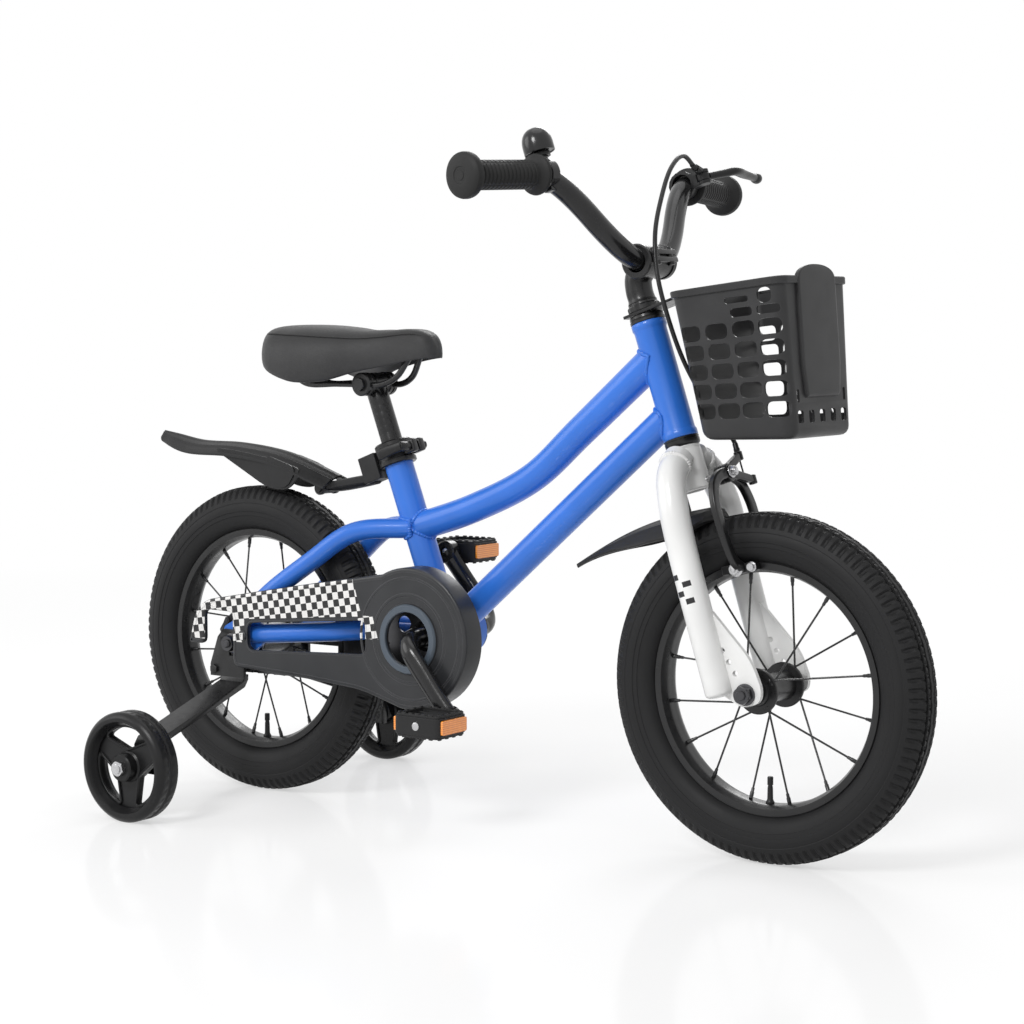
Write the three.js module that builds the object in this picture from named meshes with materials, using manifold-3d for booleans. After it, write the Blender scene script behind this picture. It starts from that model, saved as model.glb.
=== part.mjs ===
// Child's 14 inch bicycle with training wheels.
// Millimetres, +X forward, +Y to the rider's left, +Z up.
// The origin is where the rear tyre touches the ground.

import * as THREE from 'three';
import { mergeVertices } from 'three/addons/utils/BufferGeometryUtils.js';
import Module from 'manifold-3d';

const wasm = await Module();
wasm.setup();

// Fits
const seatGap = 0.3; // between pieces that touch
const runningGap = 0.6; // round shafts that turn
const overrun = 2; // how far a cut passes a face

// Counts of facets
const wheelFacets = 24;
const roundFacets = 16;
const hubFacets = 12;
const tubeFacets = 10;
const smallFacets = 8;
const tinyFacets = 6;
const spokeFacets = 3;

// Wheels
const wheelRadius = 177;
const wheelbase = 669;
const tyreSection = 52;
const tyreWall = 4.5;
const treadHalfWidth = 9;
const rimHalfWidth = 15;
const tyreHeight = 49.5; // from the rim's edge to the tread
const rimFlangeRadius = wheelRadius - tyreHeight;
const rimFlangeHeight = 5.7;
const rimWellDepth = 5;
const rimWellHalfWidth = 6;
const rimWall = 1.6;
const spokeCount = 16;
const spokeRadius = 1.1;
const spokeLean = 0.12;
const hubFlangeRadius = 23;
const hubFlangeThickness = 3;
const frontHubHalfWidth = 42;
const frontFlangeOffset = 27;
const frontHubBarrelRadius = 15;
const rearFlangeOffset = 27;
const rearHubBarrelRadius = 19;
const brakeDrumRadius = 21;
const brakeDrumEnd = 42;
const driverRadius = 17;
const axleRadius = 4.75;
const valveRadius = 3;
const valveLength = 27;

// Steering axis, measured from the front axle
const headAngle = THREE.MathUtils.degToRad(18.7);
const forkRake = 21;
const crownRise = 35; // fork crown above the tyre
const crownToHead = 56;
const crownBottom = wheelRadius + crownRise;
const headTubeBottom = crownBottom + crownToHead;
const headTubeLength = 124;
const headTubeRadius = 17;
const headTubeWall = 2;

// Frame tubes
const bottomBracketRise = 26;
const tyreToShell = 61;
const shellRadius = 28;
const shellHalfWidth = 34;
const shellWall = 2.5;
const seatTubeTilt = THREE.MathUtils.degToRad(20.5);
const seatTubeLength = 214;
const seatTubeRadius = 15.9;
const topTubeRadius = 15.8;
const topTubeDrop = 36;
const topTubeSeatHeight = 121;
const topTubeSag = 34.5;
const downTubeRadius = 16;
const downTubeDrop = 97;
const stayRadius = 11;
const dropoutInner = 49.5;
const dropoutThickness = 5;
const stayTyreGap = 5;

// Chain drive
const chainPitch = 12.7;
const chainringTeeth = 28;
const sprocketTeeth = 16;
const chainLine = 38;
const toothThickness = 2.4;
const toothHeight = 2.6;
const chainInnerWidth = 5.6;
const chainOuterWidth = 7.8;
const chainHeight = 8.4;
const windowCount = 5;
const windowRadius = 9;
const windowCircle = 33;
const crankLength = 101;
const crankAngle = THREE.MathUtils.degToRad(-50.6);
const spindleRadius = 11;
const crankArmOffset = 84;
const crankBend = 16;
const crankArmWidth = 11;
const crankArmThickness = 7;
const pedalEyeRadius = 13;
const pedalEyeDepth = 14;
const pedalLength = 50;
const pedalWidth = 64;
const pedalHeight = 27;
const pedalSpindleRadius = 4.5;
const pedalGap = 2;
const pedalCorner = 6;
const pedalSleeveRadius = 9;
const pedalRail = 6;
const reflectorLength = 42;
const reflectorHeight = 15;
const reflectorDepth = 2.4;
const cupFlangeRadius = 27;
const cupFlange = 2;
const cupSkirt = 9;
const driveFlangeRadius = 17;
const driveFlange = 3;

// Rear axle and coaster arm
const axleEnd = 73;
const frontAxleEnd = 64;
const nutRadius = 9.5;
const nutThickness = 8;
const axleWasherRadius = 11;
const axleWasher = 1.6;
const coneRadius = 8.5;
const coasterArmInner = 44;
const coasterArmThickness = 3;
const coasterArmLength = 88;
const coasterArmWidth = 17;
const coasterClip = 2;
const coasterClipWidth = 10;

// Chain guard
const guardFace = 72;
const guardDepth = 28;
const guardWall = 2.5;
const guardBulge = 77;
const guardRingRadius = 33;
const guardBoreRadius = 27;
const guardRingHeight = 4;
const guardScrewRadius = 4.5;

// Saddle and post
const saddleLength = 228;
const saddleHalfWidth = 73;
const saddleStack = 66.3; // top of the pad above its clamp
const saddleSetback = 135.5; // tail behind the clamp
const saddleSkirt = 66;
const saddlePad = 22;
const saddleLip = 7;
const saddleDip = 6;
const postRadius = 12;
const postInsertion = 95;
const postTravel = 25;
const railRadius = 3.5;
const railSpread = 19;
const clampRadius = 13;
const clampHalfWidth = 26;
const collarRadius = 21;
const collarHeight = 26;
const collarOverlap = 20;
const collarLip = 5;
const lugLength = 14;
const lugWidth = 22;
const lugHeight = 15;
const lugSlit = 3;
const leverLength = 30;
const leverRadius = 5.5;
const leverPinRadius = 3;
const saddleClampRise = 289;
const clampBolt = 4;

// Mudguards
const mudguardWall = 2.4;
const rearMudguardHalfWidth = 30;
const rearMudguardGap = 38;
const frontMudguardHalfWidth = 27;
const frontMudguardGap = 22;
const mudguardArch = 12;
const mudguardSkirt = 22;
const mudguardArmWidth = 24;
const mudguardArmThickness = 8;
const mudguardBlockHeight = 30;
const frontMudguardLength = 182;
const mudguardTabWidth = 20;

// Fork
const steererRadius = 12.7;
const steererWall = 1.6;
const legRadius = 15;
const legSpread = 53;
const crownHeight = 40;
const forkEndThickness = 5;
const forkEndInner = 46;
const crownRadius = 17;
const raceGap = 0.4;
const headsetFlange = 9;
const headsetFlangeRadius = 18.3;
const headsetSkirt = 11;
const upperFlange = 8;
const locknutHeight = 9.4;
const locknutRadius = 17;

// Handlebar
const barRadius = 11.1;
const stemRise = 36.6;
const barReach = 21;
const barRise = 92;
const barHalfWidth = 244;
const barSweep = 19;
const gripLength = 104;
const gripRadius = 14.5;
const gripKnobRadius = 22.5;
const gripFlangeRadius = 20.5;
const stemClampRadius = 18;
const stemClampHalfWidth = 26;
const stemRadius = 14;
const quillLength = 82;
const quillRadius = 10.6;
const barBend = 14;
const gripWall = 4;
const gripCollar = 5;
const barFlat = 38;
const barStraight = 21.5; // bare part beside each grip

// Basket
const basketReach = 62;
const basketFloor = 250;
const basketLean = THREE.MathUtils.degToRad(6);
const basketHeight = 148;
const basketFloorDepth = 97;
const basketTopDepth = 119;
const basketFloorDrop = 19;
const basketTopDrop = 11;
const basketTopHalfWidth = 80;
const basketFloorHalfWidth = 72;
const basketFrontShare = 0.88;
const basketWall = 2.8;
const basketCorner = 14;
const basketEdge = 9;
const basketLip = 7;
const basketPanel = 38;
const basketHump = 10;
const basketRows = 5;
const basketFirstRow = 18;
const basketRowPitch = 21;
const basketWindowLength = 23;
const basketWindowHeight = 17;
const basketHole = 16;
const basketDrains = 4;
const bracketThickness = 3;
const bracketHalfWidth = 17;

// Training wheels
const trainingRadius = 60.5;
const trainingTrack = 225;
const trainingHalfWidth = 16;
const trainingHubRadius = 15;
const trainingBoreRadius = 6;
const bracketPlate = 4;
const bracketWidth = 34;
const bracketRib = 4;
const bracketTop = 15;
const bracketKnee = 44;
const bracketFoot = 24;
const trainingBoltRadius = 5.4;
const trainingNutRadius = 9;
const trainingNut = 6;
const trainingRimWall = 11;
const trainingWeb = 6;
const trainingShoulder = 5;
const trainingWindows = 3;

// Brake, cable and bell
const brakePivotRise = 7;
const brakePivotHeight = crownBottom + brakePivotRise;
const brakeBoltRadius = 3.5;
const brakeNutRadius = 6.5;
const brakeNut = 5;
const brakeArmThickness = 7;
const brakeArmWidth = 10;
const brakeArmGap = 1;
const brakeReach = 30;
const brakeSpan = 42;
const padLength = 40;
const padThickness = 8;
const padHeight = 9;
const padGap = 2;
const barrelRadius = 4.5;
const barrelLength = 9;
const cableRadius = 2.5;
const wireRadius = 0.9;
const leverMountWidth = 11;
const leverMountWall = 3.5;
const leverBladeThickness = 8;
const leverBladeWidth = 9;
const leverBossRadius = 7;
const leverPivotReach = 26;
const bellRadius = 15.5;
const bellHeight = 26;
const bellStandoff = 22;
const bellBaseRadius = 6.5;
const bellBandWidth = 11;
const bellLeverReach = 30;
const bellLeverHeight = 4;
const leverReach = 50;
const cableForward = 46;
const cableSteps = 22;

// Colours
const paint = { blue: 0x1d4fd7, white: 0xf1f1f0 };
const blue = new THREE.MeshStandardMaterial({ color: paint.blue, roughness: 0.25, metalness: 0.1 });
const white = new THREE.MeshStandardMaterial({ color: paint.white, roughness: 0.3, metalness: 0.1 });
const blackPaint = new THREE.MeshStandardMaterial({ color: 0x17181a, roughness: 0.35, metalness: 0.4 });
const blackPlastic = new THREE.MeshStandardMaterial({ color: 0x2a2b2d, roughness: 0.55, metalness: 0 });
const tyreRubber = new THREE.MeshStandardMaterial({ color: 0x1d1d1e, roughness: 0.85, metalness: 0 });
const gripRubber = new THREE.MeshStandardMaterial({ color: 0x242526, roughness: 0.75, metalness: 0 });
const saddleCover = new THREE.MeshStandardMaterial({ color: 0x2b2b2c, roughness: 0.6, metalness: 0 });
const bareSteel = new THREE.MeshStandardMaterial({ color: 0xb9bbbd, roughness: 0.3, metalness: 0.9 });
const amber = new THREE.MeshStandardMaterial({ color: 0xf08a1c, roughness: 0.2, metalness: 0 });

// Points and directions
const acrossY = new THREE.Vector3(0, 1, 0);
const alongX = new THREE.Vector3(1, 0, 0);
const up = new THREE.Vector3(0, 0, 1);
const at = (x, y, z) => new THREE.Vector3(x, y, z);
const flat = (x, z) => new THREE.Vector2(x, z);
const mirrored = (point) => at(point.x, -point.y, point.z);

// A closed solid from any closed geometry, with its faces turned out
function solidFrom(geometry) {
  const bare = geometry.clone();
  bare.deleteAttribute('normal');
  bare.deleteAttribute('uv');
  const merged = mergeVertices(bare);
  const place = merged.attributes.position;
  const corners = [0, 1, 2].map(() => new THREE.Vector3());
  const kept = [];
  let volume = 0;
  for (let i = 0; i < merged.index.count; i += 3) {
    const face = [0, 1, 2].map((k) => merged.index.getX(i + k));
    if (new Set(face).size === 3) {
      face.forEach((vertex, k) => corners[k].fromBufferAttribute(place, vertex));
      volume += corners[0].dot(corners[1].clone().cross(corners[2]));
      kept.push(face);
    }
  }
  const turned = volume < 0 ? kept.map(([a, b, c]) => [a, c, b]) : kept;
  return new wasm.Manifold(new wasm.Mesh({
    numProp: 3,
    vertProperties: Float32Array.from(place.array),
    triVerts: Uint32Array.from(turned.flat()),
  }));
}

function joined(...solids) {
  return solids.reduce((whole, next) => whole.add(next));
}

function cut(solid, ...tools) {
  return tools.reduce((rest, tool) => rest.subtract(tool), solid);
}

function addPiece(parent, name, solid, material) {
  const mesh = solid.getMesh();
  const geometry = new THREE.BufferGeometry();
  geometry.setAttribute('position', new THREE.BufferAttribute(Float32Array.from(mesh.vertProperties), 3));
  geometry.setIndex(new THREE.BufferAttribute(Uint32Array.from(mesh.triVerts), 1));
  geometry.computeVertexNormals();
  const piece = new THREE.Mesh(geometry, material);
  piece.name = name;
  parent.add(piece);
  return piece;
}

// Two directions in the plane of a ring of points
function ringPlane(ring) {
  const normal = new THREE.Vector3();
  ring.forEach((point, i) => {
    normal.add(point.clone().cross(ring[(i + 1) % ring.length]));
  });
  normal.normalize();
  const first = ring[1].clone().sub(ring[0]).normalize();
  return [first, normal.clone().cross(first)];
}

// A closed skin through rings that have equally many points
function loft(rings, closed = false) {
  const count = rings[0].length;
  const index = [];
  const spans = closed ? rings.length : rings.length - 1;
  for (let i = 0; i < spans; i++) {
    const here = i * count;
    const next = ((i + 1) % rings.length) * count;
    for (let j = 0; j < count; j++) {
      const k = (j + 1) % count;
      index.push(here + j, here + k, next + j, here + k, next + k, next + j);
    }
  }
  if (!closed) {
    const last = rings.length - 1;
    capOf(rings[0]).forEach(([a, b, c]) => index.push(a, c, b));
    capOf(rings[last]).forEach((face) => index.push(...face.map((vertex) => vertex + last * count)));
  }
  const geometry = new THREE.BufferGeometry().setFromPoints(rings.flat());
  geometry.setIndex(index);
  return solidFrom(geometry);
}

function capOf(ring) {
  const [first, second] = ringPlane(ring);
  const outline = ring.map((point) => new THREE.Vector2(point.dot(first), point.dot(second)));
  return THREE.ShapeUtils.triangulateShape(outline, []);
}

// Rings of a flat section set square to a path; the section is pairs of across and up
function ringsAlong(points, sectionAt, across) {
  let side = across.clone();
  return points.map((point, i) => {
    const before = points[Math.max(i - 1, 0)];
    const after = points[Math.min(i + 1, points.length - 1)];
    const inward = point.clone().sub(before).normalize();
    const along = after.clone().sub(point).normalize().add(inward).normalize();
    side = side.addScaledVector(along, -side.dot(along)).normalize();
    const rise = along.clone().cross(side);
    return sectionAt(i / (points.length - 1)).map(
      ([a, b]) => point.clone().addScaledVector(side, a).addScaledVector(rise, b),
    );
  });
}

function sweep(points, sectionAt, across = acrossY) {
  return loft(ringsAlong(points, sectionAt, across));
}

function oval(across, rise, sides) {
  return Array.from({ length: sides }, (_, i) => {
    const angle = ((i + 0.5) / sides) * 2 * Math.PI;
    return [across * Math.cos(angle), rise * Math.sin(angle)];
  });
}

function tube(points, radius, sides = tubeFacets, across = acrossY) {
  return sweep(points, () => oval(radius, radius, sides), across);
}

function taperedTube(points, radii, sides = tubeFacets) {
  const between = (share) => {
    const place = share * (radii.length - 1);
    const low = Math.min(Math.floor(place), radii.length - 2);
    return THREE.MathUtils.lerp(radii[low], radii[low + 1], place - low);
  };
  return sweep(points, (share) => oval(between(share), between(share), sides));
}

function rod(from, to, radius, sides = roundFacets) {
  const across = Math.abs(to.clone().sub(from).normalize().y) > 0.9 ? alongX : acrossY;
  return tube([from, to], radius, sides, across);
}

// A round hole whose flats lie at the radius
function bore(from, to, radius, sides = roundFacets) {
  const past = to.clone().sub(from).setLength(overrun);
  return rod(from.clone().sub(past), to.clone().add(past), radius / Math.cos(Math.PI / sides), sides);
}

function sleeve(from, to, inner, outer, sides = roundFacets) {
  return rod(from, to, outer, sides).subtract(bore(from, to, inner, sides));
}

// A polyline whose corners are rounded
function bend(corners, radius, steps = 3) {
  const points = [corners[0]];
  for (let i = 1; i < corners.length - 1; i++) {
    const back = corners[i - 1].clone().sub(corners[i]);
    const ahead = corners[i + 1].clone().sub(corners[i]);
    const turn = Math.PI - back.angleTo(ahead);
    const wanted = radius * Math.tan(turn / 2);
    const reach = Math.min(wanted, back.length() * 0.48, ahead.length() * 0.48);
    const start = corners[i].clone().addScaledVector(back.normalize(), reach);
    const end = corners[i].clone().addScaledVector(ahead.normalize(), reach);
    const arc = new THREE.QuadraticBezierCurve3(start, corners[i], end);
    points.push(...arc.getPoints(steps));
  }
  points.push(corners[corners.length - 1]);
  return points;
}

// A smooth curve through a few points
function smooth(points, steps) {
  return new THREE.CatmullRomCurve3(points, false, 'centripetal').getPoints(steps);
}

// A profile of [radius, height] pairs turned round an axis, with a facet facing down
function turned(profile, origin, axis = acrossY, sides = roundFacets) {
  const spread = 1 / Math.cos(Math.PI / sides);
  const points = profile.map(([radius, height]) => flat(radius * spread, height));
  const geometry = new THREE.LatheGeometry(points, sides, Math.PI / sides);
  geometry.applyQuaternion(new THREE.Quaternion().setFromUnitVectors(acrossY, axis));
  geometry.translate(origin.x, origin.y, origin.z);
  return solidFrom(geometry);
}

function ringProfile(inner, outer, low, high) {
  return [[inner, low], [outer, low], [outer, high], [inner, high], [inner, low]];
}

function washer(inner, outer, low, high, origin, axis = acrossY, sides = roundFacets) {
  return turned(ringProfile(inner, outer, low, high), origin, axis, sides);
}

// A flat outline in X and Z, from one Y to another
function slab(shape, low, high, curveSteps = 4) {
  const geometry = new THREE.ExtrudeGeometry(shape, {
    depth: high - low,
    bevelEnabled: false,
    curveSegments: curveSteps,
  });
  geometry.rotateX(Math.PI / 2);
  geometry.translate(0, high, 0);
  return solidFrom(geometry);
}

// A flat outline in Y and Z, from one X to another
function crossSlab(shape, low, high, curveSteps = 4) {
  const geometry = new THREE.ExtrudeGeometry(shape, {
    depth: high - low,
    bevelEnabled: false,
    curveSegments: curveSteps,
  });
  geometry.rotateX(Math.PI / 2);
  geometry.rotateZ(Math.PI / 2);
  geometry.translate(low, 0, 0);
  return solidFrom(geometry);
}

function outline(pairs) {
  return new THREE.Shape(pairs.map(([a, b]) => flat(a, b)));
}

function block(center, size) {
  const geometry = new THREE.BoxGeometry(size.x, size.y, size.z);
  geometry.translate(center.x, center.y, center.z);
  return solidFrom(geometry);
}

// A regular outline of any number of sides about a point
function polygon(center, radius, sides, phase = 0) {
  return Array.from({ length: sides }, (_, i) => {
    const angle = phase + (i / sides) * 2 * Math.PI;
    return [center[0] + radius * Math.cos(angle), center[1] + radius * Math.sin(angle)];
  });
}

const bicycle = new THREE.Group();
bicycle.name = 'bicycle';

const rearAxle = at(0, 0, wheelRadius);
const frontAxle = at(wheelbase, 0, wheelRadius);
const bottomBracket = at(wheelRadius + tyreToShell + shellRadius, 0, wheelRadius + bottomBracketRise);

// The steering group's own Z runs up the steering axis, and its X points forward
const steering = new THREE.Group();
steering.rotation.y = -headAngle;
steering.position.set(
  frontAxle.x - forkRake * Math.cos(headAngle),
  0,
  frontAxle.z - forkRake * Math.sin(headAngle),
);
bicycle.add(steering);
const headTubeTop = headTubeBottom + headTubeLength;

// A place in the steering group, given in the bicycle's own frame
function steered(forward, side, rise) {
  return at(forward, side, rise).applyAxisAngle(acrossY, -headAngle).add(steering.position);
}

// The seat group's own Z runs up the seat tube from the bottom bracket
const seatGroup = new THREE.Group();
seatGroup.rotation.y = -seatTubeTilt;
seatGroup.position.copy(bottomBracket);
bicycle.add(seatGroup);

function onSeatTube(forward, side, rise) {
  return at(forward, side, rise).applyAxisAngle(acrossY, -seatTubeTilt).add(bottomBracket);
}

// Road wheel: tyre, rim, hub with its spokes, and valve

function halfProfile(pairs) {
  const left = pairs.map(([radius, side]) => [radius, -side]).reverse();
  return [...pairs, ...left, pairs[0]];
}

function tyreSolid(center) {
  const half = tyreSection / 2;
  const middle = wheelRadius - half;
  const beadSeat = rimFlangeRadius - rimFlangeHeight + seatGap;
  const bead = rimHalfWidth - rimWall - seatGap;
  const neck = rimFlangeRadius + seatGap + rimWall;
  return turned(halfProfile([
    [wheelRadius, treadHalfWidth],
    [wheelRadius - half * 0.25, half * 0.76],
    [middle, half],
    [middle - half * 0.66, half * 0.8],
    [neck, bead],
    [beadSeat, bead],
    [beadSeat, bead - tyreWall],
    [middle, half - tyreWall],
    [wheelRadius - tyreWall, treadHalfWidth * 0.8],
  ]), center, acrossY, wheelFacets);
}

function rimSolid(center) {
  const seat = rimFlangeRadius - rimFlangeHeight;
  const inside = rimHalfWidth - rimWall;
  return turned(halfProfile([
    [seat - rimWellDepth, rimWellHalfWidth + rimWall],
    [seat - rimWall, rimHalfWidth],
    [rimFlangeRadius, rimHalfWidth],
    [rimFlangeRadius, inside],
    [seat, inside],
    [seat - rimWellDepth + rimWall, rimWellHalfWidth],
  ]), center, acrossY, wheelFacets);
}

// Spokes lean forward and back in turn, and go to each flange in turn
function spokes(center, flangeOffset, flangeRadius) {
  const rimInside = rimFlangeRadius - rimFlangeHeight - rimWellDepth;
  const facet = (2 * Math.PI) / wheelFacets;
  return Array.from({ length: spokeCount }, (_, i) => {
    const side = i % 2 === 0 ? 1 : -1;
    const lean = Math.floor(i / 2) % 2 === 0 ? spokeLean : -spokeLean;
    const angle = ((i + 0.5) / spokeCount) * 2 * Math.PI;
    const hubAngle = angle + lean * 4;
    const inner = flangeRadius - spokeRadius * 3;
    const offFacet = angle - Math.round(angle / facet) * facet;
    const rimEnd = rimInside / Math.cos(offFacet) - seatGap * 1.4;
    const from = at(inner * Math.sin(hubAngle), side * flangeOffset, inner * Math.cos(hubAngle));
    const to = at(rimEnd * Math.sin(angle), side * spokeRadius, rimEnd * Math.cos(angle));
    return tube([from.add(center), to.add(center)], spokeRadius, spokeFacets, alongX);
  });
}

function addRoadWheel(parent, name, center, hub, hubMaterial) {
  const rimTop = center.z - (rimFlangeRadius - rimFlangeHeight - rimWellDepth);
  const post = (low, high, radius) => rod(at(center.x, 0, low), at(center.x, 0, high), radius, smallFacets);
  addPiece(parent, `${name}_tyre`, tyreSolid(center), tyreRubber);
  const valveHole = bore(
    at(center.x, 0, rimTop - rimWall),
    at(center.x, 0, rimTop),
    valveRadius + seatGap,
    smallFacets,
  );
  addPiece(parent, `${name}_rim`, rimSolid(center).subtract(valveHole), blackPaint);
  addPiece(parent, `${name}_hub`, hub, hubMaterial);
  const valve = joined(
    post(rimTop - rimWall, rimTop + valveLength * 0.6, valveRadius),
    post(rimTop + seatGap, rimTop + seatGap + valveRadius, valveRadius * 1.6),
    post(rimTop + valveLength * 0.6, rimTop + valveLength, valveRadius * 0.8),
  );
  addPiece(parent, `${name}_valve`, valve, blackPlastic);
}

const axleBore = axleRadius + runningGap;

function frontHub(center) {
  const flange = frontFlangeOffset + hubFlangeThickness / 2;
  const inner = frontFlangeOffset - hubFlangeThickness / 2;
  const body = turned([
    [axleBore, -frontHubHalfWidth],
    [frontHubBarrelRadius * 0.8, -frontHubHalfWidth],
    [frontHubBarrelRadius, -flange],
    [hubFlangeRadius, -flange],
    [hubFlangeRadius, -inner],
    [frontHubBarrelRadius, -inner],
    [frontHubBarrelRadius, inner],
    [hubFlangeRadius, inner],
    [hubFlangeRadius, flange],
    [frontHubBarrelRadius, flange],
    [frontHubBarrelRadius * 0.8, frontHubHalfWidth],
    [axleBore, frontHubHalfWidth],
    [axleBore, -frontHubHalfWidth],
  ], center, acrossY, hubFacets);
  return joined(body, ...spokes(center, frontFlangeOffset, hubFlangeRadius));
}

// The rear hub is longer at the left, where its brake drum is
function rearHub(center) {
  const flange = rearFlangeOffset + hubFlangeThickness / 2;
  const inner = rearFlangeOffset - hubFlangeThickness / 2;
  const driver = chainLine - toothThickness / 2 - seatGap;
  const body = turned([
    [axleBore, -driver],
    [driverRadius, -driver],
    [driverRadius, -flange],
    [hubFlangeRadius, -flange],
    [hubFlangeRadius, -inner],
    [rearHubBarrelRadius, -inner],
    [rearHubBarrelRadius, inner],
    [hubFlangeRadius, inner],
    [hubFlangeRadius, flange],
    [brakeDrumRadius, flange],
    [brakeDrumRadius, brakeDrumEnd],
    [axleBore, brakeDrumEnd],
    [axleBore, -driver],
  ], center, acrossY, hubFacets);
  return joined(body, ...spokes(center, rearFlangeOffset, hubFlangeRadius));
}

addRoadWheel(bicycle, 'front', frontAxle, frontHub(frontAxle), blackPaint);
addRoadWheel(bicycle, 'rear', rearAxle, rearHub(rearAxle), blackPaint);

// Sprockets and chain

const pitchRadius = (teeth) => chainPitch / (2 * Math.sin(Math.PI / teeth));

// Each tooth is a low root, two flanks and a narrow tip
function toothedOutline(center, teeth) {
  const root = pitchRadius(teeth) - chainHeight * 0.42;
  const tip = pitchRadius(teeth) + toothHeight;
  const toothShares = [[-0.28, root], [-0.08, tip], [0.08, tip], [0.28, root]];
  const points = [];
  for (let i = 0; i < teeth; i++) {
    toothShares.forEach(([share, radius]) => {
      const angle = ((i + share) / teeth) * 2 * Math.PI;
      points.push([center.x + radius * Math.cos(angle), center.z + radius * Math.sin(angle)]);
    });
  }
  return outline(points);
}

function circlePath(center, radius, sides, phase = 0) {
  return new THREE.Path(polygon(center, radius, sides, phase).map(([a, b]) => flat(a, b)));
}

function sprocket(center, teeth, bore, windows) {
  const shape = toothedOutline(center, teeth);
  shape.holes.push(circlePath([center.x, center.z], bore, roundFacets));
  windows.forEach((window) => shape.holes.push(window));
  return slab(shape, -chainLine - toothThickness / 2, -chainLine + toothThickness / 2);
}

const chainringWindows = Array.from({ length: windowCount }, (_, i) => {
  const angle = (i / windowCount) * 2 * Math.PI;
  const center = [
    bottomBracket.x + windowCircle * Math.cos(angle),
    bottomBracket.z + windowCircle * Math.sin(angle),
  ];
  return circlePath(center, windowRadius, tinyFacets + 2);
});
addPiece(
  bicycle,
  'chainring',
  sprocket(bottomBracket, chainringTeeth, spindleRadius + seatGap * 2, chainringWindows),
  blackPaint,
);
addPiece(
  bicycle,
  'rear_sprocket',
  sprocket(rearAxle, sprocketTeeth, axleBore + hubFlangeThickness, []),
  blackPaint,
);

// The chain's path: an arc round each sprocket and two straight runs
function chainStations() {
  const big = pitchRadius(chainringTeeth);
  const small = pitchRadius(sprocketTeeth);
  const line = bottomBracket.clone().sub(rearAxle);
  const distance = line.length();
  const slope = Math.atan2(line.z, line.x);
  const spread = Math.asin((big - small) / distance);
  const run = Math.sqrt(distance ** 2 - (big - small) ** 2);
  const bigArc = big * (Math.PI + 2 * spread);
  const smallArc = small * (Math.PI - 2 * spread);
  const total = bigArc + smallArc + 2 * run;
  const links = 2 * Math.round(total / chainPitch / 2);
  const onArc = (center, radius, angle) => ({
    point: at(center.x + radius * Math.cos(angle), -chainLine, center.z + radius * Math.sin(angle)),
    out: at(Math.cos(angle), 0, Math.sin(angle)),
  });
  const top = slope + Math.PI / 2 + spread;
  const bottom = slope - Math.PI / 2 - spread;
  return Array.from({ length: links }, (_, i) => {
    let travelled = (i / links) * total;
    if (travelled < bigArc) return onArc(bottomBracket, big, bottom + travelled / big);
    travelled -= bigArc;
    if (travelled < run) return straight(top, big, small, travelled / run, onArc);
    travelled -= run;
    if (travelled < smallArc) return onArc(rearAxle, small, top + travelled / small);
    travelled -= smallArc;
    return straight(bottom, small, big, travelled / run, onArc);
  });
}

function straight(angle, fromRadius, toRadius, share, onArc) {
  const upper = Math.sin(angle) > 0;
  const from = upper ? onArc(bottomBracket, fromRadius, angle) : onArc(rearAxle, fromRadius, angle);
  const to = upper ? onArc(rearAxle, toRadius, angle) : onArc(bottomBracket, toRadius, angle);
  return { point: from.point.lerp(to.point, share), out: from.out };
}

// Wide and narrow links in turn, open inward so that the teeth run between the plates
function chainSolid() {
  const groove = toothThickness / 2 + seatGap * 2;
  const roof = toothHeight + seatGap * 3;
  const half = chainHeight / 2;
  const rings = chainStations().map(({ point, out }, i) => {
    const side = (i % 2 === 0 ? chainOuterWidth : chainInnerWidth) / 2;
    const section = [
      [-side, -half], [-groove, -half], [-groove, roof], [groove, roof],
      [groove, -half], [side, -half], [side, half], [-side, half],
    ];
    return section.map(([a, b]) => point.clone().addScaledVector(acrossY, a).addScaledVector(out, b));
  });
  return loft(rings, true);
}
addPiece(bicycle, 'chain', chainSolid(), bareSteel);

// Frame

const headJoint = (drop) => steered(0, 0, headTubeTop - drop);
const chainStayRadii = [stayRadius * 0.9, stayRadius * 0.8, stayRadius, stayRadius];
const staySpread = dropoutInner + dropoutThickness / 2;
const tyreEdge = tyreSection / 2 + stayTyreGap + stayRadius;

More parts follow.
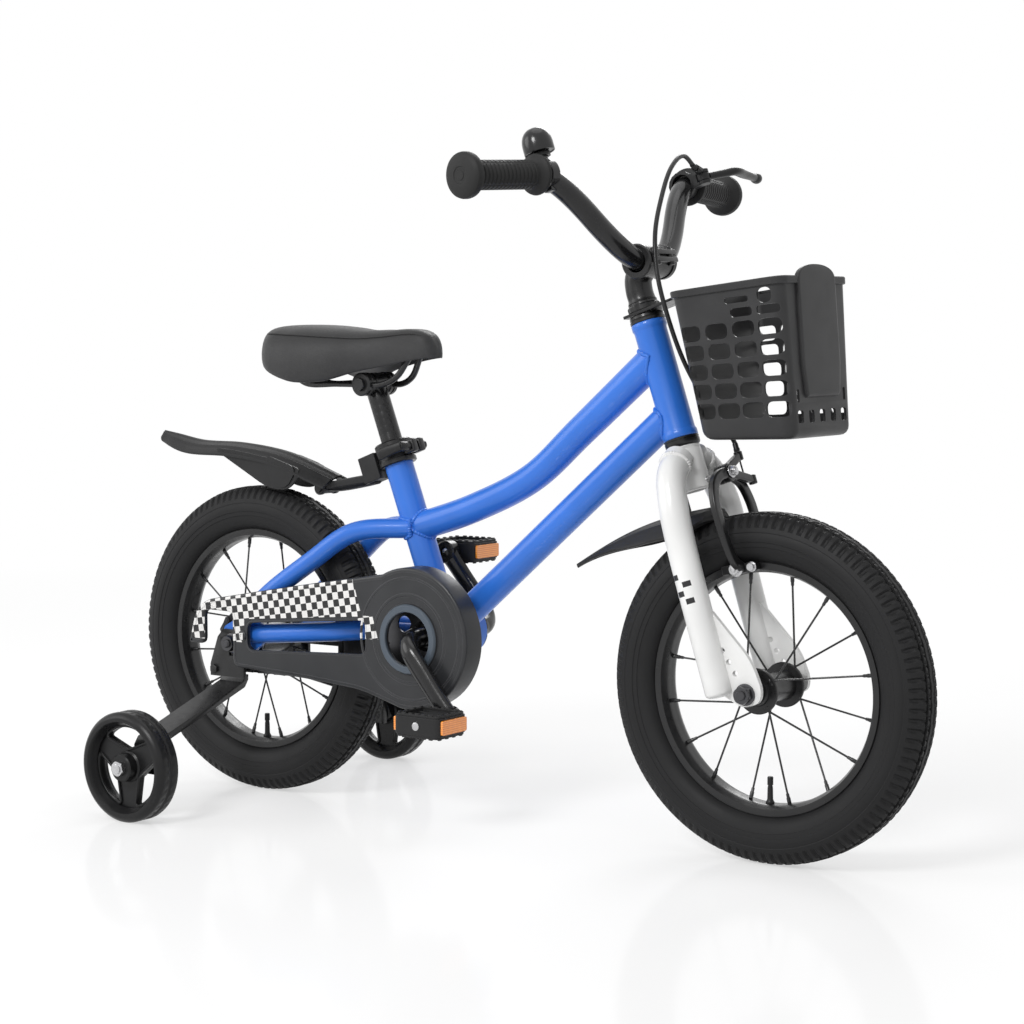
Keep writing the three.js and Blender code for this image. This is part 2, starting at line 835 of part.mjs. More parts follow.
function frameSolid() {
  const seatTop = onSeatTube(0, 0, seatTubeLength);
  const headTop = steered(0, 0, headTubeTop);
  const headBottom = steered(0, 0, headTubeBottom);
  const seatJoint = onSeatTube(0, 0, topTubeSeatHeight);
  const topStart = headJoint(topTubeDrop);
  const middle = topStart.clone().lerp(seatJoint, 0.5);
  const topTubePath = smooth([
    topStart,
    topStart.clone().lerp(seatJoint, 0.3).add(at(0, 0, -topTubeSag * 0.62)),
    middle.clone().add(at(0, 0, -topTubeSag)),
    topStart.clone().lerp(seatJoint, 0.75).add(at(0, 0, -topTubeSag * 0.66)),
    seatJoint,
  ], 7);
  const topTube = taperedTube(topTubePath, [topTubeRadius * 1.08, topTubeRadius, topTubeRadius]);
  const downTube = tube([headJoint(downTubeDrop), bottomBracket], downTubeRadius);
  const seatTube = rod(bottomBracket, seatTop, seatTubeRadius);
  const headTube = rod(headBottom, headTop, headTubeRadius);
  const shell = rod(
    at(bottomBracket.x, -shellHalfWidth, bottomBracket.z),
    at(bottomBracket.x, shellHalfWidth, bottomBracket.z),
    shellRadius,
  );
  const parts = [topTube, downTube, seatTube, headTube, shell];
  [1, -1].forEach((side) => parts.push(...rearTriangle(side)));
  const seatBore = bore(
    onSeatTube(0, 0, seatTubeLength - postInsertion - postTravel),
    seatTop,
    postRadius + seatGap,
  );
  const headBore = bore(headBottom, headTop, headTubeRadius - headTubeWall);
  const shellBore = bore(
    at(bottomBracket.x, -shellHalfWidth, bottomBracket.z),
    at(bottomBracket.x, shellHalfWidth, bottomBracket.z),
    shellRadius - shellWall,
  );
  return cut(joined(...parts), seatBore, headBore, shellBore);
}

function seatStayPath(side) {
  const wheelFront = rearAxle.x + wheelRadius;
  const seatJoint = onSeatTube(0, 0, topTubeSeatHeight);
  const stayTop = seatJoint.clone().add(at(0, side * seatTubeRadius * 0.55, 0));
  return smooth([
    stayTop,
    at(seatJoint.x - stayRadius * 6, side * tyreEdge * 0.72, seatJoint.z - stayRadius * 0.6),
    at(wheelFront * 0.6, side * tyreEdge, rearAxle.z + wheelRadius * 0.56),
    at(wheelFront * 0.26, side * staySpread, rearAxle.z + wheelRadius * 0.31),
    at(wheelFront * 0.06, side * staySpread, rearAxle.z + wheelRadius * 0.11),
  ], 7);
}

function chainStayPath(side) {
  const wheelFront = rearAxle.x + wheelRadius;
  return smooth([
    at(bottomBracket.x, side * shellHalfWidth * 0.5, bottomBracket.z),
    at(wheelFront + stayRadius * 2.6, side * (chainLine - stayRadius - stayTyreGap / 2), bottomBracket.z),
    at(wheelFront - tyreSection * 0.28, side * (tyreEdge - stayTyreGap), bottomBracket.z - stayRadius * 0.2),
    at(wheelFront - tyreSection, side * (tyreEdge + stayTyreGap), bottomBracket.z - stayRadius * 0.5),
    at(stayRadius * 2, side * staySpread, rearAxle.z + stayRadius),
  ], 7);
}


// One side's seat stay, chain stay and dropout
function rearTriangle(side) {
  const seatStay = seatStayPath(side);
  const chainStay = chainStayPath(side);
  const slot = axleRadius + seatGap;
  const back = stayRadius * 1.5;
  const plate = outline([
    [-back, -slot * 2.6],
    [stayRadius * 2.4, -slot * 2],
    [stayRadius * 4, stayRadius * 0.2],
    [stayRadius * 4, stayRadius * 2],
    [stayRadius * 1.6, stayRadius * 3.2],
    [-back, slot * 3.4],
    [-back, slot],
    [slot * 0.4, slot],
    [slot, slot * 0.4],
    [slot, -slot * 0.4],
    [slot * 0.4, -slot],
    [-back, -slot],
  ].map(([x, z]) => [rearAxle.x + x, rearAxle.z + z]));
  const inner = side * dropoutInner;
  const outer = side * (dropoutInner + dropoutThickness);
  return [
    taperedTube(seatStay, [stayRadius, stayRadius, stayRadius * 0.9], smallFacets),
    taperedTube(chainStay, chainStayRadii, smallFacets),
    slab(plate, Math.min(inner, outer), Math.max(inner, outer)),
  ];
}
addPiece(bicycle, 'frame', frameSolid(), blue);

// The same outline drawn in by a distance
function inset(pairs, distance) {
  const count = pairs.length;
  const points = pairs.map(([a, b]) => flat(a, b));
  const sign = THREE.ShapeUtils.isClockWise(points) ? -1 : 1;
  return points.map((point, i) => {
    const before = point.clone().sub(points[(i + count - 1) % count]).normalize();
    const after = points[(i + 1) % count].clone().sub(point).normalize();
    const normal = flat(-before.y - after.y, before.x + after.x).normalize();
    const reach = (sign * distance) / normal.dot(flat(-before.y, before.x));
    return [point.x + normal.x * reach, point.y + normal.y * reach];
  });
}

const sides = [['right', -1], ['left', 1]];

// Bottom bracket cups, one in each end of the shell

function bracketCup(side) {
  const along = (reach) => at(bottomBracket.x, side * reach, bottomBracket.z);
  const skirtRadius = shellRadius - shellWall - seatGap;
  const boreRadius = spindleRadius + runningGap;
  return joined(
    sleeve(along(shellHalfWidth - cupSkirt), along(shellHalfWidth + seatGap), boreRadius, skirtRadius),
    sleeve(
      along(shellHalfWidth + seatGap),
      along(shellHalfWidth + seatGap + cupFlange),
      boreRadius,
      cupFlangeRadius,
    ),
  );
}
sides.forEach(([name, side]) => {
  addPiece(bicycle, `bottom_bracket_cup_${name}`, bracketCup(side), blackPaint);
});

// Crank, pedal spindles, pedals and reflectors

const crankWay = at(Math.cos(crankAngle), 0, Math.sin(crankAngle));
const pedalInside = crankArmOffset + pedalEyeDepth / 2 + pedalGap;
const pedalOutside = pedalInside + pedalLength;

function pedalPoint(side, reach) {
  return bottomBracket.clone().addScaledVector(crankWay, -side * crankLength).add(at(0, side * reach, 0));
}

function crankSolid() {
  const corner = (side) => at(bottomBracket.x, side * crankArmOffset, bottomBracket.z);
  const ends = [pedalPoint(1, crankArmOffset), pedalPoint(-1, crankArmOffset)];
  const path = bend([ends[0], corner(1), corner(-1), ends[1]], crankBend);
  const arm = oval(crankArmThickness, crankArmWidth, tubeFacets);
  const round = oval(spindleRadius, spindleRadius, tubeFacets);
  const between = arm.map(([a, b], i) => [(a + round[i][0]) / 2, (b + round[i][1]) / 2]);
  const sections = [arm, arm, between, round, round, round, round, between, arm, arm];
  const bar = sweep(path, (share) => sections[Math.round(share * (sections.length - 1))]);
  const flangeStart = chainLine + toothThickness / 2 + seatGap;
  const flange = rod(
    at(bottomBracket.x, -flangeStart, bottomBracket.z),
    at(bottomBracket.x, -flangeStart - driveFlange, bottomBracket.z),
    driveFlangeRadius,
  );
  const eyeSpan = (side) => [
    pedalPoint(side, crankArmOffset - pedalEyeDepth / 2),
    pedalPoint(side, crankArmOffset + pedalEyeDepth / 2),
  ];
  const eyes = [1, -1].map((side) => rod(...eyeSpan(side), pedalEyeRadius, tubeFacets));
  const holes = [1, -1].map((side) => bore(...eyeSpan(side), pedalSpindleRadius + seatGap, smallFacets));
  return cut(joined(bar, flange, ...eyes), ...holes);
}
addPiece(bicycle, 'crank', crankSolid(), blackPaint);

function pedalSpindle(side) {
  const collarStart = pedalInside - pedalGap + seatGap;
  return joined(
    rod(
      pedalPoint(side, crankArmOffset - pedalEyeDepth / 2),
      pedalPoint(side, pedalOutside - pedalRail),
      pedalSpindleRadius,
      smallFacets,
    ),
    rod(
      pedalPoint(side, collarStart),
      pedalPoint(side, pedalInside - seatGap),
      pedalSleeveRadius,
      tubeFacets,
    ),
  );
}

function pedalBody(side) {
  const center = pedalPoint(side, (pedalInside + pedalOutside) / 2);
  const long = pedalWidth / 2;
  const high = pedalHeight / 2;
  const profile = outline([
    [long, high - pedalCorner], [long - pedalCorner, high],
    [-long + pedalCorner, high], [-long, high - pedalCorner],
    [-long, -high + pedalCorner], [-long + pedalCorner, -high],
    [long - pedalCorner, -high], [long, -high + pedalCorner],
  ].map(([x, z]) => [center.x + x, center.z + z]));
  const body = slab(profile, center.y - pedalLength / 2, center.y + pedalLength / 2);
  const shaft = bore(
    pedalPoint(side, pedalInside),
    pedalPoint(side, pedalOutside - pedalRail),
    pedalSpindleRadius + runningGap,
    smallFacets,
  );
  const wall = pedalRail + reflectorDepth;
  const windowLength = long - wall - pedalSleeveRadius;
  const tools = [1, -1].flatMap((end) => [
    block(
      center.clone().add(at(end * (pedalSleeveRadius + windowLength / 2), 0, 0)),
      at(windowLength, pedalLength - 2 * pedalRail, pedalHeight + overrun),
    ),
    block(
      center.clone().add(at(end * long, 0, 0)),
      at(2 * reflectorDepth, reflectorLength + 2 * seatGap, reflectorHeight + 2 * seatGap),
    ),
  ]);
  return cut(body, shaft, ...tools);
}

function reflector(side, end) {
  const center = pedalPoint(side, (pedalInside + pedalOutside) / 2);
  const thickness = reflectorDepth;
  const reach = end * (pedalWidth / 2 - reflectorDepth + seatGap + thickness / 2);
  return block(center.add(at(reach, 0, 0)), at(thickness, reflectorLength, reflectorHeight));
}
sides.forEach(([name, side]) => {
  addPiece(bicycle, `pedal_spindle_${name}`, pedalSpindle(side), bareSteel);
  addPiece(bicycle, `pedal_${name}`, pedalBody(side), blackPlastic);
  addPiece(bicycle, `pedal_reflector_${name}_front`, reflector(side, 1), amber);
  addPiece(bicycle, `pedal_reflector_${name}_rear`, reflector(side, -1), amber);
});

// Axles with their locknuts, washers and nuts

function axleSolid(center, end, cones, nutStart) {
  const along = (reach) => at(center.x, reach, center.z);
  const parts = cones.map(([low, high]) => rod(along(low), along(high), coneRadius, smallFacets));
  parts.push(rod(along(-end), along(end), axleRadius, smallFacets));
  [1, -1].forEach((side) => {
    const nut = nutStart + axleWasher;
    parts.push(rod(along(side * nutStart), along(side * nut), axleWasherRadius, smallFacets));
    parts.push(rod(along(side * nut), along(side * (nut + nutThickness)), nutRadius, tinyFacets));
  });
  return joined(...parts);
}

const bracketInside = dropoutInner + dropoutThickness + seatGap;
const bracketOutside = bracketInside + bracketPlate;
const rearCones = [
  [-dropoutInner + seatGap, -chainLine - toothThickness / 2 - runningGap],
  [brakeDrumEnd + runningGap, coasterArmInner - seatGap],
  [coasterArmInner + coasterArmThickness + seatGap, dropoutInner - seatGap],
];
addPiece(
  bicycle,
  'rear_axle',
  axleSolid(rearAxle, axleEnd, rearCones, bracketOutside + seatGap),
  bareSteel,
);

// The reaction arm of the back-pedal brake, clipped to the left chain stay
function coasterArm() {
  const low = coasterArmInner;
  const high = coasterArmInner + coasterArmThickness;
  const stay = chainStayPath(1);
  const width = coasterArmWidth;
  const onStay = (x) => {
    const i = stay.findIndex((point) => point.x < x);
    const share = (stay[i - 1].x - x) / (stay[i - 1].x - stay[i].x);
    return stay[i - 1].clone().lerp(stay[i], share);
  };
  const stayEnd = stay[stay.length - 1].x;
  const start = coasterArmLength - coasterClipWidth;
  const end = coasterArmLength + coasterClipWidth;
  const top = onStay(coasterArmLength).z - stayRadius - runningGap * 1.4 - rearAxle.z;
  const shape = outline([
    [rearAxle.x, width * 0.55],
    [stayEnd * 0.8, 0],
    [start * 0.95, top * 0.85],
    [start, top],
    [end, top],
    [end, top - width * 0.9],
    [rearAxle.x, -width * 0.65],
  ].map(([x, z]) => [x, rearAxle.z + z]));
  const eye = rod(at(rearAxle.x, low, rearAxle.z), at(rearAxle.x, high, rearAxle.z), width * 0.7, tubeFacets);
  const hole = bore(at(rearAxle.x, low, rearAxle.z), at(rearAxle.x, high, rearAxle.z), axleRadius + seatGap);
  const clip = sleeve(
    onStay(coasterArmLength - coasterClipWidth / 2),
    onStay(coasterArmLength + coasterClipWidth / 2),
    stayRadius + runningGap,
    stayRadius + runningGap + coasterClip,
    tubeFacets,
  );
  return joined(eye, slab(shape, low, high), clip).subtract(hole);
}
addPiece(bicycle, 'coaster_arm', coasterArm(), blackPaint);

// Chain guard: a shell with a flat face outside, a ring round the crank and an open rear end

const guardTopShares = [[-0.207, 0.044], [-0.199, 0.145], [-0.169, 0.512], [-0.109, 0.673], [0.429, 0.83]];
const guardBottomShares = [[0.744, -0.705], [0.425, -0.52], [0.045, -0.34]];
const guardMouthShares = [[0.045, 0.47], [-0.113, 0.531], [-0.113, 0.012]];
const guardWindowShares = [[0.13, 0.018], [0.774, -0.066], [0.774, 0.284], [0.13, 0.304]];
const guardDeepShare = 0.26;
const guardScrewShares = [0.104, 0.12];
const guardArc = [THREE.MathUtils.degToRad(119), THREE.MathUtils.degToRad(-100)];
const guardArcSteps = 10;

function guardPoint([along, rise]) {
  const line = bottomBracket.clone().sub(rearAxle);
  return [rearAxle.x + along * line.x, rearAxle.z + along * line.z + rise * guardBulge];
}

function guardOutline() {
  const arc = Array.from({ length: guardArcSteps + 1 }, (_, i) => {
    const angle = THREE.MathUtils.lerp(...guardArc, i / guardArcSteps);
    return [bottomBracket.x + guardBulge * Math.cos(angle), bottomBracket.z + guardBulge * Math.sin(angle)];
  });
  return [
    ...guardTopShares.map(guardPoint),
    ...arc,
    ...guardBottomShares.map(guardPoint),
    ...guardMouthShares.map(guardPoint),
  ];
}

function grownStays(side, growth) {
  return [
    taperedTube(chainStayPath(side), chainStayRadii.map((radius) => radius + growth), smallFacets),
    tube(seatStayPath(side), stayRadius + growth, smallFacets),
  ];
}

function guardSolid() {
  const pairs = guardOutline();
  const inside = guardFace - guardWall;
  const back = guardFace - guardDepth;
  const shell = slab(outline(pairs), -guardFace, -back);
  const hollow = slab(outline(inset(pairs, guardWall)), -inside, -back + overrun);
  const window = slab(outline(guardWindowShares.map(guardPoint)), -guardFace - overrun, -inside + overrun);
  const crankPoint = (reach) => at(bottomBracket.x, -reach, bottomBracket.z);
  const crankHole = bore(crankPoint(guardFace), crankPoint(inside), guardBoreRadius);
  const ring = sleeve(
    crankPoint(guardFace + guardRingHeight),
    crankPoint(inside),
    guardBoreRadius,
    guardRingRadius,
  );
  const [deepStart] = guardPoint([guardDeepShare, 0]);
  const room = block(
    at(deepStart - guardFace * 2, -back, rearAxle.z),
    at(guardFace * 4, (guardDepth - guardWall * 2) * 2, guardBulge * 4),
  );
  const [screwX, screwZ] = guardPoint(guardScrewShares);
  const screw = rod(
    at(screwX, -guardFace - guardWall, screwZ),
    at(screwX, -bracketInside, screwZ),
    guardScrewRadius,
    tubeFacets,
  );
  const shellCut = cut(shell, hollow, window, crankHole, room);
  return cut(joined(shellCut, ring, screw), ...grownStays(-1, runningGap));
}
addPiece(bicycle, 'chain_guard', guardSolid(), blackPlastic);

// Training wheels, their brackets and bolts

const trainingCenter = (side) => at(rearAxle.x, side * trainingTrack, trainingRadius);
const footInner = trainingTrack - trainingHalfWidth - runningGap * 2 - trainingNut - bracketPlate;

function trainingBracket(side) {
  const middle = bracketInside + bracketPlate / 2;
  const half = bracketWidth / 2;
  const thin = bracketPlate / 2;
  const section = [
    [-half, -thin], [half, -thin], [half, thin + bracketRib], [half - bracketPlate, thin + bracketRib],
    [half - bracketPlate, thin], [bracketPlate - half, thin], [bracketPlate - half, thin + bracketRib],
    [-half, thin + bracketRib],
  ];
  const knee = rearAxle.z - bracketKnee;
  const foot = footInner + bracketPlate / 2;
  const footTop = trainingRadius + bracketFoot;
  const x = rearAxle.x;
  const arm = sweep(
    bend([
      at(x, side * middle, knee + bracketRib * 2),
      at(x, side * middle, knee),
      at(x, side * foot, footTop),
      at(x, side * foot, trainingRadius - bracketFoot / 2),
    ], bracketRib * 2, 1),
    () => (side > 0 ? section : section.map(([a, b]) => [-a, -b]).map(([a, b]) => [a, -b])),
    side > 0 ? alongX : at(-1, 0, 0),
  );
  const top = rearAxle.z + bracketTop;
  const plate = slab(
    outline([
      [x - half * 0.8, top], [x + half * 0.6, top], [x + half, top - bracketTop * 0.5],
      [x + half, knee + bracketRib], [x - half * 2, knee + bracketRib], [x - half * 2, knee + bracketKnee * 0.4],
      [x - half * 1.3, top - bracketTop * 0.6],
    ]),
    Math.min(side * bracketInside, side * bracketOutside),
    Math.max(side * bracketInside, side * bracketOutside),
  );
  const slot = axleRadius + seatGap;
  const slotBlock = block(
    at(x, side * middle, rearAxle.z - slot),
    at(slot * 2, bracketPlate + overrun, slot * 4),
  );
  const stud = rod(
    at(x - half * 1.6, side * bracketInside, knee + bracketRib * 3),
    at(x - half * 1.6, side * (bracketOutside + trainingNut / 2), knee + bracketRib * 3),
    trainingBoltRadius,
    tinyFacets,
  );
  const hole = bore(
    at(x, side * footInner, trainingRadius),
    at(x, side * (footInner + bracketPlate + bracketRib), trainingRadius),
    trainingBoltRadius + seatGap,
    smallFacets,
  );
  return cut(joined(arm, plate, stud), slotBlock, hole);
}

function trainingBolt(side) {
  const along = (reach) => at(rearAxle.x, side * reach, trainingRadius);
  const inner = footInner - seatGap;
  const outer = footInner + bracketPlate + seatGap;
  const wheelInner = trainingTrack - trainingHalfWidth - runningGap;
  const wheelOuter = trainingTrack + trainingHalfWidth + runningGap;
  return joined(
    rod(along(inner - trainingNut), along(wheelOuter + trainingNut), trainingBoltRadius, smallFacets),
    rod(along(inner - trainingNut), along(inner), trainingNutRadius, tinyFacets),
    rod(along(outer), along(wheelInner), trainingNutRadius * 0.75, smallFacets),
    rod(along(wheelOuter), along(wheelOuter + trainingNut * 0.8), trainingNutRadius, tinyFacets),
  );
}

function trainingWheel(side) {
  const center = trainingCenter(side);
  const inside = trainingRadius - trainingRimWall;
  const half = trainingHalfWidth;
  const web = trainingWeb / 2;
  const axleHole = trainingBoltRadius + runningGap;
  const body = turned([
    [axleHole, -half],
    [trainingHubRadius, -half],
    [trainingHubRadius, -web],
    [inside - trainingShoulder, -web],
    [inside, -half + trainingShoulder],
    [trainingRadius - trainingShoulder * 1.2, -half],
    [trainingRadius, -half + trainingShoulder],
    [trainingRadius, half - trainingShoulder],
    [trainingRadius - trainingShoulder * 1.2, half],
    [inside, half - trainingShoulder],
    [inside - trainingShoulder, web],
    [trainingHubRadius, web],
    [trainingHubRadius, half],
    [axleHole, half],
    [axleHole, -half],
  ], center, acrossY, roundFacets);
  const rimEdge = inside - trainingShoulder * 1.6;
  const hubEdge = trainingHubRadius * 1.25;
  const windowCorners = [[hubEdge, 0.5], [rimEdge, 0.13], [rimEdge, 0.5], [rimEdge, 0.87]];
  const windows = Array.from({ length: trainingWindows }, (_, i) => outline(
    windowCorners.map(([radius, share]) => {
      const angle = Math.PI / 6 + ((i + share) / trainingWindows) * 2 * Math.PI;
      return [center.x + radius * Math.cos(angle), center.z + radius * Math.sin(angle)];
    }),
  ));
  return cut(body, ...windows.map((window) => slab(window, center.y - half, center.y + half)));
}
sides.forEach(([name, side]) => {
  addPiece(bicycle, `training_bracket_${name}`, trainingBracket(side), blackPaint);
  addPiece(bicycle, `training_axle_${name}`, trainingBolt(side), bareSteel);
  addPiece(bicycle, `training_wheel_${name}`, trainingWheel(side), blackPlastic);
});

// Seat clamp, post, saddle clamp, rails and saddle

const collarBottom = seatTubeLength - collarOverlap;
const collarTop = collarBottom + collarHeight;
const lugRise = (collarBottom + collarTop) / 2;
const lugReach = collarRadius + lugLength / 2;

function seatClamp() {
  const shell = sleeve(at(0, 0, collarBottom), at(0, 0, collarTop), postRadius + runningGap, collarRadius);
  const seat = bore(
    at(0, 0, collarBottom),
    at(0, 0, seatTubeLength + seatGap - overrun),
    seatTubeRadius + seatGap,
  );
  const lug = block(
    at(collarRadius + lugLength / 2 - seatGap * 4, 0, lugRise),
    at(lugLength, lugWidth, lugHeight),
  );
  const slit = block(
    at(collarRadius + lugLength / 2, 0, lugRise),
    at(lugLength * 2, lugSlit, collarHeight * 2),
  );
  const pinHole = bore(
    at(lugReach, -lugWidth / 2, lugRise),
    at(lugReach, lugWidth / 2, lugRise),
    leverPinRadius + seatGap,
    smallFacets,
  );
  const roomForTube = seatTubeRadius + seatGap;
  const lugCut = lug.subtract(rod(at(0, 0, collarBottom), at(0, 0, collarTop), roomForTube));
  return cut(joined(shell, lugCut), seat, slit, pinHole);
}
addPiece(seatGroup, 'seat_clamp', seatClamp(), blackPaint);

function clampLever() {
  const side = lugWidth / 2 + seatGap;
  const blade = -(collarRadius + seatGap * 3 + leverRadius);
  return joined(
    rod(
      at(lugReach, side + leverRadius, lugRise),
      at(lugReach, -side, lugRise),
      leverPinRadius,
      smallFacets,
    ),
    rod(at(lugReach, side, lugRise), at(lugReach, side + leverRadius, lugRise), leverRadius, tinyFacets),
    rod(at(lugReach, -side, lugRise), at(lugReach, blade - leverRadius * 0.4, lugRise), leverRadius, smallFacets),
    sweep(
      [
        at(lugReach, blade, lugRise),
        at(lugReach - leverLength * 0.5, blade - leverRadius * 0.3, lugRise),
        at(lugReach - leverLength, blade - leverRadius * 0.6, lugRise),
      ],
      (share) => oval(leverRadius * 0.5, leverRadius * (1 + share * 0.2), tinyFacets + 2),
    ),
  );
}
addPiece(seatGroup, 'seat_clamp_lever', clampLever(), blackPlastic);

const postTop = saddleClampRise + postRadius * 0.5;
addPiece(
  seatGroup,
  'seat_post',
  rod(at(0, 0, seatTubeLength - postInsertion), at(0, 0, postTop), postRadius),
  blackPaint,
);

const saddleClampCenter = onSeatTube(0, 0, saddleClampRise);
const saddleTop = saddleClampCenter.z + saddleStack;
const saddleTail = saddleClampCenter.x - saddleSetback;

function saddleClamp() {
  const center = saddleClampCenter;
  const along = (reach) => center.clone().add(at(0, reach, 0));
  const body = joined(
    rod(along(-clampHalfWidth), along(clampHalfWidth), clampRadius, roundFacets),
    rod(along(-clampHalfWidth - clampBolt), along(clampHalfWidth + clampBolt), clampRadius * 0.6, tinyFacets),
  );
  const socket = rod(
    onSeatTube(0, 0, saddleClampRise - clampRadius * 2),
    onSeatTube(0, 0, postTop + seatGap),
    (postRadius + seatGap) / Math.cos(Math.PI / roundFacets),
  );
  const railHoles = [1, -1].map((side) => bore(
    center.clone().add(at(-clampRadius, side * railSpread, 0)),
    center.clone().add(at(clampRadius, side * railSpread, 0)),
    railRadius + seatGap,
    tinyFacets,
  ));
  return cut(body, socket, ...railHoles);
}
addPiece(bicycle, 'saddle_clamp', saddleClamp(), blackPaint);

// Saddle stations from tail to nose: place, half-width, top and lower edge
const saddleStationShares = [
  [0, 0.32, -0.3, 0.72],
  [0.03, 0.62, -0.08, 0.86],
  [0.13, 0.96, 0, 0.96],
  [0.21, 1, 0, 1],
  [0.3, 0.985, 0, 0.99],
  [0.46, 0.82, -0.09, 0.97],
  [0.59, 0.575, -0.15, 0.84],
  [0.72, 0.4, -0.13, 0.74],
  [0.84, 0.315, -0.09, 0.63],
  [0.95, 0.25, -0.16, 0.59],
  [1, 0.11, -0.4, 0.6],
];
const saddleCrownShares = [
  [-0.94, 0], [-1, 0.35], [-0.94, 0.68], [-0.74, 0.9], [-0.4, 1], [0, 0.97],
  [0.4, 1], [0.74, 0.9], [0.94, 0.68], [1, 0.35], [0.94, 0],
];
const saddleHollowShares = [[-1, 0], [-1, 0.7], [-0.6, 1], [0.6, 1], [1, 0.7], [1, 0]];

const saddlePlace = (share) => saddleTail + share * saddleLength;

function saddleRing([place, half, top, edge], grow) {
  const x = saddlePlace(place);
  const high = saddleTop + top * saddlePad;
  const low = saddleTop - edge * saddleSkirt;
  return grow(x, half * saddleHalfWidth, low, high);
}

function saddleSolid() {
  const outer = saddleStationShares.map((station) => saddleRing(station, (x, half, low, high) => (
    saddleCrownShares.map(([across, rise]) => at(x, across * half, THREE.MathUtils.lerp(low, high, rise)))
  )));
  const inner = saddleStationShares.slice(1, -1).map((station) => saddleRing(station, (x, half, low, high) => (
    saddleHollowShares.map(([across, rise]) => at(
      x,
      across * (half - saddleLip),
      THREE.MathUtils.lerp(low - overrun, high - saddlePad, rise),
    ))
  )));
  return loft(outer).subtract(loft(inner));
}
addPiece(bicycle, 'saddle', saddleSolid(), saddleCover);

// The height of the hollow's roof at a place along the saddle
function saddleCeiling(place) {
  const i = saddleStationShares.findIndex(([start]) => start > place);
  const [before, , low] = saddleStationShares[i - 1];
  const [after, , high] = saddleStationShares[i];
  const top = THREE.MathUtils.lerp(low, high, (place - before) / (after - before));
  return saddleTop + (top - 1) * saddlePad;
}

// One wire, bent up to the saddle at both ends
function saddleRails() {
  const low = saddleClampCenter.z;
  const under = saddleCeiling(0.07) - seatGap - railRadius;
  const noseUnder = saddleCeiling(0.885) - seatGap - railRadius;
  const stations = [
    [saddlePlace(0.1), railSpread, under],
    [saddlePlace(0.13), railSpread, under - railRadius * 3],
    [saddlePlace(0.23), railSpread, low],
    [saddlePlace(0.72), railSpread, low],
    [saddlePlace(0.84), railSpread * 0.5, noseUnder - railRadius * 1.5],
    [saddlePlace(0.87), railSpread * 0.35, noseUnder],
  ];
  const right = stations.map(([x, y, z]) => at(x, -y, z));
  const left = stations.map(([x, y, z]) => at(x, y, z)).reverse();
  const bridge = block(
    at(saddlePlace(0.11), 0, under + railRadius / 2),
    at(railRadius * 5, railSpread * 2.4, railRadius),
  );
  return joined(tube(bend([...right, ...left], railRadius * 2, 1), railRadius, tinyFacets), bridge);
}
addPiece(bicycle, 'saddle_rails', saddleRails(), bareSteel);

// Mudguards

function archSection(half, depth) {
  const shareList = [-1, -0.6, 0, 0.6, 1];
  const outer = shareList.map((share) => [share * half, -depth * share ** 2]);
  const inner = shareList.map((share) => [share * (half - mudguardWall / 2), -depth * share ** 2 - mudguardWall]);
  return [...outer, ...inner.reverse()];
}

const rearBladeShares = [
  [-0.75, 1.33], [-0.537, 1.286], [-0.164, 1.277], [0.22, 1.226], [0.548, 1.122], [0.638, 1.09],
];
const rearSkirtShares = [
  [-0.339, 1.246], [-0.124, 1.232], [0.22, 1.182], [0.427, 1.128], [0.339, 0.989], [0.153, 0.994],
];
const wheelPlace = ([along, rise]) => [rearAxle.x + along * wheelRadius, rearAxle.z + rise * wheelRadius];

function rearMudguard() {
  const path = smooth(rearBladeShares.map(wheelPlace).map(([x, z]) => at(x, 0, z)), 7);
  const blade = sweep(path, (share) => archSection(rearMudguardHalfWidth * (1 - share / 6), mudguardArch));
  const skirt = outline(rearSkirtShares.map(wheelPlace));
  const skirts = [1, -1].map((side) => {
    const near = side * mudguardSkirt;
    const far = side * (mudguardSkirt + mudguardWall);
    return slab(skirt, Math.min(near, far), Math.max(near, far));
  });
  return joined(blade, ...skirts);
}
addPiece(bicycle, 'rear_mudguard', rearMudguard(), blackPlastic);

function rearMudguardArm() {
  const half = mudguardArmWidth / 2;
  const thin = mudguardArmThickness / 2;
  const section = [[-half, -thin], [half, -thin], [half, thin], [-half, thin]];
  const back = collarRadius + half;
  const bladeX = wheelPlace([0.33, 0])[0];
  const path = smooth(rearBladeShares.map(wheelPlace).map(([x, z]) => at(x, 0, z)), 7);
  const i = path.findIndex((point) => point.x > bladeX);
  const crest = path[i - 1].clone().lerp(path[i], (bladeX - path[i - 1].x) / (path[i].x - path[i - 1].x));
  const drop = mudguardWall + mudguardArch * 0.28 + seatGap + thin;
  const bar = sweep([
    crest.clone().add(at(0, 0, -drop)),
    crest.clone().add(at(mudguardArmWidth * 1.5, 0, -drop - mudguardArmThickness * 2.6)),
    onSeatTube(-back, 0, collarBottom - thin),
  ], () => section);
  const blockSection = [[-half, -half], [half, -half], [half, half], [-half, half]];
  const holder = sweep([
    onSeatTube(-back, 0, collarBottom - mudguardArmThickness),
    onSeatTube(-back, 0, collarBottom - mudguardArmThickness + mudguardBlockHeight),
  ], () => blockSection);
  const room = bore(onSeatTube(0, 0, collarBottom), onSeatTube(0, 0, collarTop), collarRadius + seatGap);
  const lowerRoom = bore(
    onSeatTube(0, 0, collarBottom - mudguardBlockHeight),
    onSeatTube(0, 0, collarBottom),
    collarRadius + seatGap,
  );
  return cut(joined(bar, holder), room, lowerRoom);
}
addPiece(bicycle, 'rear_mudguard_arm', rearMudguardArm(), blackPlastic);

// Headset cups, fork, front axle and locknut, in the steering group

const along = (rise, forward = 0, side = 0) => at(forward, side, rise);
const steererBore = steererRadius + runningGap;
const cupSkirtRadius = headTubeRadius - headTubeWall - seatGap;

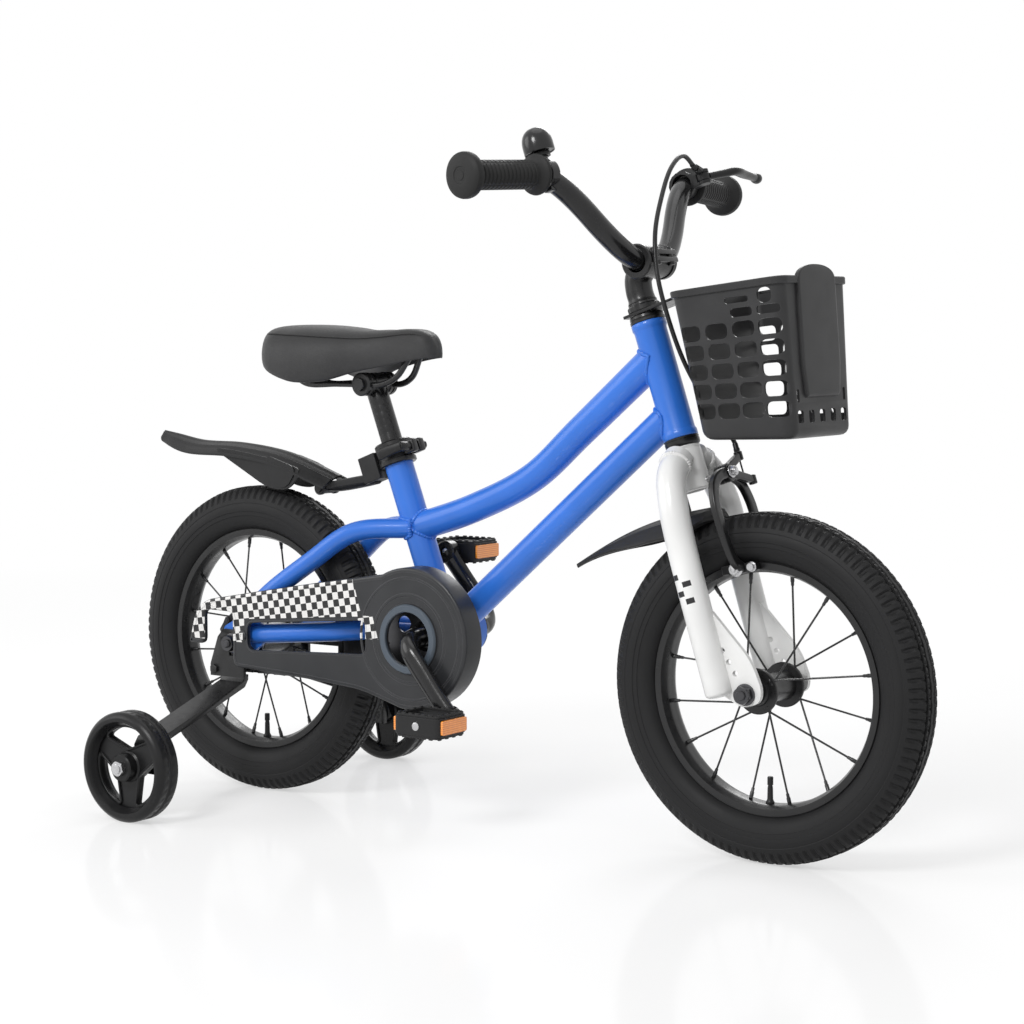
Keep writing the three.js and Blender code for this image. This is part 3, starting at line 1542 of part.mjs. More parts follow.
function headsetCup(edge, flange, way) {
  const start = edge + way * seatGap;
  return joined(
    sleeve(along(start), along(start + way * flange), steererBore, headsetFlangeRadius, roundFacets),
    sleeve(along(start + way * 0), along(edge - way * headsetSkirt), steererBore, cupSkirtRadius, roundFacets),
  );
}
const lowerCupBottom = headTubeBottom - seatGap - headsetFlange;
const upperCupTop = headTubeTop + seatGap + upperFlange;
addPiece(steering, 'lower_headset_cup', headsetCup(headTubeBottom, headsetFlange, -1), blackPaint);
addPiece(steering, 'upper_headset_cup', headsetCup(headTubeTop, upperFlange, 1), blackPaint);

const bracketBottom = upperCupTop + raceGap;
const locknutBottom = bracketBottom + bracketThickness + seatGap;
const steererTop = locknutBottom + locknutHeight;
const barHeight = steererTop + stemRise;

function forkLeg(side) {
  const path = [
    at(0, side * legRadius, crownBottom + crownHeight * 0.9),
    at(0, side * legSpread * 0.72, crownBottom + crownHeight * 0.45),
    at(0, side * legSpread * 0.95, crownBottom - crownHeight * 0.3),
    at(-forkRake * 0.1, side * legSpread, crownBottom - crownHeight * 1.3),
    at(-forkRake * 0.3, side * legSpread, legRadius * 0.6),
  ];
  const low = side * forkEndInner;
  const high = side * (forkEndInner + forkEndThickness);
  const r = legRadius;
  const plate = outline([
    [0.5 * r, 6.1 * r], [forkRake + 1.1 * r, 2 * r], [forkRake + 1.25 * r, 0], [forkRake + 0.85 * r, -0.8 * r],
    [forkRake - 0.5 * r, -0.85 * r], [-0.5 * r, 0.6 * r], [-0.5 * r, 4 * r],
  ]);
  const holes = [1.5, 2.35, 3.2].map((share) => circlePath(
    [forkRake * (1 - share / 5) + r * 0.1, share * r],
    r * 0.2,
    tinyFacets,
  ));
  holes.push(circlePath([forkRake, 0], axleRadius + seatGap * 1.4, smallFacets));
  plate.holes.push(...holes);
  return joined(
    taperedTube(path, [legRadius, legRadius, legRadius, legRadius * 0.94], tubeFacets),
    slab(plate, Math.min(low, high), Math.max(low, high)),
  );
}

function forkSolid() {
  const crownTop = lowerCupBottom - raceGap;
  const body = joined(
    rod(along(crownBottom), along(crownTop), crownRadius),
    rod(along(crownBottom + crownHeight / 2), along(steererTop), steererRadius),
    forkLeg(1),
    forkLeg(-1),
  );
  const hollow = bore(along(crownBottom), along(steererTop), steererRadius - steererWall);
  const boltHole = bore(
    along(brakePivotHeight, -crownRadius),
    along(brakePivotHeight, crownRadius),
    brakeBoltRadius + seatGap,
    tinyFacets,
  );
  return cut(body, hollow, boltHole);
}
addPiece(steering, 'fork', forkSolid(), white);
addPiece(
  steering,
  'headset_locknut',
  sleeve(along(locknutBottom), along(steererTop - seatGap), steererRadius + seatGap, locknutRadius, tubeFacets),
  blackPaint,
);
addPiece(
  bicycle,
  'front_axle',
  axleSolid(
    frontAxle,
    frontAxleEnd,
    [1, -1].map((side) => [
      side * (frontHubHalfWidth + runningGap),
      side * (forkEndInner - seatGap),
    ]),
    forkEndInner + forkEndThickness + seatGap,
  ),
  bareSteel,
);

// Stem and handlebar

function stemSolid() {
  const quillBottom = steererTop - quillLength;
  const columnBottom = steererTop + seatGap;
  const bend1 = barHeight - stemRadius * 0.9;
  const body = joined(
    rod(along(quillBottom), along(columnBottom + overrun), quillRadius),
    rod(along(columnBottom), along(bend1), stemRadius),
    tube([along(bend1 - stemRadius * 0.6), along(barHeight, barReach)], stemRadius, roundFacets),
    rod(at(barReach, -stemClampHalfWidth, barHeight), at(barReach, stemClampHalfWidth, barHeight), stemClampRadius),
  );
  const barHole = bore(
    at(barReach, -stemClampHalfWidth, barHeight),
    at(barReach, stemClampHalfWidth, barHeight),
    barRadius + seatGap,
  );
  const slit = block(
    at(barReach + stemClampRadius, 0, barHeight),
    at(stemClampRadius * 1.6, stemClampHalfWidth * 3, lugSlit),
  );
  return cut(body, barHole, slit);
}
addPiece(steering, 'stem', stemSolid(), blackPaint);

const barTop = barHeight + barRise;
const gripInner = barHalfWidth - gripLength;
const barTurn = gripInner - barStraight;
const barForward = barReach - barSweep * 0.45;
const barEnd = (side) => at(barForward - barSweep, side * barHalfWidth, barTop);
const barCorner = (side) => at(barForward, side * barTurn, barTop);

// A place on the straight end of the bar, measured along Y
function onBar(side, reach, forward = 0, rise = 0) {
  const share = (reach - barTurn) / (barHalfWidth - barTurn);
  return barCorner(side).lerp(barEnd(side), share).add(at(forward, 0, rise));
}

function handlebarSolid() {
  const low = (side) => at(barReach, side * barFlat, barHeight);
  const path = bend([barEnd(-1), barCorner(-1), low(-1), low(1), barCorner(1), barEnd(1)], barBend, 3);
  return tube(path, barRadius, tubeFacets);
}
addPiece(steering, 'handlebar', handlebarSolid(), blackPaint);

function gripSolid(side) {
  const end = barEnd(side);
  const away = end.clone().sub(barCorner(side)).normalize();
  const hole = barRadius + seatGap;
  return turned([
    [hole, -gripLength],
    [gripFlangeRadius, -gripLength],
    [gripFlangeRadius, gripCollar - gripLength],
    [gripRadius, gripCollar * 1.5 - gripLength],
    [gripRadius, -gripCollar * 2.4],
    [gripKnobRadius, -gripCollar * 1.4],
    [gripKnobRadius, 0],
    [gripKnobRadius * 0.8, gripWall],
    [0, gripWall],
    [0, seatGap],
    [hole, seatGap],
    [hole, -gripLength],
  ], end, away, hubFacets);
}
sides.forEach(([name, side]) => addPiece(steering, `grip_${name}`, gripSolid(side), gripRubber));

// Basket, leaning with its own rear wall, and the bracket that carries it

// A place on the basket, by its forward and side distance and its height up the rear wall
function onBasket(forward, side, rise) {
  return at(forward, side, rise).applyAxisAngle(acrossY, basketLean).add(at(basketReach, 0, basketFloor));
}

const basketColumnShares = [0.13, 0.38, 0.63, 0.87];
const basketCornerShares = [0, 0.5, 1];

function basketSize(rise) {
  const share = rise / basketHeight;
  return {
    depth: THREE.MathUtils.lerp(basketFloorDepth, basketTopDepth, share),
    drop: THREE.MathUtils.lerp(basketFloorDrop, basketTopDrop, share),
    half: THREE.MathUtils.lerp(basketFloorHalfWidth, basketTopHalfWidth, share),
  };
}

// A place by its share of the depth at a height; the floor and rim drop towards the front
function basketPoint(share, side, rise) {
  const { depth, drop } = basketSize(rise);
  return onBasket(share * depth, side, rise - share * drop);
}

// A level outline of the basket, grown or drawn in, with round corners
function basketRing(rise, growth) {
  const { depth, half } = basketSize(rise);
  const front = half * basketFrontShare + growth;
  const radius = basketCorner + growth;
  const corners = [[0, -1, 2], [1, -1, 3], [1, 1, 0], [0, 1, 1]];
  return corners.flatMap(([end, side, quarter]) => {
    const forward = end === 1 ? depth + growth - radius : radius - growth;
    const across = side * ((end === 1 ? front : half + growth) - radius);
    return basketCornerShares.map((turn) => {
      const angle = (quarter + turn) * (Math.PI / 2);
      const place = forward + radius * Math.cos(angle);
      return basketPoint(place / depth, across + radius * Math.sin(angle), rise);
    });
  });
}

// A cut straight through both sides of the basket
function basketWindow(share, rise, length, height, sides) {
  const middle = basketPoint(share, 0, rise);
  const shape = outline(polygon([0, 0], 1, sides, Math.PI / sides).map(([a, b]) => [
    middle.x + (a * length) / 2,
    middle.z + (b * height) / 2,
  ]));
  return slab(shape, -basketTopHalfWidth - overrun, basketTopHalfWidth + overrun);
}

function frontPanel(low, high, half, thickness, rearShare = 1) {
  const ring = (rise) => [[rearShare, -1], [1, -1], [1, 1], [rearShare, 1]].map(([share, side], i) => {
    const point = basketPoint(share, side * half, rise);
    return i === 1 || i === 2 ? point.add(at(thickness, 0, 0)) : point.add(at(-basketWall / 2, 0, 0));
  });
  return loft([ring(low), ring(high)]);
}

function basketSolid() {
  const lip = basketHeight - basketLip;
  const outer = joined(
    loft([basketRing(0, -basketEdge), basketRing(basketEdge, 0), basketRing(basketHeight, 0)]),
    loft([basketRing(lip, basketWall), basketRing(basketHeight, basketWall)]),
    frontPanel(-basketEdge * 0.2, basketHeight, basketPanel, basketWall * 1.5),
  );
  const inner = loft([
    basketRing(basketWall, -basketEdge - basketWall),
    basketRing(basketEdge + basketWall, -basketWall),
    basketRing(basketHeight + overrun, -basketWall),
  ]);
  const hump = frontPanel(basketHeight - basketLip, basketHeight + basketHump, basketPanel * 0.65, basketWall);
  const windows = basketColumnShares.flatMap((share) => (
    Array.from({ length: basketRows }, (_, row) => basketWindow(
      share,
      basketFirstRow + row * basketRowPitch,
      basketWindowLength,
      basketWindowHeight,
      tinyFacets,
    ))
  ));
  const bandRise = basketFirstRow + (basketRows - 0.35) * basketRowPitch;
  windows.push(basketWindow(0.6, bandRise, basketWindowLength * 1.1, basketLip, 4));
  windows.push(basketWindow(0.84, bandRise + basketLip, basketHole, basketHole, tinyFacets + 2));
  const drains = Array.from({ length: basketDrains }, (_, i) => {
    const side = (i - (basketDrains - 1) / 2) * (basketPanel * 2 / basketDrains);
    return block(basketPoint(1, side, basketFirstRow).add(at(0, 0, 0)), at(basketWall * 6, basketLip, basketLip * 1.3));
  });
  return cut(joined(outer.subtract(inner), hump), ...windows, ...drains, bracketSolid(seatGap));
}

// A strip clamped under the locknut, bent down behind the basket
function bracketSolid(growth) {
  const half = bracketHalfWidth + growth;
  const thin = bracketThickness / 2 + growth;
  const section = [[-half, -thin], [half, -thin], [half, thin], [-half, thin]];
  const back = -bracketThickness / 2 - seatGap - basketWall;
  const strip = sweep(bend([
    along(bracketBottom + bracketThickness / 2, -bracketHalfWidth - growth),
    at(
      onBasket(back, 0, basketHeight).x,
      0,
      bracketBottom + bracketThickness / 2,
    ),
    onBasket(back, 0, basketHeight * 0.5 - growth),
  ], bracketThickness * 2, 1), () => section);
  return strip;
}
const bracketHole = bore(
  along(bracketBottom - overrun),
  along(bracketBottom + bracketThickness + overrun),
  steererRadius + seatGap,
);
addPiece(steering, 'basket', basketSolid(), blackPlastic);
addPiece(steering, 'basket_bracket', bracketSolid(0).subtract(bracketHole), blackPaint);

// Front mudguard: a short straight blade behind the fork, held by the brake bolt
function frontMudguard() {
  const low = crownBottom - frontMudguardGap;
  const path = [0, 0.3, 0.6, 0.8, 1].map((share) => at(
    forkRake - share * frontMudguardLength,
    0,
    low - mudguardArch * 0.8 * share ** 1.5,
  ));
  const blade = sweep(path, (share) => archSection(frontMudguardHalfWidth * (1 - share / 8), mudguardArch * 0.8));
  const back = -crownRadius - seatGap;
  const half = mudguardTabWidth / 2;
  const tab = block(
    at(back - mudguardWall / 2, 0, (low + brakePivotHeight + half) / 2 - mudguardWall / 2),
    at(mudguardWall, mudguardTabWidth, brakePivotHeight + half - low + mudguardWall),
  );
  const hole = bore(
    along(brakePivotHeight, back - mudguardWall),
    along(brakePivotHeight, back),
    brakeBoltRadius + seatGap,
    tinyFacets,
  );
  return joined(blade, tab).subtract(hole);
}
addPiece(steering, 'front_mudguard', frontMudguard(), blackPlastic);

// Front brake: two arms on one bolt, and the cable to the left lever

const innerArm = brakeReach;
const outerArm = brakeReach + brakeArmThickness + brakeArmGap;
const brakeBoltStart = -crownRadius - seatGap * 2 - mudguardWall;
const brakeBoltEnd = outerArm + brakeArmThickness + seatGap;

function brakeBolt() {
  const point = (forward) => along(brakePivotHeight, forward);
  return joined(
    rod(point(brakeBoltStart - brakeNut), point(brakeBoltEnd + brakeNut), brakeBoltRadius, smallFacets),
    rod(point(brakeBoltStart - brakeNut), point(brakeBoltStart), brakeNutRadius, tinyFacets),
    rod(point(crownRadius + seatGap), point(innerArm - seatGap), brakeNutRadius, smallFacets),
    rod(point(brakeBoltEnd), point(brakeBoltEnd + brakeNut), brakeNutRadius, tinyFacets),
  );
}
addPiece(steering, 'brake_bolt', brakeBolt(), bareSteel);

const padRadius = rimFlangeRadius - padHeight / 2;
const padInner = rimHalfWidth + padGap;
const padForward = (innerArm + outerArm + brakeArmThickness) / 2;
const padAngle = Math.asin((padForward - forkRake) / padRadius);
const padRise = padRadius * Math.cos(padAngle);

// Side 1 is the left arm
function brakeArm(side, start, lobe) {
  const middle = start + brakeArmThickness / 2;
  const path = [
    at(middle, 0, brakePivotHeight),
    at(middle, side * brakeSpan * 0.76, brakePivotHeight - brakeArmWidth),
    at(middle, side * brakeSpan, brakePivotHeight - brakeSpan * 1.2),
    at(middle, side * brakeSpan * 0.9, padRise + padHeight * 0.6),
    at(middle, side * (padInner + padThickness), padRise),
  ];
  const thin = brakeArmThickness / 2;
  const wide = brakeArmWidth / 2;
  const section = [[-thin, -wide], [thin, -wide], [thin, wide], [-thin, wide]];
  const pad = sweep([-1, 1].map((end) => at(
    padForward + end * (padLength / 2) * Math.cos(padAngle),
    side * (padInner + padThickness / 2),
    padRise - end * (padLength / 2) * Math.sin(padAngle),
  )), () => [
    [-padThickness / 2, -padHeight / 2], [padThickness / 2, -padHeight / 2],
    [padThickness / 2, padHeight / 2], [-padThickness / 2, padHeight / 2],
  ]);
  const lobeArm = sweep([at(middle, 0, brakePivotHeight), lobe], () => section, alongX);
  const point = (forward) => along(brakePivotHeight, forward);
  const boss = rod(point(start), point(start + brakeArmThickness), brakeArmWidth, tubeFacets);
  const hole = bore(
    point(start),
    point(start + brakeArmThickness),
    brakeBoltRadius + runningGap,
    smallFacets,
  );
  const lobeEnd = rod(
    lobe.clone().add(at(0, 0, -barrelLength / 2)),
    lobe.clone().add(at(0, 0, barrelLength / 2)),
    barrelRadius,
    tinyFacets + 2,
  );
  const lobeHole = bore(
    lobe.clone().add(at(0, 0, -barrelLength / 2)),
    lobe.clone().add(at(0, 0, barrelLength / 2)),
    wireRadius + runningGap,
    tinyFacets,
  );
  return cut(joined(sweep(path, () => section, alongX), pad, boss, lobeArm, lobeEnd), hole, lobeHole);
}
const barrelPoint = at(innerArm + brakeArmThickness / 2, brakeSpan + overrun, brakePivotHeight + brakeSpan * 0.42);
const anchorPoint = at(outerArm + brakeArmThickness / 2, brakeSpan + overrun, brakePivotHeight - brakeArmWidth);
addPiece(steering, 'brake_arm_left', brakeArm(1, innerArm, barrelPoint), blackPaint);
addPiece(steering, 'brake_arm_right', brakeArm(-1, outerArm, anchorPoint), blackPaint);

// Brake lever on the left of the bar
const leverY = gripInner - leverMountWidth * 0.8;
const leverPivot = onBar(1, leverY, leverPivotReach);
const clevisHalf = leverBladeThickness / 2 + seatGap;
const barrelWay = at(0.15, -1, 0.2).normalize();

function leverMount() {
  const low = onBar(1, leverY - leverMountWidth / 2);
  const high = onBar(1, leverY + leverMountWidth / 2);
  const band = rod(low, high, barRadius + seatGap + leverMountWall);
  const tall = clevisHalf + leverMountWall;
  const arm = block(
    leverPivot.clone().lerp(onBar(1, leverY), 0.4).add(at(0, 0, 0)),
    at(leverPivotReach * 0.9, leverMountWidth, tall * 2),
  );
  const pivotLow = leverPivot.clone().add(at(0, 0, -tall));
  const pivotHigh = leverPivot.clone().add(at(0, 0, tall));
  const eye = rod(pivotLow, pivotHigh, leverBossRadius, tubeFacets);
  const slot = rod(
    leverPivot.clone().add(at(0, 0, -clevisHalf)),
    leverPivot.clone().add(at(0, 0, clevisHalf)),
    leverBossRadius + runningGap * 2,
    tubeFacets,
  );
  const wideSlot = block(
    leverPivot.clone().add(at(leverBossRadius, leverBossRadius, 0)),
    at(leverBossRadius * 2.4, leverBossRadius * 3, clevisHalf * 2),
  );
  const pin = rod(pivotLow, pivotHigh, leverPinRadius, smallFacets);
  const barrel = rod(
    leverPivot.clone().addScaledVector(barrelWay, leverBossRadius * 0.6).add(at(0, 0, tall * 0.7)),
    leverPivot.clone().addScaledVector(barrelWay, leverBossRadius + barrelLength).add(at(0, 0, tall * 0.7)),
    barrelRadius,
    tinyFacets + 2,
  );
  const hole = bore(low, high, barRadius + seatGap);
  return joined(cut(joined(band, arm, eye, barrel), slot, wideSlot, hole), pin);
}
addPiece(steering, 'brake_lever_mount', leverMount(), blackPlastic);

function brakeLever() {
  const tip = onBar(1, barHalfWidth - gripCollar * 3, leverReach);
  const knee = onBar(1, leverY + leverLength, leverReach * 1.05);
  const path = smooth([leverPivot, knee, knee.clone().lerp(tip, 0.5), tip], 5);
  const blade = sweep(
    path,
    () => oval(leverBladeWidth / 2, leverBladeThickness / 2, tinyFacets + 2),
  );
  const low = leverPivot.clone().add(at(0, 0, -leverBladeThickness / 2));
  const high = leverPivot.clone().add(at(0, 0, leverBladeThickness / 2));
  const boss = rod(low, high, leverBossRadius, tubeFacets);
  return joined(blade, boss).subtract(bore(low, high, leverPinRadius + runningGap, smallFacets));
}
addPiece(steering, 'brake_lever', brakeLever(), blackPlastic);

// The cable runs from the lever round in front of the head tube to the brake
const cableRouteShares = [
  [1, 0.649, 1.03], [1.04, 0.382, 0.981], [1, 0.115, 0.868], [0.957, -0.107, 0.739], [0.87, -0.183, 0.61],
  [0.826, -0.183, 0.48], [0.826, -0.137, 0.319], [0.826, 0, 0.189], [0.783, 0.198, 0.099],
];

function brakeCable() {
  const start = leverPivot.clone()
    .addScaledVector(barrelWay, leverBossRadius + barrelLength + seatGap * 3)
    .add(at(0, 0, (clevisHalf + leverMountWall) * 0.7));
  const end = barrelPoint.clone().add(at(0, 0, barrelLength / 2 + seatGap));
  const way = cableRouteShares.map(([forward, across, rise]) => at(
    forward * cableForward,
    across * leverY,
    THREE.MathUtils.lerp(end.z, start.z, rise),
  ));
  const route = [start, ...way, end.clone().add(at(0, 0, barrelLength)), end];
  const housing = tube(smooth(route, cableSteps), cableRadius, tinyFacets, alongX);
  const wire = rod(
    end.clone().add(at(0, 0, cableRadius)),
    at(barrelPoint.x, barrelPoint.y, anchorPoint.z + barrelLength),
    wireRadius,
    spokeFacets,
  );
  return joined(housing, wire);
}
addPiece(steering, 'brake_cable', brakeCable(), blackPlastic);

// Bell on the right of the bar
const bellPlace = gripInner - bellBandWidth;
const bellAt = (rise, forward = 0, side = 0) => onBar(-1, bellPlace, forward, rise).add(at(0, side, 0));
const leverRingLow = bellStandoff - bellLeverHeight - seatGap;

function bellSolid() {
  const band = rod(
    onBar(-1, bellPlace - bellBandWidth / 2),
    onBar(-1, bellPlace + bellBandWidth / 2),
    barRadius + seatGap + leverMountWall,
    tubeFacets,
  );
  const foot = rod(bellAt(barRadius + seatGap), bellAt(bellStandoff + overrun), bellBaseRadius, hubFacets);
  const dome = turned([
    [0, 0],
    [bellRadius, 0],
    [bellRadius, bellHeight * 0.5],
    [bellRadius * 0.86, bellHeight * 0.78],
    [bellRadius * 0.5, bellHeight * 0.95],
    [0, bellHeight],
  ], bellAt(bellStandoff), up, hubFacets);
  const hole = bore(
    onBar(-1, bellPlace - bellBandWidth / 2),
    onBar(-1, bellPlace + bellBandWidth / 2),
    barRadius + seatGap,
  );
  return joined(band, foot, dome).subtract(hole);
}
addPiece(steering, 'bell', bellSolid(), blackPlastic);

function bellLever() {
  const low = bellAt(leverRingLow);
  const high = bellAt(leverRingLow + bellLeverHeight);
  const ring = rod(low, high, bellBaseRadius + leverMountWall, hubFacets);
  const arm = block(
    bellAt(leverRingLow + bellLeverHeight / 2, -bellBaseRadius - bellLeverReach / 2, 0),
    at(bellLeverReach, bellBaseRadius, bellLeverHeight),
  );
  return joined(ring, arm).subtract(bore(low, high, bellBaseRadius + runningGap, hubFacets));
}
addPiece(steering, 'bell_lever', bellLever(), blackPlastic);

export default bicycle;
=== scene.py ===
import math

import bmesh
import bpy
from mathutils import Matrix, Vector
from mathutils.bvhtree import BVHTree


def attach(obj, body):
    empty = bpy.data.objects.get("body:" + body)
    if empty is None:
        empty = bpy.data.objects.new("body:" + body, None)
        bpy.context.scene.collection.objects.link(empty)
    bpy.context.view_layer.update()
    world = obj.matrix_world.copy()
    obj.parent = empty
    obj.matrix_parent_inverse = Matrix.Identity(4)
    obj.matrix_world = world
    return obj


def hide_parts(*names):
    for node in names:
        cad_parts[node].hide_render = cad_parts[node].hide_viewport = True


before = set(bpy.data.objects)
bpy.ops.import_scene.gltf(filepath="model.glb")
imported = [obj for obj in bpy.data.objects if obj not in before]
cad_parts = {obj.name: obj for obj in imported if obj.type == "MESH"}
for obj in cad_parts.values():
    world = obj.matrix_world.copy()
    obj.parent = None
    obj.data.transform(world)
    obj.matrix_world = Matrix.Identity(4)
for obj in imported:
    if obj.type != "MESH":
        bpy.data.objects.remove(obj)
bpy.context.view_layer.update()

# Lengths are in millimetres here and become metres as each piece is made
millimetre = 0.001
mergeReach = 0.003  # points nearer than this are one
scene = bpy.context.scene
acrossBike = Vector((0, 1, 0))
upwards = Vector((0, 0, 1))
sides = {"right": -1, "left": 1}

# Main places of the bike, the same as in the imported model
bike = {
    "wheelRadius": 177,
    "frontAxle": Vector((669, 0, 177)),
    "rearAxle": Vector((0, 0, 177)),
    "bottomBracket": Vector((266, 0, 203)),
    "headAngle": math.radians(18.7),
    "seatAngle": math.radians(20.5),
    "forkRake": 21,
}


def tilted(origin, angle, forward, across, up):
    return origin + Vector((
        forward * math.cos(angle) - up * math.sin(angle),
        across,
        forward * math.sin(angle) + up * math.cos(angle),
    ))


# A place given along the steering axis: forward of it, to the left, and up it
def onSteering(forward, across, up):
    angle = bike["headAngle"]
    rake = Vector((math.cos(angle), 0, math.sin(angle))) * bike["forkRake"]
    return tilted(bike["frontAxle"] - rake, angle, forward, across, up)


def onSeatTube(forward, across, up):
    return tilted(bike["bottomBracket"], bike["seatAngle"], forward, across, up)


steerWay = onSteering(0, 0, 1) - onSteering(0, 0, 0)
steerForward = onSteering(1, 0, 0) - onSteering(0, 0, 0)
steerAxes = (steerForward, acrossBike, steerWay)
tubeWay = onSeatTube(0, 0, 1) - onSeatTube(0, 0, 0)
tubeAxes = (tubeWay.cross(acrossBike) * -1, acrossBike, tubeWay)


def lerp(start, end, share):
    return start + (end - start) * share


def eased(share):
    share = min(max(share, 0), 1)
    return share * share * (3 - 2 * share)


# From 0 to 1 along a quarter circle, over the first part of a length
def roundedStart(share, part):
    return math.sqrt(max(0.0, 1 - (1 - min(share / part, 1)) ** 2))


# Places from start to end, each with its radii
def straight(start, end, *radii, steps=12):
    return [(*lerp(start, end, i / steps), *radii) for i in range(steps + 1)]


# A smooth curve through points of x, y, z and any radii after them
def smoothPath(points, steps=8):
    points = [Vector(point) for point in points]
    ends = [2 * points[0] - points[1], *points, 2 * points[-1] - points[-2]]
    path = []
    for four in zip(ends, ends[1:], ends[2:], ends[3:]):
        knots = [0]
        for start, end in zip(four, four[1:]):
            knots.append(knots[-1] + max((end.to_3d() - start.to_3d()).length, 0.001) ** 0.5)
        for step in range(steps):
            at = lerp(knots[1], knots[2], step / steps)
            row = four
            for width in (1, 2):
                row = [
                    lerp(row[i], row[i + 1], (at - knots[i]) / (knots[i + width] - knots[i]))
                    for i in range(4 - width)
                ]
            path.append(lerp(*row, step / steps))
    return [*path, points[-1]]


def circle(count, radius=1):
    turns = [2 * math.pi * i / count for i in range(count)]
    return [(radius * math.cos(turn), radius * math.sin(turn)) for turn in turns]


def shifted(loop, u, v):
    return [(x + u, y + v) for x, y in loop]


# Corners of an outline rounded to a radius, or to one radius for each corner
def rounded(corners, radius, steps=6):
    shape = []
    corners = [Vector(corner) for corner in corners]
    for i, corner in enumerate(corners):
        reach = radius[i] if isinstance(radius, (list, tuple)) else radius
        back, ahead = corners[i - 1] - corner, corners[(i + 1) % len(corners)] - corner
        reach = min(reach, back.length * 0.48, ahead.length * 0.48)
        if reach <= 0:
            shape.append(tuple(corner))
            continue
        start, end = corner + back.normalized() * reach, corner + ahead.normalized() * reach
        for step in range(steps + 1):
            share = step / steps
            bend = lerp(lerp(start, corner, share), lerp(corner, end, share), share)
            shape.append(tuple(bend))
    return shape


def rectangle(left, right, low, high, radius, steps=6):
    return rounded([(left, low), (right, low), (right, high), (left, high)], radius, steps)


# A closed loop moved inwards
def shrunk(loop, inset):
    places = [Vector(point) for point in loop]
    area = sum(a.x * b.y - b.x * a.y for a, b in zip(places, places[1:] + places[:1]))
    turn = math.copysign(1, area)
    result = []
    for i, place in enumerate(places):
        along = (places[(i + 1) % len(places)] - places[i - 1]).normalized()
        result.append(tuple(place + Vector((-along.y, along.x)) * inset * turn))
    return result


# Rings of the same number of points, joined one to the next
def loft(work, rings, joinEnds=False, openRings=False):
    made = [[work.verts.new(point) for point in ring] for ring in rings]
    count = len(made[0])
    pairs = list(zip(made, made[1:])) + ([(made[-1], made[0])] if joinEnds else [])
    for low, high in pairs:
        for i in range(count - 1 if openRings else count):
            j = (i + 1) % count
            work.faces.new((low[i], low[j], high[j], high[i]))
    if not joinEnds:
        work.faces.new(list(reversed(made[0])))
        work.faces.new(made[-1])
    return work


# A tube along a path of x, y, z, radius and perhaps a second radius towards up
def sweep(work, path, count=24, up=None, ring=None, joinEnds=False):
    places = [Vector(point[:3]) for point in path]
    ring = ring or circle(count)
    rings, lift = [], up
    for i, place in enumerate(places):
        ahead = places[(i + 1) % len(places)] if joinEnds else places[min(i + 1, len(places) - 1)]
        behind = places[i - 1] if joinEnds or i else places[0]
        way = (ahead - behind).normalized()
        if lift is None:
            lift = way.orthogonal()
        side = way.cross(up if up is not None else lift).normalized()
        lift = side.cross(way).normalized()
        wide, high = path[i][3], path[i][-1]
        rings.append([place + side * u * wide + lift * v * high for u, v in ring])
    return loft(work, rings, joinEnds)


# Half a profile of radius and reach, run on into its mirror image
def mirrored(profile):
    return [*profile, *((radius, -reach) for radius, reach in reversed(profile) if reach)]


# A profile of radius and reach turned about an axis
def lathe(work, profile, origin, axis=acrossBike, count=48, joinEnds=True, shape=None):
    axis = Vector(axis).normalized()
    first = axis.orthogonal().normalized() if abs(axis.y) < 0.99 else Vector((0, 0, 1))
    second = axis.cross(first)
    rings = []
    for turn in range(count):
        angle = 2 * math.pi * turn / count
        way = first * math.cos(angle) + second * math.sin(angle)
        points = [shape(radius, reach, turn) if shape else (radius, reach) for radius, reach in profile]
        rings.append([origin + way * radius + axis * reach for radius, reach in points])
    return loft(work, rings, joinEnds=True, openRings=not joinEnds)


# A turned ring with its outer corners cut
def collar(work, inner, outer, half, edge, origin, axis=acrossBike, count=48):
    profile = mirrored([(inner, -half), (outer - edge, -half), (outer, edge - half)])
    return lathe(work, profile, origin, axis, count)


# A solid turned part: its profile runs from the axis, out and back to it
def turnedRod(work, profile, origin, axis=acrossBike, count=32):
    ends = (0.001, profile[0][1]), (0.001, profile[-1][1])
    return lathe(work, [ends[0], *profile, ends[1]], origin, axis, count, False)


# Places for a plate that stands along the bike, with its thickness across
def standing(middle=Vector((0, 0, 0)), side=1):
    return lambda u, v, w: (middle.x + u, middle.y + side * w, middle.z + v)


# A flat sheet cut to an outline, with holes, whose place function gives x, y, z
def plate(work, corners, holes, place, low, high):
    edges = []
    for loop in [corners, *holes]:
        made = [work.verts.new(place(u, v, low)) for u, v in loop]
        edges += [work.edges.new(pair) for pair in zip(made, made[1:] + made[:1])]
    filled = bmesh.ops.triangle_fill(work, use_beauty=True, edges=edges)
    faces = [item for item in filled["geom"] if isinstance(item, bmesh.types.BMFace)]
    raised = bmesh.ops.extrude_face_region(work, geom=faces)
    moved = [item for item in raised["geom"] if isinstance(item, bmesh.types.BMVert)]
    bmesh.ops.translate(work, vec=Vector(place(0, 0, high)) - Vector(place(0, 0, low)), verts=moved)
    bmesh.ops.dissolve_limit(
        work,
        angle_limit=math.radians(0.2),
        verts=list({vert for face in faces for vert in face.verts} | set(moved)),
        edges=list({edge for face in faces for edge in face.edges}),
    )
    return work


# A raised border along a loop: its section gives insets and reaches, perhaps changing along it
def border(work, loop, section, place):
    insets = {inset: shrunk(loop, inset) for inset, _ in section(0)}
    return loft(work, [
        [place(*insets[inset][i], reach) for inset, reach in section(u)] for i, (u, _) in enumerate(loop)
    ], joinEnds=True)


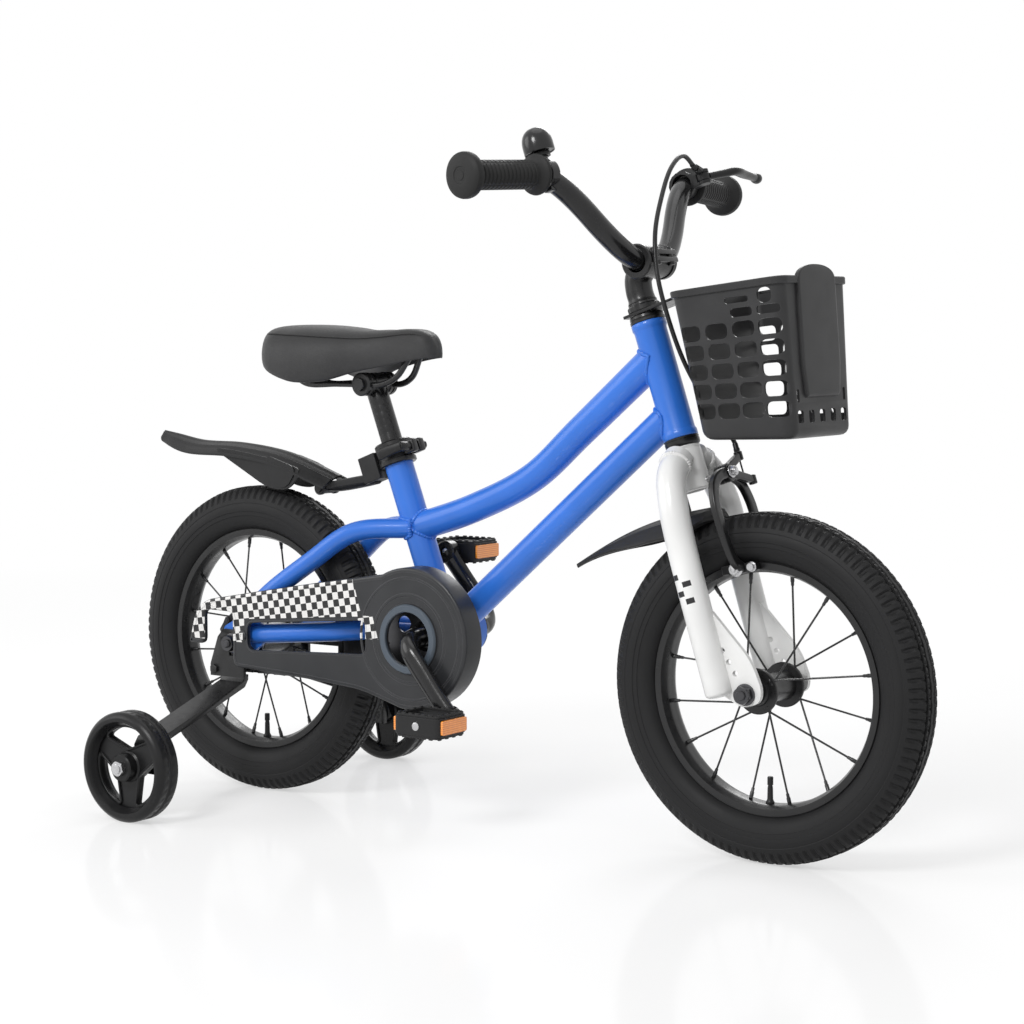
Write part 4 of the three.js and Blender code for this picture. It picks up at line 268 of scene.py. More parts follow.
# One worked mesh taken into another
def absorb(work, part):
    mesh = bpy.data.meshes.new("part")
    part.to_mesh(mesh)
    part.free()
    work.from_mesh(mesh)
    bpy.data.meshes.remove(mesh)


# A box with softened edges, its three axes given as directions
def softBox(work, middle, size, edge, axes=None):
    turn = Matrix(axes).transposed() if axes else Matrix.Identity(3)
    box = bmesh.new()
    bmesh.ops.create_cube(box, size=1)
    bmesh.ops.scale(box, vec=size, verts=box.verts)
    bmesh.ops.bevel(
        box, geom=box.edges, offset=edge, segments=3, profile=0.5, affect="EDGES", clamp_overlap=True,
    )
    bmesh.ops.transform(box, matrix=Matrix.Translation(middle) @ turn.to_4x4(), verts=box.verts)
    absorb(work, box)


# A rod with rounded ends between two places
def softRod(work, start, end, radius, edge=0.6, count=20):
    way = Vector(end) - Vector(start)
    edge = min(edge, radius * 0.8, way.length * 0.4)
    corner = [(radius - edge, 0), (radius - edge * 0.3, edge * 0.3), (radius, edge)]
    back = [(wide, way.length - reach) for wide, reach in reversed(corner)]
    return turnedRod(work, [*corner, *back], Vector(start), way, count)


# A six-sided nut with chamfered corners and perhaps a washer under it
def hexNut(work, start, way, radius, thickness, washer=0, washerThickness=1.4):
    way = Vector(way).normalized()
    start = Vector(start)
    if washer:
        softRod(work, start, start + way * washerThickness, washer, 0.3, 28)
        start = start + way * washerThickness
    flats = radius * math.cos(math.pi / 6)
    first = way.orthogonal().normalized()
    second = way.cross(first)
    rings = []
    for rise, share in ((0, 0.92), (0.12, 0.985), (0.84, 0.985), (1, 0.9)):
        ring = []
        for u, v in circle(36):
            inSide = (math.atan2(v, u) % (math.pi / 3)) - math.pi / 6
            reach = min(flats / math.cos(inSide), radius * share)
            ring.append(start + way * thickness * rise + (first * u + second * v) * reach)
        rings.append(ring)
    return loft(work, rings)


# The worked mesh becomes a piece that rides on a body and stands for a CAD node
def addPiece(name, work, body, finish, stands="", sharp=35, edge=0, segments=2, smooth=0):
    bmesh.ops.remove_doubles(work, verts=work.verts, dist=mergeReach)
    bmesh.ops.scale(work, vec=(millimetre,) * 3, verts=work.verts)
    piece = looseObject(name, work)
    piece.data.materials.append(finishes[finish].owner)
    piece.data.shade_smooth()
    if smooth:
        rounding = piece.modifiers.new("smooth", "SUBSURF")
        rounding.levels = rounding.render_levels = smooth
    elif edge:
        bevel = piece.modifiers.new("edges", "BEVEL")
        bevel.width = edge * millimetre
        bevel.segments = segments
        bevel.limit_method = "ANGLE"
        bevel.angle_limit = math.radians(32)
        bevel.harden_normals = True
        bevel.use_clamp_overlap = True
    else:
        piece.data.set_sharp_from_angle(angle=math.radians(sharp))
    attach(piece, body)
    if stands:
        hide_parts(stands)
    return piece


# A bare object made from a worked mesh
def looseObject(name, work):
    bmesh.ops.recalc_face_normals(work, faces=work.faces)
    mesh = bpy.data.meshes.new(name)
    work.to_mesh(mesh)
    work.free()
    thing = bpy.data.objects.new(name, mesh)
    scene.collection.objects.link(thing)
    return thing


# The tool cut from the work: the result is a worked mesh again and both objects are gone
def carved(work, tool):
    body, cutter = looseObject("body", work), looseObject("tool", tool)
    cut = body.modifiers.new("cut", "BOOLEAN")
    cut.solver = "EXACT"
    cut.object = cutter
    seen = bpy.context.evaluated_depsgraph_get()
    result = bmesh.new()
    result.from_mesh(body.evaluated_get(seen).to_mesh())
    for thing in (body, cutter):
        mesh = thing.data
        bpy.data.objects.remove(thing)
        bpy.data.meshes.remove(mesh)
    return result


# A CAD node's own mesh with softened edges: for small parts whose shape is right already
def refined(node, name, body, finish, edge, segments=2):
    work = bmesh.new()
    work.from_mesh(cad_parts[node].data)
    bmesh.ops.remove_doubles(work, verts=work.verts, dist=1e-6)
    bmesh.ops.dissolve_limit(work, angle_limit=math.radians(1), verts=work.verts, edges=work.edges)
    bmesh.ops.scale(work, vec=(1000,) * 3, verts=work.verts)
    addPiece(name, work, body, finish, node, edge=edge, segments=segments)


# Wraps a node's socket, so that a sum on it adds its Math node
class Wire:
    def __init__(self, paint, socket):
        self.paint = paint
        self.socket = socket

    def math(self, operation, *values):
        return self.paint.node("ShaderNodeMath", {"operation": operation}, dict(enumerate(values)))[0]

    def __add__(self, other):
        return self.math("ADD", self, other)

    def __radd__(self, other):
        return self.math("ADD", other, self)

    def __sub__(self, other):
        return self.math("SUBTRACT", self, other)

    def __rsub__(self, other):
        return self.math("SUBTRACT", other, self)

    def __mul__(self, other):
        return self.math("MULTIPLY", self, other)

    def __rmul__(self, other):
        return self.math("MULTIPLY", other, self)

    def __truediv__(self, other):
        return self.math("DIVIDE", self, other)

    def __rtruediv__(self, other):
        return self.math("DIVIDE", other, self)

    def __lt__(self, other):
        return self.math("LESS_THAN", self, other)

    def __gt__(self, other):
        return self.math("GREATER_THAN", self, other)

    def __mod__(self, other):
        return self.math("FLOORED_MODULO", self, other)

    def __abs__(self):
        return self.math("ABSOLUTE", self)


# The nodes of a material or a world: node() adds any node, and the named looks build on it
class Paint:
    def __init__(self, owner):
        owner.use_nodes = True
        self.owner = owner
        self.tree = owner.node_tree
        self.shader = self.tree.nodes.get("Principled BSDF")
        if self.shader:
            self.place = self.node("ShaderNodeTexCoord")["Object"]

    def node(self, kind, settings=None, values=None):
        made = self.tree.nodes.new(kind)
        for name, value in (settings or {}).items():
            setattr(made, name, value)
        for name, value in (values or {}).items():
            self.feed(made.inputs[name], value)
        return {
            **{i: Wire(self, socket) for i, socket in enumerate(made.outputs)},
            **{socket.name: Wire(self, socket) for socket in made.outputs if socket.enabled},
        }

    def feed(self, socket, value):
        if isinstance(value, Wire):
            self.tree.links.new(value.socket, socket)
        elif socket.type == "RGBA":
            socket.default_value = (*value, 1)
        else:
            socket.default_value = value

    def set(self, **values):
        for name, value in values.items():
            label = {"SpecularIORLevel": "Specular IOR Level"}.get(name) or "".join(
                " " + letter if letter.isupper() and i else letter for i, letter in enumerate(name)
            )
            self.feed(self.shader.inputs[label], value)
        return self

    def noise(self, size, detail=3, rough=0.5, stretch=None):
        place = self.place
        if stretch:
            place = self.node("ShaderNodeMapping", {}, {"Vector": place, "Scale": stretch})["Vector"]
        values = {"Vector": place, "Scale": 1000 / size, "Detail": detail, "Roughness": rough}
        return self.node("ShaderNodeTexNoise", {}, values)[0]

    def cells(self, size, feature="F1"):
        values = {"Vector": self.place, "Scale": 1000 / size}
        return self.node("ShaderNodeTexVoronoi", {"feature": feature}, values)["Distance"]

    def spread(self, value, low, high, start=0.3, end=0.7):
        values = {"Value": value, "From Min": start, "From Max": end, "To Min": low, "To Max": high}
        return self.node("ShaderNodeMapRange", {}, values)["Result"]

    def blend(self, share, first, second):
        # the colour sockets of a Mix node are its inputs 6 and 7 and its output 2
        return self.node("ShaderNodeMix", {"data_type": "RGBA"}, {0: share, 6: first, 7: second})[2]

    def clouded(self, cloud, color, low, high):
        return self.blend(cloud, shade(color, low), shade(color, high))

    def bump(self, height, depth, strength):
        values = {"Height": height, "Distance": depth * millimetre, "Strength": strength}
        return self.node("ShaderNodeBump", {}, values)["Normal"]

    def axes(self):
        parts = self.node("ShaderNodeSeparateXYZ", {}, {"Vector": self.place})
        return parts["X"] * 1000, parts["Y"] * 1000, parts["Z"] * 1000

    def edges(self, radius):
        # 1 on worn outer corners, from the bevelled normal against the plain one
        bevel = self.node("ShaderNodeBevel", {"samples": 4}, {"Radius": radius * millimetre})["Normal"]
        plain = self.node("ShaderNodeNewGeometry")["Normal"]
        dot = self.node("ShaderNodeVectorMath", {"operation": "DOT_PRODUCT"}, {0: bevel, 1: plain})["Value"]
        return self.spread(dot, 1, 0, 0.86, 0.99)

    def seenRay(self):
        path = self.node("ShaderNodeLightPath")
        return path["Is Camera Ray"] + path["Is Glossy Ray"] + path["Is Transmission Ray"]


def newPaint(name):
    return Paint(bpy.data.materials.new(name))


def shade(color, share):
    return tuple(min(channel * share, 1) for channel in color)


# Enamel: deep colour under a clear coat, faint orange peel, a few hairline rubs
enamelLook = {
    "blue": (0.03, 0.165, 0.65),
    "white": (0.83, 0.83, 0.82),
    "rough": (0.28, 0.4),
    "peelSize": 2.4,
    "peelDepth": 0.008,
    "coatRough": 0.09,
    "coat": 0.3,
    "shine": 0.3,
}


def enamelPaint(name, color, coat=enamelLook["coat"]):
    paint = newPaint(name)
    cloud = paint.noise(90, 2)
    peel = paint.noise(enamelLook["peelSize"], 1)
    rubs = paint.noise(1.6, 4, 0.7, stretch=(0.12, 1, 0.12))
    return paint.set(
        BaseColor=paint.clouded(paint.spread(cloud, 0, 1), color, 0.9, 1.08),
        Roughness=paint.spread(rubs, *enamelLook["rough"]),
        CoatWeight=paint.spread(cloud, coat * 0.9, coat),
        CoatRoughness=enamelLook["coatRough"],
        SpecularIORLevel=enamelLook["shine"],
        Normal=paint.bump(peel, enamelLook["peelDepth"], 0.5),
    )


blackLook = {
    "shine": 0.22,
    "paint": (0.009, 0.009, 0.0095),
    "plastic": (0.018, 0.018, 0.0185),
    "rubber": (0.011, 0.011, 0.0115),
    "grip": (0.018, 0.018, 0.018),
    "cover": (0.024, 0.024, 0.0245),
}


# Satin black on metal, with a soft coat and slight variation
def satinPaint(name, color=blackLook["paint"], rough=(0.26, 0.4)):
    paint = newPaint(name)
    cloud = paint.noise(40)
    return paint.set(
        BaseColor=paint.clouded(cloud, color, 0.8, 1.35),
        Roughness=paint.spread(paint.noise(6), *rough),
        CoatWeight=paint.spread(cloud, 0.08, 0.16),
        CoatRoughness=0.12,
        SpecularIORLevel=blackLook["shine"] * 1.6,
        Normal=paint.bump(paint.noise(0.9, 2), 0.012, 0.6),
    )


# Moulded plastic: tiny spark-eroded pits, lighter where handled
def mouldedPlastic(name, color=blackLook["plastic"], rough=(0.36, 0.52), depth=0.05):
    paint = newPaint(name)
    cloud = paint.noise(30)
    rub = paint.edges(0.9)
    return paint.set(
        BaseColor=paint.blend(rub * 0.35, paint.clouded(cloud, color, 0.78, 1.25), shade(color, 2.4)),
        Roughness=paint.spread(cloud, *rough) - rub * 0.06,
        SpecularIORLevel=blackLook["shine"],
        Normal=paint.bump(paint.cells(0.9), depth, 0.55),
    )


def rubber(name, color=blackLook["rubber"], rough=(0.5, 0.68), dust=0.25):
    paint = newPaint(name)
    cloud = paint.noise(55, 4)
    return paint.set(
        BaseColor=paint.clouded(paint.spread(cloud, 0, dust), color, 0.9, 2.4),
        Roughness=paint.spread(cloud, *rough),
        SpecularIORLevel=blackLook["shine"],
        Normal=paint.bump(paint.noise(1.1, 4, 0.6), 0.06, 0.5),
    )


# Bright plated steel with fine turning lines
def platedSteel(name, color=(0.55, 0.55, 0.56), rough=(0.2, 0.38)):
    paint = newPaint(name)
    lines = paint.noise(0.8, 3, 0.7, stretch=(1, 0.06, 1))
    return paint.set(
        BaseColor=paint.clouded(paint.noise(18, 4), color, 0.72, 1.1),
        Metallic=1.0,
        Roughness=paint.spread(lines, *rough),
        Normal=paint.bump(lines, 0.012, 0.6),
    )


finishes = {
    "blue": enamelPaint("blueEnamel", enamelLook["blue"]),
    "satin": satinPaint("satinBlack"),
    "gloss": satinPaint("glossBlackTube", rough=(0.16, 0.27)),
    "spoke": satinPaint("blackSpokes", (0.02, 0.02, 0.021), (0.2, 0.32)),
    "plastic": mouldedPlastic("mouldedPlastic"),
    "smoothPlastic": mouldedPlastic("smoothPlastic", rough=(0.28, 0.4), depth=0.02),
    "trainer": mouldedPlastic("trainerPlastic", (0.012, 0.012, 0.0125), (0.26, 0.38), 0.03),
    "basket": mouldedPlastic("basketPlastic", (0.036, 0.036, 0.037), (0.32, 0.46), 0.035),
    "tyre": rubber("tyreRubber"),
    "grip": rubber("gripRubber", blackLook["grip"], (0.5, 0.62), 0.1),
    "steel": platedSteel("platedSteel"),
    "darkSteel": platedSteel("blackenedSteel", (0.09, 0.09, 0.095), (0.25, 0.4)),
}

print("finishes: painted metal, plastic, rubber and steel")

wheelLook = {
    "turns": 540,  # steps round a tyre, five to a tread block
    "grooveDepth": 2.0,
    "ribDepth": 0.5,
    "ribs": (157.7, 147.9, 142.9, 134.4),  # thin rings down the tyre's wall
    "tyreMiddle": 151,
    "spokes": 16,
    "spokeRadius": 1.05,
    "spokeLean": 0.12,
    "spokeEnd": 116.6,
    "flange": (27, 19.7),
    "nippleRadius": 2.1,
    "nippleLength": 11,
}
tyreHalf = [
    (177, 0), (177, 2.2), (177, 2.9), (176.8, 5.2), (176.6, 8.6), (176.1, 9.3), (175.3, 12.4),
    (173.6, 15.4), (171.4, 18.2), (170.2, 19.2), (166.8, 21.4), (165.6, 22.1), (162.5, 23.3), (158.5, 24.7),
    (157.7, 24.9), (155.4, 25.5), (151, 25.95), (148.6, 25.7), (147.9, 25.5), (143.6, 24.6), (142.9, 24.4),
    (138.6, 22.9), (134.4, 20.9), (131.4, 18.4), (129.4, 15.4), (128.2, 13.3), (123, 12.9), (122.4, 9),
    (135, 15), (151, 21.4), (166, 14), (172.4, 0),
]
rimHalf = [
    (118.4, 3), (118.5, 6), (121.6, 13), (122.2, 13.4), (127.5, 13.6), (127.5, 14.4), (127.1, 14.95),
    (126, 15), (121.6, 15), (120.4, 14.7), (118.6, 11.2), (117.2, 8.2), (116.8, 6.4), (116.8, 3),
    (116.8, 0),
]

# Hub shells differ: the front one is short and round, the rear one holds the brake drum
flange = [(22, -28.6), (23, -27.8), (23, -26.2), (22, -25.4)]
hubProfiles = {
    "front": mirrored([
        (4.95, -42), (11.2, -42), (12, -41.2), (12, -32), (14.2, -31.2), (15, -29), *flange,
        (15.4, -24.8), (14.6, -21), (14.3, 0),
    ]),
    "rear": [
        (5, -36.4), (16, -36.4), (17, -35.6), (17, -31), (18, -30), (19, -28.8),
        *mirrored([*flange, (19.4, -24.8), (18.6, -21), (18.3, 0)]),
        (21, 29.4), (21, 40.8), (20, 42), (5, 42),
    ],
}
valveProfile = [
    (4.6, 0), (4.6, 1.2), (3.7, 2.4), (3, 4.2), (2.8, 15), (2.6, 17), (2.3, 17.2), (2.3, 18.4), (3, 18.6),
    (3, 26), (2.5, 27),
]


# Tread: a centre rib, slanted blocks beside it and short lugs on each shoulder
def treadShape(radius, reach, turn):
    step, wide = turn % 5, abs(reach)
    if radius < 122.9 or wide < 21.5 and radius < 160:
        return radius, reach
    depth = 0
    if wide < 2.6:
        depth = 0 if turn // 5 % 2 else 0.25
    elif wide < 3.6 or 9 < wide < 9.6:
        depth = 1
    elif wide < 16 and radius > 170:
        depth = (turn + round(wide * 0.55)) % 5 == 0
    elif wide < 22.6 and radius > 164:
        depth = step in (2, 3)
    cut = depth * wheelLook["grooveDepth"]
    cut += wheelLook["ribDepth"] * any(abs(radius - at) < 0.5 for at in wheelLook["ribs"])
    outward = Vector((radius - wheelLook["tyreMiddle"], wide)).normalized()
    return radius - outward.x * cut, math.copysign(wide - outward.y * cut, reach)


def spokesMesh(middle):
    look = wheelLook
    work = bmesh.new()
    long, wide = look["nippleLength"], look["nippleRadius"]
    for i in range(look["spokes"]):
        side = -1 if i % 2 else 1
        lean = -look["spokeLean"] if i // 2 % 2 else look["spokeLean"]
        angle = (i + 0.5) / look["spokes"] * 2 * math.pi
        hub = angle + lean * 4
        reach, inner = look["flange"]
        start = middle + Vector((inner * math.sin(hub), side * reach, inner * math.cos(hub)))
        outer = look["spokeEnd"]
        end = middle + Vector((outer * math.sin(angle), side * look["spokeRadius"], outer * math.cos(angle)))
        way = (end - start).normalized()
        sweep(work, straight(start, end, look["spokeRadius"], steps=4), 10)
        nipple = [(wide * 0.6, 0), (wide * 0.8, 1), (wide * 0.8, 4), (wide, 5), (wide, long)]
        turnedRod(work, nipple, end - way * long, way, 12)
        turnedRod(work, [(1.2, 0), (2.2, 0.6), (2.2, 1.6), (1.3, 2.6)], start - way * 2.4, way, 12)
    return work


for end in ("front", "rear"):
    middle, body = bike[f"{end}Axle"], f"{end}_wheel"
    tyre = lathe(bmesh.new(), mirrored(tyreHalf), middle, count=wheelLook["turns"], shape=treadShape)
    addPiece(f"{end}TyreTreaded", tyre, body, "tyre", f"{end}_tyre", 28)
    rim = lathe(bmesh.new(), mirrored(rimHalf), middle, count=180)
    addPiece(f"{end}RimRolled", rim, body, "satin", f"{end}_rim", 30)
    hub = lathe(bmesh.new(), hubProfiles[end], middle, count=64)
    addPiece(f"{end}HubShell", hub, body, "satin", f"{end}_hub", 30)
    addPiece(f"{end}Spokes", spokesMesh(middle), body, "spoke", sharp=40)
    valve = turnedRod(bmesh.new(), valveProfile, middle - upwards * wheelLook["spokeEnd"], upwards, 24)
    addPiece(f"{end}ValveStem", valve, body, "smoothPlastic", f"{end}_valve", 30)
print("wheels: treaded tyres, rims, hubs, round spokes and valves")

# Axles: threaded rods with nuts and bearing cones
axleLook = {
    "radius": 4.6,
    "pitch": 1.1,
    "nut": (9.5, 8, 11),  # radius, thickness and washer
    "cone": 8.5,
    # half length, where the nuts start, what the cones span, and the body
    "front": (63.6, 51.3, [(-45.7, -42.3), (42.3, 45.7)], "steering"),
    "rear": (72.6, 59.1, [(-49.2, -40), (42.6, 43.7), (47.4, 49.2)], "frame"),
}
for end in ("front", "rear"):
    middle, radius = bike[f"{end}Axle"], axleLook["radius"]
    half, nutStart, cones, body = axleLook[end]
    thread, reach = [(radius - 1, -half)], -half
    while reach < half:
        thread += [(radius - 0.35, reach), (radius, reach + axleLook["pitch"] / 2)]
        reach += axleLook["pitch"]
    work = turnedRod(bmesh.new(), [*thread, (radius - 1, half)], middle, count=24)
    for side in (1, -1):
        hexNut(work, middle + acrossBike * side * nutStart, acrossBike * side, *axleLook["nut"])
    for low, high in cones:
        softRod(work, middle + acrossBike * low, middle + acrossBike * high, axleLook["cone"], 0.8, 28)
    addPiece(f"{end}AxleThreaded", work, body, "darkSteel", f"{end}_axle", 30)

# Blue frame: round tubes on smooth paths, with a weld bead where each one lands
frameLook = {
    "headTube": (268, 392, 17),  # from, to and radius
    "topTubeRise": (356, 121),  # up the head tube and up the seat tube
    "topTubeSag": 34.5,
    "topTubeRadii": (17.0, 15.7, 15.7),
    "downTubeRise": 295,
    "downTubeRadius": 16,
    "seatTubeRadius": 15.9,
    "seatTubeTop": 214,
    "shellHalf": 34,
    "shellRadius": 28,
    "stayRadius": 11,
    "chainStayWeld": 9.6,
    "weldRadius": 2.1,
    "weldRipples": 5,
    "dropout": (49.5, 54.5),  # its two faces
}
stayTip = [(2.5, 0.9), (4.6, 0.62), (5.6, 0.2)]


def steered(forward, across, up, *radii):
    return (*onSteering(forward, across, up), *radii)


# A path run on past its end by the tip's reaches, with shares of its last radius
def tipped(path, tip):
    end, before = Vector(path[-1][:3]), Vector(path[-2][:3])
    way = (end - before).normalized()
    return [*path, *((*(end + way * reach), path[-1][3] * share) for reach, share in tip)]


# A weld bead round a tube, where its wall meets the tube that carries it
def weldBead(work, path, radius, carrierStart, carrierEnd, carrierRadius, count=96):
    axis = (carrierEnd - carrierStart).normalized()
    points = [Vector(point[:3]) for point in path]
    way = (points[1] - points[0]).normalized()
    side = way.orthogonal().normalized()
    lift = way.cross(side)
    course = [lerp(start, end, step / 24) for start, end in zip(points, points[1:]) for step in range(24)]
    ripples = round(radius * frameLook["weldRipples"] / 2)

    def isOutside(place):
        off = place - carrierStart
        return (off - axis * off.dot(axis)).length >= carrierRadius

    ring = []
    for i, (u, v) in enumerate(circle(count)):
        wall = (side * u + lift * v) * radius
        found = next(place + wall for place in course if isOutside(place + wall))
        ripple = 1 + 0.18 * math.sin(i / count * 2 * math.pi * ripples)
        ring.append((*found, frameLook["weldRadius"] * ripple))
    sweep(work, ring, 10, joinEnds=True)


def topTubePath():
    look = frameLook
    start, seat = onSteering(0, 0, look["topTubeRise"][0]), onSeatTube(0, 0, look["topTubeRise"][1])
    first, second, last = look["topTubeRadii"]
    sag = upwards * look["topTubeSag"]
    rows = [
        (0, 0, first), (0.3, 0.62, lerp(first, second, 0.6)), (0.5, 1, second), (0.75, 0.66, last),
        (1, 0, last),
    ]
    path = [(*(lerp(start, seat, share) - sag * drop), radius) for share, drop, radius in rows]
    return smoothPath(path, 14)


def seatStayPath(side):
    seat = onSeatTube(0, 0, frameLook["topTubeRise"][1])
    rows = [
        (seat.x, 8.745, seat.z, 1), (seat.x - 66, 30.24, seat.z - 6.6, 1), (106.2, 42, 276.1, 1),
        (46, 52, 231.9, 1), (10.6, 52, 196.5, 0.9),
    ]
    return smoothPath([(x, side * y, z, frameLook["stayRadius"] * share) for x, y, z, share in rows], 12)


def chainStayPath(side):
    rows = [
        (266, 17, 203, 9.9), (205.6, 24.5, 203, 8.8), (162.4, 37, 200.8, 11), (125, 47, 197.5, 11),
        (22, 52, 188, 11),
    ]
    return smoothPath([(x, side * y, z, radius) for x, y, z, radius in rows], 12)


def frameMesh():
    look = frameLook
    low, high, radius = look["headTube"]
    bracket, half, wide = bike["bottomBracket"], look["shellHalf"], look["shellRadius"]
    seatRadius, long = look["seatTubeRadius"], look["seatTubeTop"]
    seatEnd = onSeatTube(0, 0, long)
    headHalf = (high - low) / 2
    tubes = [lathe(bmesh.new(), mirrored([
        (13.6, -headHalf), (17.6, -headHalf), (18.2, 0.8 - headHalf), (18.2, 6 - headHalf),
        (17.4, 7.4 - headHalf), (radius, 9 - headHalf),
    ]), onSteering(0, 0, (low + high) / 2), steerWay, 72)]
    downPath = straight(onSteering(0, 0, look["downTubeRise"]), bracket, look["downTubeRadius"])
    tubes += [sweep(bmesh.new(), topTubePath(), 48), sweep(bmesh.new(), downPath, 48)]
    tubes.append(lathe(bmesh.new(), [
        (13.4, 6), (seatRadius, 6), (seatRadius, long - 0.6), (seatRadius - 0.6, long), (13.4, long),
    ], bracket, tubeWay, 64))
    tubes.append(collar(bmesh.new(), 22, wide, half, 1, bracket, count=96))
    steerer = (onSteering(0, 0, low), onSteering(0, 0, high), radius)
    post = (bracket, seatEnd, seatRadius)
    shell = (bracket + acrossBike * half, bracket - acrossBike * half, wide)
    welds = [
        (topTubePath(), look["topTubeRadii"][0], steerer),
        (topTubePath()[::-1], look["topTubeRadii"][2], post),
        (downPath, look["downTubeRadius"], steerer),
        (downPath[::-1], look["downTubeRadius"], shell),
        (straight(bracket, seatEnd), seatRadius, shell),
    ]
    for side in sides.values():
        for path in (seatStayPath(side), chainStayPath(side)):
            tubes.append(sweep(bmesh.new(), tipped(path, stayTip), 36))
        tubes.append(dropoutPlate(side))
        welds.append((chainStayPath(side), look["chainStayWeld"], shell))
        welds.append((seatStayPath(side), look["stayRadius"], post))
    beads = bmesh.new()
    for path, width, carrier in welds:
        weldBead(beads, path, width, *carrier)
    total = bmesh.new()
    for part in (*tubes, beads):
        bmesh.ops.recalc_face_normals(part, faces=part.faces)
        absorb(total, part)
    return total


def dropoutPlate(side):
    outline = [
        (-16.5, -13.1), (26.4, -10.1), (44, 2.2), (44, 22), (17.6, 35.2), (-16.5, 17.2), (-16.5, 5.05),
        (2, 5.05), (5.05, 2), (5.05, -2), (2, -5.05), (-16.5, -5.05),
    ]
    corners = rounded(outline, (5, 6, 6, 6, 8, 5, 1, 1.5, 1.5, 1.5, 1.5, 1), 5)
    return plate(bmesh.new(), corners, [], standing(bike["rearAxle"], side), *frameLook["dropout"])


addPiece("frameTubes", frameMesh(), "frame", "blue", "frame", 40)

# Headset cups and the bottom bracket's cups
cupLook = {"bore": 13.2, "notchDepth": 1.6, "bracketCup": (26.4, 27)}
headsetCups = {
    "lower": (frameLook["headTube"][0], [
        (-9, 16.8), (-8.4, 17.6), (-7, 18.2), (-3.4, 18.3), (-3, 17.7), (-2.4, 17.7), (-2, 18.3),
        (-0.6, 18.3), (-0.2, 17.8),
    ]),
    "upper": (frameLook["headTube"][1], [
        (0.3, 17.8), (0.8, 18.3), (3.2, 18.3), (3.8, 17.4), (4.3, 17.4), (4.8, 17.9), (7.2, 17.6), (8, 16.8),
    ]),
}
for name, (rise, rows) in headsetCups.items():
    bore = cupLook["bore"]
    profile = [(bore, rows[0][0]), *((radius, reach) for reach, radius in rows), (bore, rows[-1][0])]
    work = lathe(bmesh.new(), profile, onSteering(0, 0, rise), steerWay, 72)
    addPiece(f"{name}HeadsetCup", work, "frame", "satin", f"{name}_headset_cup", 30)


def notchedCup(radius, reach, turn):
    inNotch = turn % 12 < 3 and radius > 26
    return (radius - cupLook["notchDepth"], reach) if inNotch else (radius, reach)


for name, side in sides.items():
    face, rim = cupLook["bracketCup"]
    rows = [(12.4, 34.3), (face, 34.3), (rim, 34.8), (rim, 35.8), (face, 36.3), (12.4, 36.3)]
    profile = [(radius, side * reach) for radius, reach in rows]
    work = lathe(bmesh.new(), profile, bike["bottomBracket"], count=96, shape=notchedCup)
    addPiece(f"bottomBracketCup.{name}", work, "frame", "satin", f"bottom_bracket_cup_{name}", 30)
print("frame: tubes, weld beads, dropouts and bearing cups")

driveLook = {
    "pitch": 12.7,
    "chainLine": 38,
    "frontRadius": 56.71,
    "rearRadius": 32.55,
    "rollerRadius": 3.7,
    "pinRadius": 1.7,
    "linkHeight": 8.2,
    "innerWidth": 4.2,
    "outerWidth": 6.2,
    "linkThickness": 0.8,
}


# The chain's pins: evenly round both sprockets and straight between them
def chainPins():
    look = driveLook
    front, rear = bike["bottomBracket"].xz, bike["rearAxle"].xz
    line = front - rear
    tilt = math.atan2(line.y, line.x)
    lean = math.acos((look["frontRadius"] - look["rearRadius"]) / line.length)
    run = line.length * math.sin(lean)
    arcs = [
        (front, look["frontRadius"], tilt + lean, 2 * (math.pi - lean)),
        (rear, look["rearRadius"], tilt - lean, 2 * lean),
    ]
    total = sum(radius * arc for _, radius, _, arc in arcs) + 2 * run

    def onArc(middle, radius, angle):
        return middle + Vector((math.cos(angle), math.sin(angle))) * radius

    def at(length):
        for (middle, radius, start, arc), (*following, _) in zip(arcs, arcs[::-1]):
            if length <= radius * arc:
                return onArc(middle, radius, start - length / radius)
            length -= radius * arc
            if length <= run:
                return lerp(onArc(middle, radius, start - arc), onArc(*following), length / run)
            length -= run

    count = round(total / look["pitch"] / 2) * 2
    return [at(total * i / count) for i in range(count)]


def linkPlate(work, start, end, reach, thickness, height):
    along = (end - start).normalized()
    over = Vector((-along.y, along.x))
    half = (end - start).length / 2
    middle = (start + end) / 2
    outline = []
    for u, v in circle(28):
        waist = 1 - 0.22 * max(0, 1 - abs(u) * 2.2)
        outline.append((math.copysign(half, u) * min(1, abs(u) * 6) + u * height / 2, v * height / 2 * waist))
    rings = []
    for low, long, high in ((0, 0.985, 0.94), (0.2, 1, 1), (0.8, 1, 1), (1, 0.985, 0.94)):
        places = [middle + along * u * long + over * v * high for u, v in outline]
        rings.append([(place.x, reach + thickness * low, place.y) for place in places])
    loft(work, rings)


def chainMesh():
    look = driveLook
    pins = chainPins()
    work = bmesh.new()
    line = -look["chainLine"]
    for i, pin in enumerate(pins):
        width = look["outerWidth"] if i % 2 else look["innerWidth"]
        for side in (-1, 1):
            reach = line + side * width / 2 - look["linkThickness"] / 2
            linkPlate(work, pin, pins[(i + 1) % len(pins)], reach, look["linkThickness"], look["linkHeight"])
        rods = ((3.8, look["pinRadius"], 0.4, 10), (1.8, look["rollerRadius"], 0.3, 14))
        for half, radius, edge, count in rods:
            softRod(work, (pin.x, line - half, pin.y), (pin.x, line + half, pin.y), radius, edge, count)
    return work


addPiece("chainLinks", chainMesh(), "frame", "darkSteel", "chain", 30)

